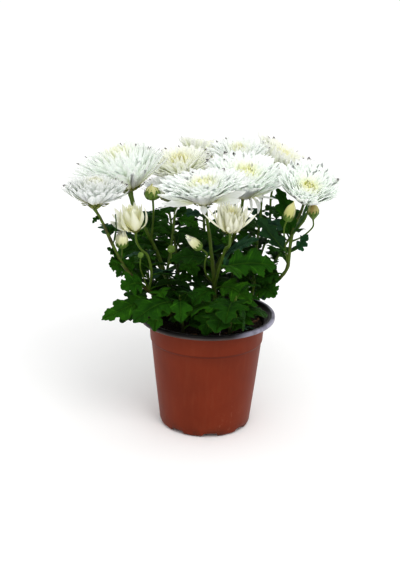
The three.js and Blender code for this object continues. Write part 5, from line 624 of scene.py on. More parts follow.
def petal_material(name, cool, warm, core, lilac):
    """Petals: pu along, pv across, pr a number for each petal, pt from the outermost to the innermost, pd a withered
    tip, pc how yellow the heart is,
    pw painted light and shade: how much brighter or darker the whole head is made."""
    m = Nodes(name)
    u, v, r, t, d, k, w = (m.attr(x) for x in ("pu", "pv", "pr", "pt", "pd", "pc", "pw"))
    at = m.place()
    # creamier towards the base of each petal and towards the middle of the head: partly the petals' own colour, partly
    # painted shade colour that turns the shaded depths of the head cream rather than grey
    warm_base_and_shade = m.math("ADD", m.span(u, 0.75, 0.1, 0.0, 0.8), m.math("MULTIPLY", m.span(t, 0.60, 1.0, 0.0, 0.8), k), clamp=True)
    warm_base_and_shade = m.math("MULTIPLY_ADD", m.noise(m.xyz(r, t, 0.0), 37.0, 1.0), 0.3, m.math("SUBTRACT", warm_base_and_shade, 0.15), clamp=True)
    c = m.mix(warm_base_and_shade, cool, warm)
    heart = m.math("MULTIPLY", m.span(t, 0.80, 0.97), m.span(u, 1.0, 0.25, 0.45, 1.0), clamp=True)
    c = m.mix(m.math("MULTIPLY", heart, k), c, core)
    c = m.mix(m.math("MULTIPLY", m.span(t, 0.975, 1.0, 0.0, 0.45), k), c, (0.70, 0.71, 0.28))
    c = m.mix(m.span(u, 0.30, 0.03, 0.0, 0.85), c, (0.80, 0.79, 0.43))
    # fine veins along the petal
    along = m.xyz(m.math("MULTIPLY_ADD", r, 31.0, m.math("MULTIPLY", v, 3.4)), m.math("MULTIPLY", u, 0.9), r)
    vein = m.noise(along, 2.6, 2.0, 0.6)
    c = m.mix(1.0, c, m.math("MULTIPLY_ADD", vein, 0.12, 0.94), "MULTIPLY")
    # some petals are whiter, some greyer
    c = m.mix(1.0, c, m.math("MULTIPLY_ADD", m.noise(m.xyz(m.math("MULTIPLY", r, 57.0), 0.0, 1.0), 3.0, 0.0), 0.12, 0.95), "MULTIPLY")
    aged = m.span(m.noise(m.xyz(m.math("MULTIPLY", r, 17.0), m.math("MULTIPLY", u, 1.5), 3.0), 3.0, 2.0), 0.58, 0.80, 0.0, 0.45)
    c = m.mix(aged, c, lilac)
    # painted light and shade: each whole head is made brighter or darker
    c = m.mix(1.0, c, w, "MULTIPLY")
    # withered tips
    edge = m.math("MULTIPLY_ADD", m.noise(at, 900.0, 2.0), 0.10, u)
    c = m.mix(m.math("MULTIPLY", d, m.span(edge, 0.925, 0.985, 0.0, 0.45), clamp=True), c, (0.24, 0.19, 0.15))
    c = m.mix(m.math("MULTIPLY", d, m.span(edge, 0.970, 1.01), clamp=True), c, (0.020, 0.018, 0.020))
    n = m.bump(vein, 0.25, 0.0005)
    return m.done(c, m.math("MULTIPLY_ADD", vein, 0.15, 0.50), n,
                  Subsurface_Weight=0.75, Subsurface_Radius=(0.005, 0.005, 0.0045), Subsurface_Scale=1.0, Specular_IOR_Level=0.25)


def calyx_material():
    m = Nodes("involucre_green")
    u, r = m.attr("pu"), m.attr("pr")
    at = m.place()
    c = m.ramp(m.math("MULTIPLY_ADD", m.noise(at, 420.0, 3.0), 0.5, m.math("MULTIPLY", u, 0.6)), [(0.1, (0.045, 0.075, 0.012)), (0.5, (0.13, 0.17, 0.025)), (0.9, (0.36, 0.34, 0.08))])
    c = m.mix(m.span(m.noise(m.xyz(m.math("MULTIPLY", r, 9.0), u, 0.0), 6.0), 0.5, 0.75, 0.0, 0.5), c, (0.10, 0.06, 0.018))
    n = m.bump(m.noise(at, 1500.0, 3.0), 0.4, 0.0004)
    return m.done(c, m.math("MULTIPLY_ADD", m.noise(at, 700.0), 0.2, 0.45), n, Specular_IOR_Level=0.4)


def stem_material():
    m = Nodes("ribbed_stem")
    ang, s, r = m.attr("ang"), m.attr("su"), m.attr("sr")
    at = m.place()
    # pale green above, darker and browner towards the foot, with streaks along the ribs
    streak = m.noise(m.xyz(m.math("MULTIPLY", ang, 26.0), m.math("MULTIPLY", s, 4.0), m.math("MULTIPLY", r, 9.0)), 1.0, 3.0)
    mott = m.noise(at, 160.0, 4.0)
    c = m.ramp(m.math("MULTIPLY_ADD", streak, 0.35, m.math("MULTIPLY_ADD", s, 0.55, m.math("MULTIPLY", mott, 0.2))),
               [(0.15, (0.036, 0.050, 0.005)), (0.42, (0.052, 0.090, 0.006)), (0.75, (0.080, 0.140, 0.010)), (1.0, (0.105, 0.170, 0.018))])
    c = m.mix(m.math("MULTIPLY", m.span(r, 0.5, 1.0, 0.0, 0.8), m.span(mott, 0.38, 0.60)), c, (0.042, 0.030, 0.009))
    c = m.mix(m.span(s, 0.13, 0.03, 0.0, 0.80), c, (0.014, 0.013, 0.005))
    n = m.bump(streak, 0.5, 0.0005)
    n = m.bump(m.noise(at, 1800.0, 2.0), 0.3, 0.0002, n)
    return m.done(c, m.math("MULTIPLY_ADD", mott, 0.25, 0.36), n, Specular_IOR_Level=0.25, Subsurface_Weight=0.06, Subsurface_Radius=(0.001, 0.002, 0.0005))


def leaf_material():
    """Leaves: lm along the midrib, lv from midrib to edge, lr a number for each leaf, lt its tint, lb 1 on the underside, lk 1 on petiole and midrib."""
    m = Nodes("leaf_blade")
    s, v, r, t, b, k = (m.attr(x) for x in ("lm", "lv", "lr", "lt", "lb", "lk"))
    at = m.place()
    base = m.ramp(t, [(0.0, (0.0066, 0.0350, 0.0022)), (0.30, (0.0130, 0.0640, 0.0032)), (0.55, (0.0225, 0.0930, 0.0042)), (0.78, (0.048, 0.134, 0.0080)), (0.88, (0.0110, 0.0560, 0.0180)), (1.0, (0.0240, 0.0720, 0.0440))])
    mott = m.noise(at, 130.0, 4.0)
    c = m.mix(m.math("MULTIPLY", m.span(mott, 0.35, 0.68), 0.70), base, m.mix(1.0, base, (1.9, 1.65, 1.35), "MULTIPLY"))
    # painted shade: darker in the folds beside the midrib and towards the stalk
    c = m.mix(m.math("MULTIPLY", m.span(v, 0.42, 0.10), m.span(s, 0.9, 0.3, 0.35, 0.8)), c, m.mix(1.0, c, (0.50, 0.58, 0.60), "MULTIPLY"))
    # side veins run from the midrib to the edge, so they lie at fixed places along the blade
    wob = m.math("MULTIPLY_ADD", m.noise(m.xyz(s, v, r), 9.0, 1.0), 0.016, m.math("SUBTRACT", s, 0.008))
    side = None
    for at_m, w in ((0.075, 0.011), (0.355, 0.012), (0.665, 0.010)):
        f = m.span(m.math("ABSOLUTE", m.math("SUBTRACT", wob, at_m)), w, 0.001)
        side = f if side is None else m.math("MAXIMUM", side, f)
    small = m.math("ABSOLUTE", m.math("SINE", m.math("MULTIPLY_ADD", wob, 60.0, m.math("MULTIPLY", v, 2.2))))
    small = m.span(small, 0.24, 0.02, 0.0, 0.55)
    side = m.math("MAXIMUM", m.math("MULTIPLY", side, m.span(v, 1.0, 0.55, 0.25, 1.0)), m.math("MULTIPLY", small, m.span(v, 1.0, 0.5, 0.15, 1.0)))
    mid = m.span(v, 0.085, 0.02)
    vein = m.math("MAXIMUM", side, mid, clamp=True)
    pale = m.mix(1.0, c, (2.6, 2.0, 2.4), "MULTIPLY")
    c = m.mix(m.math("MULTIPLY", vein, 0.72), c, pale)
    # worn edge, paler underside
    c = m.mix(m.math("MULTIPLY", m.span(v, 0.93, 1.0), m.span(m.noise(at, 300.0), 0.45, 0.7)), c, (0.075, 0.11, 0.012))
    under = m.mix(0.5, c, (0.022, 0.046, 0.016))
    c = m.mix(b, c, under)
    c = m.mix(m.math("MULTIPLY", k, 0.75), c, (0.036, 0.085, 0.006))
    net = m.cells(at, 900.0, "DISTANCE_TO_EDGE")
    h = m.math("ADD", m.math("MULTIPLY", vein, -0.75), m.math("MULTIPLY", m.span(net, 0.0, 0.12), 0.35))
    n = m.bump(h, 0.70, 0.0010)
    n = m.bump(m.noise(at, 420.0, 3.0), 0.35, 0.0006, n)
    return m.done(c, m.math("MULTIPLY_ADD", mott, 0.22, 0.42), n, Specular_IOR_Level=0.045, Subsurface_Weight=0.05, Subsurface_Radius=(0.0008, 0.0016, 0.0004))


def bud_material():
    """Buds: bu along, ba around, br a number for each, bg 1 on green bracts."""
    m = Nodes("bud_petals_and_bracts")
    u, a, r, g = (m.attr(x) for x in ("bu", "ba", "br", "bg"))
    at = m.place()
    lines = m.noise(m.xyz(m.math("MULTIPLY", a, 40.0), m.math("MULTIPLY", u, 2.0), r), 1.2, 2.0)
    cream = m.ramp(m.math("MULTIPLY_ADD", lines, 0.35, m.math("MULTIPLY", u, 0.75)), [(0.1, (0.30, 0.33, 0.12)), (0.45, (0.56, 0.57, 0.30)), (0.85, (0.84, 0.83, 0.62))])
    cream = m.mix(m.span(r, 0.30, 0.58, 0.0, 0.85), cream, (0.46, 0.45, 0.15))
    cream = m.mix(m.span(r, 0.60, 0.85, 0.0, 0.8), cream, (0.33, 0.23, 0.07))
    green = m.ramp(m.noise(at, 380.0, 3.0), [(0.3, (0.060, 0.120, 0.012)), (0.7, (0.150, 0.240, 0.030))])
    c = m.mix(g, cream, green)
    n = m.bump(lines, 0.4, 0.0006)
    return m.done(c, m.math("MULTIPLY_ADD", lines, 0.15, 0.45), n, Specular_IOR_Level=0.38, Subsurface_Weight=0.12, Subsurface_Radius=(0.002, 0.002, 0.001))


def soil_material():
    m = Nodes("peat_mix")
    at = m.place()
    k = m.attr("sk")
    clod = m.noise(at, 240.0, 5.0, 0.65)
    c = m.ramp(clod, [(0.25, (0.006, 0.004, 0.003)), (0.5, (0.018, 0.011, 0.007)), (0.72, (0.045, 0.027, 0.016)), (0.9, (0.085, 0.052, 0.030))])
    c = m.mix(m.span(k, 0.55, 1.0, 0.0, 0.85), c, (0.16, 0.085, 0.040))
    fib = m.noise(m.xyz(m.split(at)[0], m.math("MULTIPLY", m.split(at)[1], 5.0), m.split(at)[2]), 500.0, 2.0)
    c = m.mix(m.span(fib, 0.66, 0.76, 0.0, 0.35), c, (0.13, 0.085, 0.045))
    n = m.bump(clod, 0.9, 0.0015)
    n = m.bump(m.noise(at, 1600.0, 3.0, 0.7), 0.7, 0.0005, n)
    return m.done(c, m.math("MULTIPLY_ADD", clod, 0.2, 0.75), n, Specular_IOR_Level=0.22)


def pot_material():
    """The pot: kb 1 on the black inner layer that turns over the lip."""
    m = Nodes("nursery_pot_plastic")
    at = m.place()
    x, y, z = m.split(at)
    blk = m.attr("kb")
    cloud = m.noise(at, 22.0, 4.0)
    c = m.ramp(cloud, [(0.30, (0.146, 0.0205, 0.0050)), (0.55, (0.170, 0.0238, 0.0056)), (0.75, (0.188, 0.0290, 0.0078))])
    # faint flow marks that run up the wall, and rubbed scuffs
    flow = m.noise(m.xyz(m.math("MULTIPLY", x, 9.0), m.math("MULTIPLY", y, 9.0), z), 26.0, 3.0)
    c = m.mix(m.span(flow, 0.45, 0.75, 0.0, 0.28), c, (0.205, 0.045, 0.018))
    scuff = m.math("MULTIPLY", m.span(m.noise(m.xyz(m.math("MULTIPLY", x, 2.2), m.math("MULTIPLY", y, 2.2), z), 210.0, 6.0, 0.75), 0.60, 0.70), m.span(m.noise(at, 17.0, 2.0), 0.50, 0.64))
    c = m.mix(m.math("MULTIPLY", scuff, 0.40), c, (0.42, 0.20, 0.12))
    # darker in patches towards the bottom
    low_darkening = m.math("MULTIPLY", m.span(z, 0.014, 0.0, 0.0, 0.55), m.span(m.noise(at, 130.0, 4.0), 0.35, 0.7))
    c = m.mix(low_darkening, c, (0.050, 0.020, 0.010))
    # painted shade: the undercut of the stacking step is darker, and the wall just under it a little
    c = m.mix(m.math("MULTIPLY", m.span(z, 0.0838, 0.0848), m.span(z, 0.0872, 0.0860, 0.0, 0.60)), c, (0.085, 0.0100, 0.0020))
    c = m.mix(m.math("MULTIPLY", m.span(z, 0.0740, 0.0842, 0.0, 0.30), m.span(z, 0.0862, 0.0850)), c, (0.110, 0.0150, 0.0040))
    black = m.mix(m.span(m.noise(at, 90.0, 4.0), 0.55, 0.8, 0.0, 0.5), (0.005, 0.004, 0.004), (0.030, 0.024, 0.021))
    # painted highlight: the rolled outer edge of the lip is a lighter grey-brown
    edge = m.math("MULTIPLY", m.span(z, 0.1096, 0.1078), m.span(z, 0.1050, 0.1060))
    black = m.mix(m.math("MULTIPLY", edge, m.span(m.noise(at, 60.0, 3.0), 0.35, 0.65, 0.55, 1.0)), black, (0.085, 0.066, 0.060))
    # painted sheen: the lip is a lighter lavender-grey at one side, where it catches the light
    far = m.math("SQRT", m.math("MULTIPLY_ADD", x, x, m.math("MULTIPLY", y, y)))
    painted_lip_sheen = m.math("MULTIPLY", m.math("MULTIPLY", m.span(x, 0.020, 0.050), m.span(far, 0.0612, 0.0630)), m.math("MULTIPLY", m.span(z, 0.1062, 0.1072), m.span(m.noise(at, 75.0, 3.0), 0.30, 0.60, 0.5, 1.0)))
    black = m.mix(m.math("MULTIPLY", painted_lip_sheen, 0.90), black, (0.34, 0.33, 0.42))
    c = m.mix(blk, c, black)
    rough = m.mix(blk, m.math("MULTIPLY_ADD", flow, 0.16, 0.40), m.math("MULTIPLY_ADD", m.noise(at, 160.0, 3.0), 0.16, 0.24))
    n = m.bump(m.noise(at, 700.0, 3.0), 0.12, 0.0003)
    n = m.bump(flow, 0.10, 0.0012, n)
    n = m.bump(scuff, 0.25, 0.0003, n)
    return m.done(c, rough, n, Specular_IOR_Level=0.16, Sheen_Weight=0.04, Sheen_Roughness=0.35)


def fibre_material():
    m = Nodes("dry_fibre")
    at = m.place()
    c = m.ramp(m.noise(at, 600.0, 2.0), [(0.3, (0.42, 0.40, 0.32)), (0.7, (0.72, 0.70, 0.60))])
    return m.done(c, m.math("MULTIPLY_ADD", m.noise(at, 900.0, 2.0), 0.2, 0.45))


MAT_PETAL = petal_material("petal_white", (0.897, 0.925, 0.899), (0.91, 0.92, 0.75), (0.91, 0.90, 0.42), (0.83, 0.81, 0.80))
MAT_CREAM = petal_material("petal_cream", (0.90, 0.905, 0.69), (0.90, 0.885, 0.48), (0.92, 0.85, 0.34), (0.80, 0.72, 0.62))
MAT_IVORY = petal_material("petal_ivory", (0.905, 0.92, 0.845), (0.91, 0.91, 0.66), (0.92, 0.89, 0.40), (0.84, 0.81, 0.74))
MAT_CALYX = calyx_material()
MAT_STEM = stem_material()
MAT_LEAF = leaf_material()
MAT_BUD = bud_material()
MAT_SOIL = soil_material()
MAT_POT = pot_material()
MAT_FIBRE = fibre_material()

# ============================================================ flower heads
PETAL_U = np.array([0, .14, .30, .47, .63, .77, .88, .955, 1.0])
SHORT_U = np.array([0, .26, .52, .74, .90, 1.0])   # for the inner petals
PETAL_V = np.array([-1, -.5, 0, .5, 1.0])


def petals(S, B, C, T, side0, W, depth, thick, twist, tipcut, rnd, ring, dark, mat=0, curl=None, core=0.0, painted_light=1.0, along=PETAL_U):
    """Petals as closed thin lenses, all at once. B, C, T: base, bend and tip of each; side0: the way across; W: half width;
    depth: how deep each is channelled, as a share of the half width; tipcut: 0 blunt to 1 pointed."""
    P, nu, nv = len(B), len(along), len(PETAL_V)
    u = along[None, :, None]
    X = (1 - u) ** 2 * B[:, None] + 2 * u * (1 - u) * C[:, None] + u ** 2 * T[:, None]
    tan = unit(2 * (1 - u) * (C - B)[:, None] + 2 * u * (T - C)[:, None])
    side = side0[:, None] - tan * np.sum(side0[:, None] * tan, -1, keepdims=True)
    side = unit(side)
    up = np.cross(side, tan)
    # twist along the petal
    a = (twist[:, None] * along[None])[..., None]
    side, up = side * np.cos(a) + up * np.sin(a), up * np.cos(a) - side * np.sin(a)
    if curl is not None:  # the tip bends towards the petal's upper face
        X = X + up * (curl[:, None] * smooth(0.6, 1.0, along)[None] ** 2)[..., None]
    blunt = np.sqrt(np.clip(1 - ((along - 0.66) / 0.34).clip(0) ** 2, 0, 1))
    sharp = 1 - smooth(0.50, 1.0, along) * 1.0
    tip = blunt[None] * (1 - tipcut[:, None]) + np.minimum(blunt, sharp ** 0.8)[None] * tipcut[:, None]
    width = W[:, None] * (0.36 + 0.64 * smooth(0.0, 0.58, along))[None] * np.maximum(tip, 0.07)
    v = PETAL_V
    top = (X[:, :, None] + side[:, :, None] * (width[:, :, None] * v)[..., None]
           + up[:, :, None] * (depth[:, None, None] * width[:, :, None] * (np.abs(v) ** 1.7)[None, None])[..., None])
    low = top - up[:, :, None] * (thick * (1 - v ** 2))[None, None, :, None] * np.where(along > 0.97, 0.5, 1.0)[None, :, None, None]
    ringv = np.concatenate([top, low[:, :, -2:0:-1]], axis=2)  # once round the section
    around = ringv.shape[2]
    i, j = np.meshgrid(np.arange(nu - 1), np.arange(around), indexing="ij")
    k = (j + 1) % around
    quads = np.stack([i * around + j, i * around + k, (i + 1) * around + k, (i + 1) * around + j], -1).reshape(-1, 4)
    # the ends: top row against bottom row
    tris = []
    lowid = lambda x: (2 * (nv - 1) - x) % around
    for row, turn in ((0, True), (nu - 1, False)):
        o = row * around
        for x in range(nv - 1):
            a0, a1, b1, b0 = x, x + 1, lowid(x + 1), lowid(x)
            for tri in ((a0, a1, b1), (a0, b1, b0)):
                if len(set(tri)) == 3:
                    tris.append([o + z for z in (tri if not turn else tri[::-1])])
    tris = np.array(tris)
    n = nu * around
    off = (np.arange(P) * n)[:, None, None]
    pv = np.concatenate([v, v[-2:0:-1]])
    S.add(ringv.reshape(-1, 3), (quads[None] + off).reshape(-1, 4), (tris[None] + off).reshape(-1, 3), mat,
          pu=np.tile(np.repeat(along, around), P), pv=np.tile(pv, P * nu),
          pr=np.repeat(rnd, n), pt=np.repeat(ring, n), pd=np.repeat(dark, n), pc=core, pw=painted_light)


def lathe(S, profile, around, M=None, O=(0, 0, 0), mat=0, **values):
    """a closed turned solid; the profile runs up the outside from the axis to the axis"""
    prof = np.array(profile, float)
    a = np.arange(around) * 2 * np.pi / around
    mid = prof[1:-1]
    V = np.stack([mid[:, 0][:, None] * np.cos(a), mid[:, 0][:, None] * np.sin(a), np.broadcast_to(mid[:, 1][:, None], (len(mid), around))], -1)
    verts = np.vstack([V.reshape(-1, 3), [0, 0, prof[0, 1]], [0, 0, prof[-1, 1]]])
    quads, tris = rings_faces(len(mid), around)
    if M is not None:
        verts = verts @ np.array(M).T
    verts = verts + np.array(O)
    full = {}
    for k, x in values.items():
        x = np.broadcast_to(np.asarray(x, float), (len(mid),))
        full[k] = np.r_[np.repeat(x, around), x[0], x[-1]]
    if "ang" in S.names:
        full["ang"] = np.r_[np.tile(a / (2 * np.pi), len(mid)), 0, 0]
    S.add(verts, quads, tris, mat, **full)


def bracts(S, M, O, r0, z0, length, lean, width, count, turn, mat=1, rng=None):
    """a ring of small pointed scales round a calyx"""
    phi = turn + np.arange(count) * 2 * np.pi / count + rng.uniform(-0.1, 0.1, count)
    er = np.stack([np.cos(phi), np.sin(phi), 0 * phi], -1)
    ez = np.array([0, 0, 1.0])
    L = length * rng.uniform(0.88, 1.12, count)
    B = er * r0 + ez * z0
    ln = lean + rng.uniform(-0.12, 0.12, count)
    T = B + (er * np.sin(ln)[:, None] + ez * np.cos(ln)[:, None]) * L[:, None]
    C = (B + T) / 2 + er * (0.16 * L)[:, None]
    side = np.cross(ez, er)
    W = width * rng.uniform(0.85, 1.15, count)
    petals(S, B @ M.T + O, C @ M.T + O, T @ M.T + O, -side @ M.T, W, np.full(count, -0.35), 0.35, np.zeros(count), np.ones(count),
           rng.uniform(0, 1, count), np.zeros(count), np.zeros(count), mat)


def head_visual(name, h):
    """One flower head: involucre with bracts, then petals from the outermost in, by the golden angle."""
    rng = np.random.default_rng(h["seed"])
    R, kind = h["radius"], h["kind"]
    M, O = to_axis(h["axis"]), np.array(h["base"])
    S = Solids(["pu", "pv", "pr", "pt", "pd", "pc", "pw"])
    N, Wd, tall = h["petals"], h["width"], h.get("rise", 1.0)
    t = (np.arange(N) + 0.5) / N
    phi = np.arange(N) * 2.399963 + h["seed"] * 0.7 + rng.normal(0, 0.07, N)
    er = np.stack([np.cos(phi), np.sin(phi), 0 * phi], -1)
    ephi = np.stack([-np.sin(phi), np.cos(phi), 0 * phi], -1)
    ez = np.array([0, 0, 1.0])
    if kind != "half":
        # a bowl of petals: how high their tips stand at the edge, over the heart, and in between
        cr, cz = (0.20 * R, 0.13 * R * h.get("cone", 1.0)) if kind == "open" else (0.26 * R, 0.30 * R)
        rb, zb = cr * 0.94 * np.sqrt(1 - t) + 0.2, cz * (0.62 + 0.9 * t)
        share = (1 - t) ** 0.70
        outer, heart, crown = h.get("outer", 0.62), h.get("heart", 0.72), h.get("crown", 0.07)
        rt = R * h.get("spread", 1.0) * (share * 1.03 + 0.02) * rng.normal(1, 0.030, N)
        zt = R * (heart + (outer - heart) * share ** 1.5 + crown * 4 * share * (1 - share)) + R * rng.normal(0, 0.024, N)
        # the petals in front may stand steeper and those behind lie lower; the bowl may stand higher on one side
        rt = np.minimum(rt, R * h.get("spread", 1.0) * 1.09)
        fore, aft = np.clip(-np.sin(phi), 0, 1) ** 1.4 * share, np.clip(np.sin(phi), 0, 1) ** 1.4 * share
        (fr, fz), (ar, az_) = h.get("fore", (0, 0)), h.get("aft", (0, 0))
        rt = rt * (1 - fr * fore - ar * aft)
        high, side_ = h.get("high", (0, 0))
        zt = zt + R * (fz * fore - az_ * aft + high * np.cos(phi - math.radians(side_)) * share)
        # the outer petals arch outwards, the inner ones stand up and curl over the heart
        chord = np.arctan2(zt - zb, np.maximum(rt - rb, 0.01))
        start = chord + np.radians(h.get("arch", 9.0)) * share + np.radians(rng.normal(0, 4, N))
        W = Wd * (1.0 - 0.42 * t + h.get("broad", 0.12) * share ** 3) * rng.normal(1, 0.09, N)
        depth = 0.10 + 0.24 * t + rng.normal(0, 0.04, N)
        tipcut = np.clip(rng.normal(0.22, 0.18, N), 0, 1)
        curl = (0.015 + 0.11 * smooth(0.60, 1.0, t)) * R * rng.uniform(0.2, 1.2, N)
        cup = 0.48
    else:
        H = R * h["tall"] * tall
        cr, cz = 0.27 * R, 0.13 * H
        rb, zb = cr * 0.85 * np.sqrt(1 - t) + 0.3, cz * (0.5 + 0.8 * t)
        share = (1 - t) ** 0.55
        rt = R * h.get("mouth", 0.92) * share * rng.normal(1, 0.08, N)
        zt = H * (h.get("tip", 0.86) + (0.98 - h.get("tip", 0.86)) * smooth(0.0, 0.45, t) - 0.07 * t) * rng.normal(1, 0.045, N)
        start = np.radians(h.get("bulge", 30) + (88 - h.get("bulge", 30)) * smooth(0.0, 0.6, t))
        W = Wd * (1.0 - 0.35 * t) * rng.normal(1, 0.08, N)
        depth = h.get("hollow", 0.30) + rng.normal(0, 0.05, N)
        tipcut = np.clip(rng.normal(h.get("point", 0.6), 0.15, N), 0, 1)
        curl = 0.03 * R * rng.uniform(-0.4, 1.2, N)
        cup = h.get("cup", 0.42)
    B = er * rb[:, None] + ez * zb[:, None]
    T = er * rt[:, None] + ez * zt[:, None] + ephi * (rng.normal(0, 0.035, N) * rt)[:, None]
    L = np.linalg.norm(T - B, axis=1)
    C = B + (er * np.cos(start)[:, None] + ez * np.sin(start)[:, None]) * (cup * L)[:, None] + ephi * (rng.normal(0, 0.05, N) * L)[:, None]
    # petals that have strayed: azimuth in degrees, radius and height of the tip and of the bend, half width, twist
    turned = []
    lean = np.array([*h.get("drift", (0, 0)), 0.0])
    T, C = T + lean * (0.35 + 0.65 * share)[:, None], C + lean * (0.35 * share)[:, None]
    for az, r, z, br, bz, w, *tw in h.get("stray", []):
        turned.append(tw[0] if tw else 0.0)
        a = math.radians(az)
        e = np.array([math.cos(a), math.sin(a), 0])
        B = np.vstack([B, e * cr * 0.9 + ez * cz * 0.7])
        T = np.vstack([T, e * r + ez * z])
        C = np.vstack([C, e * br + ez * bz])
        ephi = np.vstack([ephi, [-math.sin(a), math.cos(a), 0]])
        W, depth, tipcut, curl = np.r_[W, w], np.r_[depth, 0.2], np.r_[tipcut, 0.4], np.r_[curl, 0.0]
        t = np.r_[t, 0.02]
    N = len(B)
    # withered tips: on the outer petals, mostly away from the front
    world_tip = T @ M.T
    back = smooth(-0.35, 0.5, world_tip[:, 1] / R)
    sides = smooth(0.55, 0.95, np.abs(world_tip[:, 0]) / R) * smooth(-0.75, -0.2, world_tip[:, 1] / R)
    chance = h.get("dark", 0.10) * np.maximum(back, sides) * (t < 0.55)
    dark = (rng.random(N) < chance).astype(float)
    rnd, twist = rng.random(N), rng.normal(0, 0.16, N)
    twist[N - len(turned):] += turned
    for pick, along in ((t < 0.5, PETAL_U), (t >= 0.5, SHORT_U)):
        g = lambda x: x[pick]
        petals(S, g(B) @ M.T + O, g(C) @ M.T + O, g(T) @ M.T + O, -g(ephi) @ M.T, g(W), g(depth), 0.42, g(twist), g(tipcut),
               g(rnd), g(t), g(dark), 0, g(curl), core=h.get("core", 0.7), painted_light=h.get("painted_light", 0.95), along=along)
    # involucre: a small cone with pointed bracts pressed against the petals
    cr, cz = cr * h.get("involucre", 1.0), cz * h.get("involucre", 1.0)
    lathe(S, [(0, -0.7), (1.4, -0.7), (1.8, 0.0), (cr * 0.66, cz * 0.30), (cr * 0.93, cz * 0.62), (cr * 0.98, cz * 0.92), (cr * 0.6, cz * 1.15), (0, cz * 1.2)], 28, M, O, 1,
          pu=[0, .1, .3, .5, .7, .8], pr=rng.random())
    slope = math.atan2(cr - 1.8, cz)
    bw = 0.20 * cr
    bracts(S, M, O, 2.0, -0.2, cz * 0.75, min(1.15, slope + 0.12), bw, 9, 0.2, rng=rng)
    bracts(S, M, O, cr * 0.60, cz * 0.24, cz * 0.85, min(1.05, slope - 0.02), bw, 12, 0.5, rng=rng)
    # the last ring lies against the backs of the outer petals
    bracts(S, M, O, cr * 0.95, cz * 0.50, max(2.2, cz * 0.62), math.pi / 2 - float(np.median(start[:20])) + 0.10, bw, 15, 0.1, rng=rng)
    return S.build(name, [MAT_CREAM if kind == "half" else MAT_IVORY if h.get("cream") else MAT_PETAL, MAT_CALYX], sharp=62)


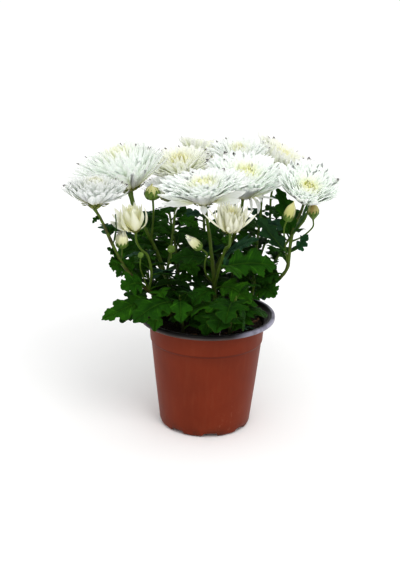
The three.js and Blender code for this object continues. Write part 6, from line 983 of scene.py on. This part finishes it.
# ============================================================ buds
def bud_visual(name, b):
    """A bud on its stalk: an egg of folded petals or bracts, each laid over the next."""
    rng = np.random.default_rng(b["seed"])
    M, O = to_axis(b["axis"]), np.array(b["base"])
    L, R = b["length"], b["radius"]
    green = b["kind"] == "green"
    S = Solids(["bu", "ba", "br", "bg", "pu", "pv", "pr", "pt", "pd", "pc", "pw", "ang", "su", "sr"])
    prof = ([(0, 0), (.30, 0), (.55, .02), (.80, .12), (.98, .28), (1.02, .46), (.98, .62), (.84, .80), (.60, .93), (.28, .995), (0, 1)] if green
            else [(0, 0), (.25, 0), (.42, .01), (.66, .07), (.86, .18), (.97, .32), (1.0, .44), (.93, .60), (.78, .75), (.56, .87), (.28, .96), (0, 1)])
    foot = b.get("foot", 0.0)
    prof = [(r * R * 0.93 * (1 - foot + foot * min(1.0, 0.12 + z / 0.62)), z * L * 0.95) for r, z in prof]
    pz, pr = np.array([z for _, z in prof]), np.array([r for r, _ in prof])
    lathe(S, prof, 24, M, O, 0, bu=pz[1:-1] / L, ba=0.0, br=b["brown"], bg=1.0 if green else 0.0)

    def wraps(count, z0, z1, rr, wd, g, turn, lift, sharp=1.0):
        """scales on the egg from height z0 to z1 (shares of its length), lifted off it towards their tips"""
        wide = np.array([.70, .90, 1, 1, .96, .84, .62, .34, .04]) ** sharp
        vv = np.array([-1, -.5, 0, .5, 1])
        for k in range(count):
            a = turn + k * 2 * np.pi / count + rng.normal(0, 0.06)
            zz = np.linspace(z0, z1 * rng.uniform(0.93, 1.06), 9)
            rad = np.interp(zz * L, pz, pr) * rr + lift * smooth(0.0, 1.0, np.linspace(0, 1, 9)) * rng.uniform(0.6, 1.3)
            rad = np.maximum(rad, 0.2)
            top = []
            for z, r, w in zip(zz, rad, wd * wide):
                th = a + vv * w / max(r, 0.9) + 0.22 * (z - z0)
                e = np.stack([np.cos(th), np.sin(th), 0 * th], -1)
                top.append(e * (r + 0.30 * (1 - vv ** 2))[:, None] + [0, 0, z * L])
            top = np.array(top)
            cen = np.zeros_like(top)
            cen[..., 2] = top[..., 2]
            low = top - unit(top - cen) * (0.34 * (1 - vv ** 2))[None, :, None]
            ringv = np.concatenate([top, low[:, -2:0:-1]], axis=1)
            i, j = np.meshgrid(np.arange(8), np.arange(8), indexing="ij")
            kk = (j + 1) % 8
            quads = np.stack([i * 8 + j, i * 8 + kk, (i + 1) * 8 + kk, (i + 1) * 8 + j], -1).reshape(-1, 4)
            tris = []
            for o, turned in ((0, True), (64, False)):
                for x in range(4):
                    a0, a1, b1, b0 = x, x + 1, (8 - x - 1) % 8, (8 - x) % 8
                    for tri in ((a0, a1, b1), (a0, b1, b0)):
                        if len(set(tri)) == 3:
                            tris.append([o + q for q in (tri[::-1] if turned else tri)])
            S.add(ringv.reshape(-1, 3) @ M.T + O, quads, tris, 0, bu=np.repeat(zz, 8), ba=a + np.tile(np.r_[vv, vv[-2:0:-1]], 9) * 0.12,
                  br=b["brown"] * rng.uniform(0.8, 1.1), bg=g)

    if green:
        wraps(8, 0.03, 0.86, 1.06, R * 0.40, 1.0, 0.1, 0.0)
        wraps(8, 0.20, 1.0, 1.03, R * 0.36, 1.0, 0.5, -0.2)
    else:
        loose = {"tight": 0.15, "opening": 0.8}[b["kind"]]
        wraps(9, 0.15, 1.00, 1.02, R * 0.36, 0.0, 0.0, loose)
        wraps(9, 0.20, 1.06, 0.98, R * 0.32, 0.0, 0.33, loose * 0.6)
        if b["kind"] == "opening" and not b.get("closed"):
            n = 15
            phi = np.arange(n) * 2.399963 + rng.normal(0, 0.1, n)
            er, ephi = np.stack([np.cos(phi), np.sin(phi), 0 * phi], -1), np.stack([-np.sin(phi), np.cos(phi), 0 * phi], -1)
            far, ez = np.sqrt((np.arange(n) + 0.6) / n)[:, None], np.array([0, 0, 1.0])
            base, tip = er * R * 0.72 * far + ez * L * 0.42, er * R * b.get("open", 0.62) * rng.uniform(0.55, 1.02, n)[:, None] * far + ez * (L * rng.uniform(0.98, 1.26, n))[:, None]
            petals(S, base @ M.T + O, (er * R * 1.04 * far + ez * L * 0.78) @ M.T + O, tip @ M.T + O, -ephi @ M.T, rng.uniform(1.3, 1.9, n), np.full(n, 0.3), 0.4,
                   rng.normal(0, 0.2, n), np.full(n, 0.8), rng.random(n), np.full(n, 0.4), np.zeros(n), 2, core=0.6, along=SHORT_U)
        up_to = b.get("sepals", 0.42)
        wraps(10, 0.0, up_to, 1.10, R * 0.30, 1.0, 0.2, 0.1)
        wraps(8, 0.0, up_to * 0.68, 1.17, R * 0.30, 1.0, 0.5, 0.3)
    P = crom([b["root"]] + b["stalk"], 34)
    P = np.vstack([P, P[-1] + np.array(b["axis"]) * 0.8])
    s = np.linspace(0, 1, len(P))
    tube(S, P, b["stalkRadius"] * (1.15 - 0.25 * smooth(0, 0.4, s) + 0.55 * smooth(0.93, 1.0, s)), 12, mat=1, rib=0.08, su=0.35 + 0.45 * s, sr=0.2)
    return S.build(name, [MAT_BUD, MAT_STEM, MAT_CREAM], sharp=62)


# ============================================================ leaves
# outline of one side: midrib place, edge place, half width, all as shares
OUTLINE = np.array([
    (0.000, 0.000, .05), (0.015, 0.050, .30), (0.040, 0.120, .58), (0.060, 0.190, .80), (0.085, 0.250, .92), (0.120, 0.290, .86),
    (0.165, 0.318, .70), (0.215, 0.335, .57), (0.250, 0.352, .50), (0.280, 0.382, .54), (0.305, 0.430, .68), (0.330, 0.492, .86), (0.355, 0.560, 1.00),
    (0.380, 0.615, 1.04), (0.425, 0.650, .90), (0.485, 0.668, .69), (0.545, 0.680, .51), (0.590, 0.700, .44), (0.625, 0.742, .49), (0.655, 0.792, .58),
    (0.690, 0.838, .57), (0.740, 0.870, .46), (0.795, 0.892, .36), (0.850, 0.916, .29), (0.905, 0.950, .21), (0.955, 0.985, .12), (1.000, 1.000, .02)])
VV = np.array([0, .22, .48, .74, 1.0])


def leaf_frames(base, bend, tip, roll, n=64):
    B, C, T = (np.array(x, float) for x in (base, bend, tip))
    w = np.linspace(0, 1, 200)[:, None]
    P = (1 - w) ** 2 * B + 2 * w * (1 - w) * C + w ** 2 * T
    s = np.r_[0, np.cumsum(np.linalg.norm(np.diff(P, axis=0), axis=1))]
    q = np.linspace(0, s[-1], n + 1)
    ww = np.interp(q, s, w[:, 0])[:, None]
    P = (1 - ww) ** 2 * B + 2 * ww * (1 - ww) * C + ww ** 2 * T
    tan = unit(2 * (1 - ww) * (C - B) + 2 * ww * (T - C))
    up = np.array([0, 0, 1.0])
    if abs(tan[0, 2]) > 0.93:
        up = unit(np.array([B[0] - T[0], B[1] - T[1], 0.2]))
    U, W = [], []
    for t in tan:
        up = up - t * np.dot(up, t)
        up = up / max(1e-9, np.linalg.norm(up))
        U.append(up)
        W.append(np.cross(t, up))
    U, W = np.array(U), np.array(W)
    a = math.radians(roll)
    return P, tan, U * math.cos(a) + W * math.sin(a), W * math.cos(a) - U * math.sin(a), s[-1]


def add_leaf(S, spec, seed, tint, mat, stations=60, root=None, teeth=13, fuller=1.0):
    base, bend, tip, hw, roll, fold, pf = spec
    hw *= fuller
    rng = np.random.default_rng(seed)
    P, T, U, W, length = leaf_frames(base, bend, tip, roll)
    n = len(P) - 1

    def at(along):
        s = np.clip(along, 0, 1) * n
        i = np.minimum(n - 1, s.astype(int))
        f = (s - i)[..., None]
        g = lambda A: A[i] * (1 - f) + A[i + 1] * f
        return g(P), unit(g(U)), unit(g(W))

    Lb = length * (1 - pf)
    cols = []
    for sgn in (1, -1):
        # each side differs a little
        O = OUTLINE.copy()
        O[1:-1, 2] *= 1 + rng.normal(0, 0.035, len(O) - 2)
        O[1:-1, 1] += rng.normal(0, 0.006, len(O) - 2)
        q = crom(np.c_[O[:, 1] * Lb, O[:, 2] * hw, O[:, 0] * Lb], 400)
        d = np.r_[0, np.cumsum(np.linalg.norm(np.diff(q[:, :2], axis=0), axis=1))]
        s = d / d[-1]
        # teeth stand out from the edge and point forwards
        phase = teeth * s + rng.uniform(0, 1)
        saw = phase % 1.0
        tooth = np.where(saw < 0.68, saw / 0.68, (1 - saw) / 0.32) - 0.45
        nrm = np.gradient(q[:, :2], axis=0)
        nrm = unit(np.c_[-nrm[:, 1], nrm[:, 0]])
        amp = min(1.25, 0.075 * hw) * smooth(0.02, 0.10, s) * (1 - 0.6 * smooth(0.93, 1.0, s))
        q[:, :2] += nrm * (tooth * amp)[:, None]
        # stations: by length along the edge
        k = np.linspace(0, d[-1], stations)
        cols.append(np.stack([np.interp(k, d, q[:, 2]) / Lb, np.interp(k, d, q[:, 0]) / Lb, np.maximum(0.0, np.interp(k, d, q[:, 1]))], -1))
    fo = math.radians(fold)
    wave_a, wave_b = rng.uniform(0, 6.28, 2)
    droop = rng.uniform(0.4, 1.3)
    sides = []
    for sgn, q in zip((1, -1), cols):
        m, a, b = q[:, 0][:, None], q[:, 1][:, None], q[:, 2][:, None]
        v = VV[None]
        along = pf + (1 - pf) * (m + (a - m) * v ** 0.9)
        across = b * v
        # blade swells between side veins, lobes nod, and the edge waves
        swell = 0.055 * hw * np.sin(np.pi * v) ** 0.8 * (0.35 + 0.65 * np.abs(np.sin(9.5 * m * np.pi / 1.9 + 0.35)))
        nod = -0.10 * hw * droop * v ** 2 * smooth(0.35, 0.95, across / hw)
        wave = 0.055 * hw * v ** 1.5 * np.sin(7.5 * a * np.pi / 2.1 + (wave_a if sgn > 0 else wave_b))
        groove = -0.018 * hw * np.exp(-(v / 0.12) ** 2)
        lift = swell + nod + wave + groove
        p, u, w = at(along)
        V = p + w * (sgn * across * math.cos(fo))[..., None] + u * (across * math.sin(fo) + lift)[..., None]
        sides.append((V, u, m, a, v))
    nv = len(VV)
    thick = 0.42
    # one grid over both sides: one edge .. midrib .. the other edge
    Vr, ur = sides[1][0][:, ::-1], sides[1][1][:, ::-1]
    Vl, ul = sides[0][0], sides[0][1]
    mid = (Vr[:, -1] + Vl[:, 0]) / 2
    top = np.concatenate([Vr[:, :-1], mid[:, None], Vl[:, 1:]], axis=1)
    upv = np.concatenate([ur[:, :-1], ur[:, -1:], ul[:, 1:]], axis=1)
    vv = np.r_[VV[::-1][:-1], 0, VV[1:]]
    across_n = len(vv)
    low = top - upv * (thick * (1 - vv ** 6))[None, :, None]
    ringv = np.concatenate([top, low[:, -2:0:-1]], axis=1)
    around = ringv.shape[1]
    i, j = np.meshgrid(np.arange(stations - 1), np.arange(around), indexing="ij")
    k = (j + 1) % around
    quads = np.stack([i * around + j, i * around + k, (i + 1) * around + k, (i + 1) * around + j], -1).reshape(-1, 4)
    tris = []
    for o, turn in ((0, True), ((stations - 1) * around, False)):
        for x in range(across_n - 1):
            a0, a1 = x, x + 1
            b1, b0 = (around - (x + 1)) % around, (around - x) % around
            if x + 1 == across_n - 1:
                b1 = a1
            for tri in ((a0, a1, b1), (a0, b1, b0)):
                if len(set(tri)) == 3:
                    tris.append([o + z for z in (tri[::-1] if turn else tri)])
    mm = np.concatenate([np.repeat(cols[1][:, :1], nv - 1, 1), cols[0][:, :1] * 0.5 + cols[1][:, :1] * 0.5, np.repeat(cols[0][:, :1], nv - 1, 1)], axis=1)
    lm = np.concatenate([mm, mm[:, -2:0:-1]], axis=1)
    lv = np.r_[vv, vv[-2:0:-1]]
    lb = np.r_[np.zeros(across_n), np.ones(around - across_n)]
    S.add(ringv.reshape(-1, 3), quads, tris, mat, lm=lm.ravel(), lv=np.tile(lv, stations), lr=rng.random(), lt=tint, lb=np.tile(lb, stations), lk=0.0)
    # petiole and midrib: one tapering rod that runs on under the blade
    s = np.r_[np.linspace(0, pf, 5)[:-1], np.linspace(pf, 0.97, 12)]
    p, u, w = at(s)
    rad = np.interp(s, [0, pf, pf + 0.12, 0.6, 0.97], [1.0, 0.78, 0.62, 0.38, 0.16]) * min(1.0, 0.55 + hw / 28)
    p = p - u * (np.interp(s, [0, pf * 0.9, pf + 0.05, 1], [0, 0, 1, 1]) * (rad * 0.62 + 0.12))[:, None]
    if root is not None:
        root = np.array(root, float)
        if np.linalg.norm(root - p[0]) > 0.8:
            p = np.vstack([root, root * 0.5 + p[0] * 0.5, p])
            rad = np.r_[rad[0] * 1.15, rad[0] * 1.05, rad]
    tube(S, p, rad, 7, mat=mat, lm=0.0, lv=0.5, lr=0.5, lt=tint, lb=0.0, lk=1.0)


LEAF_NAMES = ["lm", "lv", "lr", "lt", "lb", "lk"]
STEM_NAMES = ["ang", "su", "sr"]


def nearest(P, x):
    return P[np.argmin(np.linalg.norm(P - np.array(x), axis=1))]


def curve_of(stem):
    s = STEMS[stem]
    return crom(s["points"], 160)


def stem_visual(name, s):
    rng = np.random.default_rng(s["seed"])
    S = Solids(LEAF_NAMES + STEM_NAMES)
    pts = [np.array(p, float) for p in s["points"]]
    r0, r1 = s["radii"]
    d = unit(pts[1] - pts[0])
    if s["root"] is None:
        head = [pts[0] - np.array([0, 0, 5.0])]
    else:
        head = [np.array(s["root"], float)]
    end = pts[-1] + unit(pts[-1] - pts[-2]) * 1.0
    P = crom(head + pts + [end], max(30, int(len(pts) * 5.5)))
    L = np.linalg.norm(np.diff(P, axis=0), axis=1).sum()
    u = np.linspace(0, 1, len(P))
    R = 0.90 * (r0 + (r1 - r0) * u)
    # slight swellings where leaves join, and a flare under the head
    for l in s["leaves"]:
        k = np.argmin(np.linalg.norm(P - np.array(l[0]), axis=1))
        R = R * (1 + 0.16 * np.exp(-((u - u[k]) * L / 2.2) ** 2))
    R = R * (1 + 0.55 * smooth(L - 5.0, L, u * L)) * (1 + 0.012 * np.sin(u * 40 + s["seed"]))
    if s["root"] is None:
        R = R * (1 + 0.22 * np.exp(-(u * L / 7.0) ** 2))
    tube(S, P, R, 18, rib=0.10, ribs=6, mat=0, su=np.clip((P[:, 2] - SOIL) / 125, 0, 1) * 0.9 + 0.05, sr=s["rough"])
    for k, l in enumerate(s["leaves"]):
        add_leaf(S, l, s["seed"] * 100 + k, s["tints"][k], 1, stations=46, root=None, teeth=9, fuller=1.10)
    return S.build(name, [MAT_STEM, MAT_LEAF], sharp=70)


def leaf_visual(name, l):
    S = Solids(LEAF_NAMES + STEM_NAMES)
    add_leaf(S, l["shape"], l["seed"], l["tint"], 0, stations=84, root=nearest(curve_of(l["on"]), l["shape"][0]), teeth=15)
    return S.build(name, [MAT_LEAF], sharp=70)


def shoot_visual(name, s):
    rng = np.random.default_rng(s["seed"])
    S = Solids(LEAF_NAMES + STEM_NAMES)
    pts = [np.array(p, float) for p in s["points"]]
    P = crom([pts[0] - np.array([0, 0, 5.0])] + pts + [pts[-1] + unit(pts[-1] - pts[-2]) * 2.5], 36)
    u = np.linspace(0, 1, len(P))
    R = s["radii"][0] + (s["radii"][1] - s["radii"][0]) * u
    R = R * (1 - 0.55 * smooth(0.9, 1.0, u))
    tube(S, P, R, 14, rib=0.10, ribs=6, mat=0, su=0.02 + 0.66 * smooth(0.25, 0.9, u), sr=np.maximum(s["rough"], 0.95 - smooth(0.1, 0.5, u)))
    for k, l in enumerate(s["leaves"]):
        add_leaf(S, l, s["seed"] * 100 + k, s["tints"][k], 1, stations=46, teeth=10, fuller=1.10)
    return S.build(name, [MAT_STEM, MAT_LEAF], sharp=70)


# ============================================================ pot and potting mix
# bark chips: place, turn in degrees and half sizes; the dry hair: points along it
CHIPS = [(19.6, -26.2, 25, (4.6, 1.5, 0.9)), (24.4, -20.4, 62, (3.0, 1.2, 0.8)), (46.2, 6.0, 40, (4.2, 1.7, 1.0)), (49.6, 12.5, 80, (3.0, 1.4, 0.9)),
         (-12.0, -30.0, 10, (3.6, 1.3, 0.8)), (6.0, 38.0, 120, (3.4, 1.5, 0.9)), (-38.0, 20.0, 75, (4.0, 1.4, 0.9)), (38.0, 30.0, 15, (3.2, 1.3, 0.8))]
HAIR = [(16.2, -33.5, 112.3), (14.0, -33.8, 109.5), (12.7, -34.2, 106.0), (12.1, -34.6, 102.0), (11.9, -34.9, 98.6)]


def arc(cx, cz, r, a0, a1, n):
    a = np.radians(np.linspace(a0, a1, n))
    return [(cx + r * math.cos(x), cz + r * math.sin(x)) for x in a]


def pot_visual():
    """The pot as a fine turned skin: outside wall with its step, rolled lip, black inside, feet with channels and drain holes."""
    H, RR = 111.0, 65.0
    out = [(0, 0), (8, 0), (14, 0), (20.5, 0), (22.5, 0), (26, 0), (29, 0), (31, 0), (33, 0), (35, 0), (37, 0), (39, 0), (40.3, 0.05), (41.2, 0.25), (42.1, 0.7), (42.8, 1.3), (43.3, 2.2), (43.75, 4.0)]
    out += [(43.75 + (48.5 - 43.75) * (z - 4) / 40, z) for z in np.linspace(8, 44, 8)]
    out += [(48.5 + (52.8 - 48.5) * (z - 44) / 40, z) for z in np.linspace(49, 84, 7)]
    out += [(52.90, 84.6), (53.05, 85.0), (53.45, 85.5), (53.75, 85.9), (53.88, 86.5), (53.95, 87.6)]
    out += [(53.95 + (54.70 - 53.95) * (z - 87.6) / 13.4, z) for z in np.linspace(90, 101, 5)]
    out += [(55.0, 102.6), (55.6, 103.9), (56.7, 105.0), (58.0, 105.7), (59.6, 106.1), (61.6, 106.35), (63.2, 106.5), (64.2, 106.7), (64.75, 107.2), (64.95, 108.0), (65.0, 109.0), (64.95, 109.9), (64.75, 110.5), (64.35, 110.87)]
    ntop = len(out)
    ins = [(63.7, 111.0), (62.4, 110.95), (61.2, 110.8), (60.3, 110.45), (59.4, 109.7), (58.5, 108.6), (57.6, 107.5), (56.6, 106.4), (55.5, 105.3), (54.6, 104.2), (54.15, 103.2), (54.05, 102), (53.9, 98), (53.6, 92), (53.45, 87.6), (53.2, 86.6), (52.4, 85.9), (51.9, 85.2), (51.75, 84.0)]
    ins += [(51.75 - 9.1 * (84 - z) / 79, z) for z in np.linspace(76, 6, 9)]
    ins += [(41.9, 4.2), (40.5, 3.9), (36, 3.9), (30, 3.9), (23, 3.9), (20, 3.2), (16, 1.6), (13, 1.2), (0, 1.2)]
    prof = np.array(out + ins)
    around = 288
    S = Solids(["kb"])
    lathe(S, prof, around, kb=np.r_[[1.0 if (x > 57.5 and z > 100) else 0.0 for x, z in out[1:]], np.ones(len(ins) - 1)])
    v = S.v[0]
    r = np.hypot(v[:, 0], v[:, 1])
    a = np.degrees(np.arctan2(v[:, 1], v[:, 0]))
    d = np.abs(((a + 105 + 720) % 45) - 22.5)
    isout = np.r_[np.repeat(np.arange(len(prof) - 2) < ntop - 1, around), True, False]
    # radial channels under the pot, open at its edge
    ch = smooth(11.5, 7.5, d) * smooth(20.5, 23.5, r)
    low = isout & (v[:, 2] < 3.9)
    lift = 3.1 * ch
    v[:, 2] = np.where(low, np.maximum(v[:, 2], lift + 0.25 * np.clip(v[:, 2], 0, 4)), v[:, 2])
    v[:, 2] = np.where(isout & (v[:, 2] < 0.001), 0.0, v[:, 2])
    # the moulding is never quite round
    wob = 1 + 0.0022 * np.sin(np.radians(2 * a + 40)) * smooth(10, 100, v[:, 2])
    v[:, 0] *= wob
    v[:, 1] *= wob
    ob = S.build("pot_moulding", [MAT_POT], sharp=50)
    # drain holes
    cut = bpy.data.meshes.new("holes")
    C = Solids([])
    for k in range(8):
        b = math.radians(-105 + 22.5 + 45 * k)
        cx, cy = 34 * math.cos(b), 34 * math.sin(b)
        lathe(C, [(0, -1), (3.6, -1), (3.6, 7), (0, 7)], 24, O=(cx, cy, 0))
    hole = C.build("holes", [], None)
    mod = ob.modifiers.new("holes", "BOOLEAN")
    mod.operation, mod.object, mod.solver = "DIFFERENCE", hole, "EXACT"
    dg = bpy.context.evaluated_depsgraph_get()
    me = bpy.data.meshes.new_from_object(ob.evaluated_get(dg))
    ob.modifiers.clear()
    old = ob.data
    ob.data = me
    bpy.data.meshes.remove(old)
    bpy.data.objects.remove(hole)
    me.name = "pot_moulding"
    return ob


def soil_visual():
    rng = np.random.default_rng(77)
    S = Solids(["sk"])
    around = 160
    r = np.r_[53.45, 53.3, 52.8, np.linspace(51.5, 1.2, 34)]
    a = np.arange(around) * 2 * np.pi / around
    waves = [(rng.normal(0, 1, 2) * f, rng.uniform(0, 6.28), g) for f, g in [(0.05, 0.5)] * 4 + [(0.14, 0.35)] * 6 + [(0.35, 0.28)] * 10 + [(0.8, 0.22)] * 14]

    def ground(x, y):
        z = np.zeros_like(x)
        for k, ph, g in waves:
            z += g * np.sin(k[0] * x + k[1] * y + ph)
        return SOIL + np.clip(z, -2.2, 1.7)

    side = [(41.8, 4.3), (45.6, 36.0), (48.5, 60.0), (51.3, 85.3), (52.9, 87.1), (53.4, 95.5)]
    V = [np.stack([x * np.cos(a), x * np.sin(a), np.full(around, z)], -1) for x, z in side]
    for k, x in enumerate(r):
        px, py = x * np.cos(a), x * np.sin(a)
        V.append(np.stack([px, py, np.minimum(ground(px, py), 100.2) - (0.9 if k == 0 else 0)], -1))
    V = np.array(V)
    quads, tris = rings_faces(len(V), around)
    top = V[-1].mean(0)
    S.add(np.vstack([V.reshape(-1, 3), [0, 0, 4.3], top]), quads, tris, 0, sk=0.0)
    # crumbs, bark bits and short fibres lie half sunk in the surface
    ico = []
    g = (1 + 5 ** 0.5) / 2
    ico_v = unit(np.array([(-1, g, 0), (1, g, 0), (-1, -g, 0), (1, -g, 0), (0, -1, g), (0, 1, g), (0, -1, -g), (0, 1, -g), (g, 0, -1), (g, 0, 1), (-g, 0, -1), (-g, 0, 1)], float))
    ico_f = np.array([(0, 11, 5), (0, 5, 1), (0, 1, 7), (0, 7, 10), (0, 10, 11), (1, 5, 9), (5, 11, 4), (11, 10, 2), (10, 7, 6), (7, 1, 8), (3, 9, 4), (3, 4, 2), (3, 2, 6), (3, 6, 8), (3, 8, 9), (4, 9, 5), (2, 4, 11), (6, 2, 10), (8, 6, 7), (9, 8, 1)])
    # one subdivision for rounder crumbs
    mids, f2, vs = {}, [], list(ico_v)
    def midp(i, j):
        k = (min(i, j), max(i, j))
        if k not in mids:
            mids[k] = len(vs)
            vs.append(unit((vs[i] + vs[j]) / 2))
        return mids[k]
    for x, y, z in ico_f:
        p, q, w = midp(x, y), midp(y, z), midp(z, x)
        f2 += [(x, p, w), (y, q, p), (z, w, q), (p, q, w)]
    ball, bf = np.array(vs), np.array(f2)
    for k in range(640):
        rad = 52.3 * math.sqrt(rng.random())
        th = rng.uniform(0, 2 * np.pi)
        x, y = rad * math.cos(th), rad * math.sin(th)
        size = rng.uniform(0.35, 1.0) if rng.random() < 0.86 else rng.uniform(1.0, 2.0)
        room = 53.0 - rad
        size = min(size, max(0.3, room * 0.9))
        sc = size * rng.uniform(0.6, 1.3, 3) * np.array([1, 1, 0.8])
        q = ball * (1 + 0.28 * np.sin(ball @ rng.normal(0, 3, (3, 3)) + rng.uniform(0, 6, 3)).sum(1, keepdims=True) / 3)
        ax = unit(rng.normal(0, 1, 3))
        Rm = np.array(Matrix.Rotation(rng.uniform(0, 6.28), 3, Vector(ax)))
        z = float(ground(np.array([x]), np.array([y]))[0])
        S.add((q * sc) @ Rm.T + [x, y, min(z, 100.2) + size * 0.22], [], bf, 0, sk=rng.random() ** 2.2)
    for k in range(70):
        rad, th = 50 * math.sqrt(rng.random()), rng.uniform(0, 2 * np.pi)
        x, y = rad * math.cos(th), rad * math.sin(th)
        L, d = rng.uniform(3, 8), rng.uniform(0, 2 * np.pi)
        w = np.linspace(-0.5, 0.5, 7)
        bend = rng.normal(0, 1.0)
        px = x + w * L * math.cos(d) - bend * (w ** 2) * 4 * math.sin(d)
        py = y + w * L * math.sin(d) + bend * (w ** 2) * 4 * math.cos(d)
        if np.hypot(px, py).max() > 52.3:
            continue
        pz = np.minimum(ground(px, py), 100.2) + 0.35
        pz = np.convolve(np.r_[pz[0], pz, pz[-1]], [0.25, 0.5, 0.25], "valid") + 0.15
        tube(S, np.stack([px, py, pz], -1), np.full(7, rng.uniform(0.2, 0.42)), 6, mat=0, sk=rng.uniform(0.5, 1.0))
    # chips of bark and one dry hair near the front
    for x, y, ang, size in CHIPS:
        q = ball * (1 + 0.22 * np.sin(ball @ rng.normal(0, 3, (3, 3)) + rng.uniform(0, 6, 3)).sum(1, keepdims=True) / 3) * size
        Rm = np.array(Matrix.Rotation(math.radians(ang), 3, "Z"))
        z = float(ground(np.array([x]), np.array([y]))[0])
        S.add(q @ Rm.T + [x, y, min(z, 100.2) + size[2] * 0.5], [], bf, 0, sk=0.95)
    hair = crom(HAIR, 16)
    tube(S, hair, np.full(16, 0.33), 6, mat=1, sk=0.0)
    return S.build("potting_mix_crumbs", [MAT_SOIL, MAT_FIBRE], sharp=None)


# ============================================================ building it all
def finished(ob, slot, *nodes):
    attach(ob, "root")
    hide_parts(*nodes)
    return ob


finished(pot_visual(), "pot_plastic", "nursery_pot")
finished(soil_visual(), "potting_mix", "potting_soil")
for name, s in STEMS.items():
    finished(stem_visual(name + "_grown", s), "stem", name)
for name, h in HEADS.items():
    finished(head_visual(name + "_petals", h), "petal", name)
for name, b in BUDS.items():
    finished(bud_visual(name + "_grown", b), "bud_green" if b["kind"] == "green" else "bud_cream", name)
for name, l in LEAVES.items():
    finished(leaf_visual(name + "_blade", l), "leaf", name)
for name, s in SHOOTS.items():
    finished(shoot_visual(name + "_grown", s), "leaf", name)

# ============================================================ floor, light, camera
sc = bpy.context.scene


def sheet(name, size, z, mat):
    me = bpy.data.meshes.new(name)
    n = 24
    xs = np.linspace(-size, size, n)
    v = [(x, y, z) for y in xs for x in xs]
    f = [(j * n + i, j * n + i + 1, (j + 1) * n + i + 1, (j + 1) * n + i) for j in range(n - 1) for i in range(n - 1)]
    me.from_pydata(v, [], f)
    me.materials.append(mat)
    ob = bpy.data.objects.new(name, me)
    sc.collection.objects.link(ob)
    return ob


floor_mat = bpy.data.materials.new("floor_pale")
floor_mat.use_nodes = True
floor_mat.node_tree.nodes["Principled BSDF"].inputs["Base Color"].default_value = (0.93, 0.93, 0.93, 1)
floor_mat.node_tree.nodes["Principled BSDF"].inputs["Roughness"].default_value = 0.9
floor_mat.node_tree.nodes["Principled BSDF"].inputs["Specular IOR Level"].default_value = 0.1
sheet("floor", 6.0, -0.0003, floor_mat)

world = bpy.data.worlds.new("studio")
sc.world = world
world.use_nodes = True
world.node_tree.nodes["Background"].inputs["Color"].default_value = (1.0, 1.0, 1.0, 1)
world.node_tree.nodes["Background"].inputs["Strength"].default_value = 0.92


def area(name, at, aim, size, power, color=(1, 1, 1)):
    d = bpy.data.lights.new(name, "AREA")
    d.shape = "DISK"
    d.size = size
    d.energy = power
    d.color = color
    o = bpy.data.objects.new(name, d)
    o.location = at
    o.rotation_euler = (Vector(aim) - Vector(at)).to_track_quat("-Z", "Y").to_euler()
    sc.collection.objects.link(o)
    return o


area("key", (0.45, -0.95, 1.30), (0, 0, 0.15), 0.7, 5, (1.0, 0.99, 0.97))
sun = bpy.data.lights.new("overcast_sun", "SUN")
sun.energy = 0.90
sun.angle = math.radians(55)
sob = bpy.data.objects.new("overcast_sun", sun)
sob.rotation_euler = Vector((-0.12, 0.86, -0.95)).to_track_quat("-Z", "Y").to_euler()
sc.collection.objects.link(sob)

# the camera stands 1.2 m from the plant and looks down on it by 18.7 degrees
F_PX, DIST, ELEV, ROLL, AX, AZ = 1264.0, 1.2, math.radians(18.74), math.radians(1.29), -0.0073, 0.1384
back = Vector((0, -math.cos(ELEV), math.sin(ELEV)))
right = Vector((1, 0, 0))
up = back.cross(right)
R_ = right * math.cos(ROLL) + up * math.sin(ROLL)
U_ = up * math.cos(ROLL) - right * math.sin(ROLL)
cam = bpy.data.cameras.new("camera")
cam.sensor_fit = "VERTICAL"
cam.sensor_height = 24
cam.lens = F_PX / 570 * 24
cam.clip_start, cam.clip_end = 0.05, 30
cob = bpy.data.objects.new("camera", cam)
pos = Vector((AX, 0, AZ)) + back * DIST
cob.matrix_world = Matrix(((R_.x, U_.x, back.x, pos.x), (R_.y, U_.y, back.y, pos.y), (R_.z, U_.z, back.z, pos.z), (0, 0, 0, 1)))
sc.collection.objects.link(cob)
sc.camera = cob
sc.view_settings.view_transform = "Standard"
sc.view_settings.gamma = 0.88
# petals pass light to and fro many times
sc.cycles.max_bounces = 24
sc.cycles.diffuse_bounces = 16
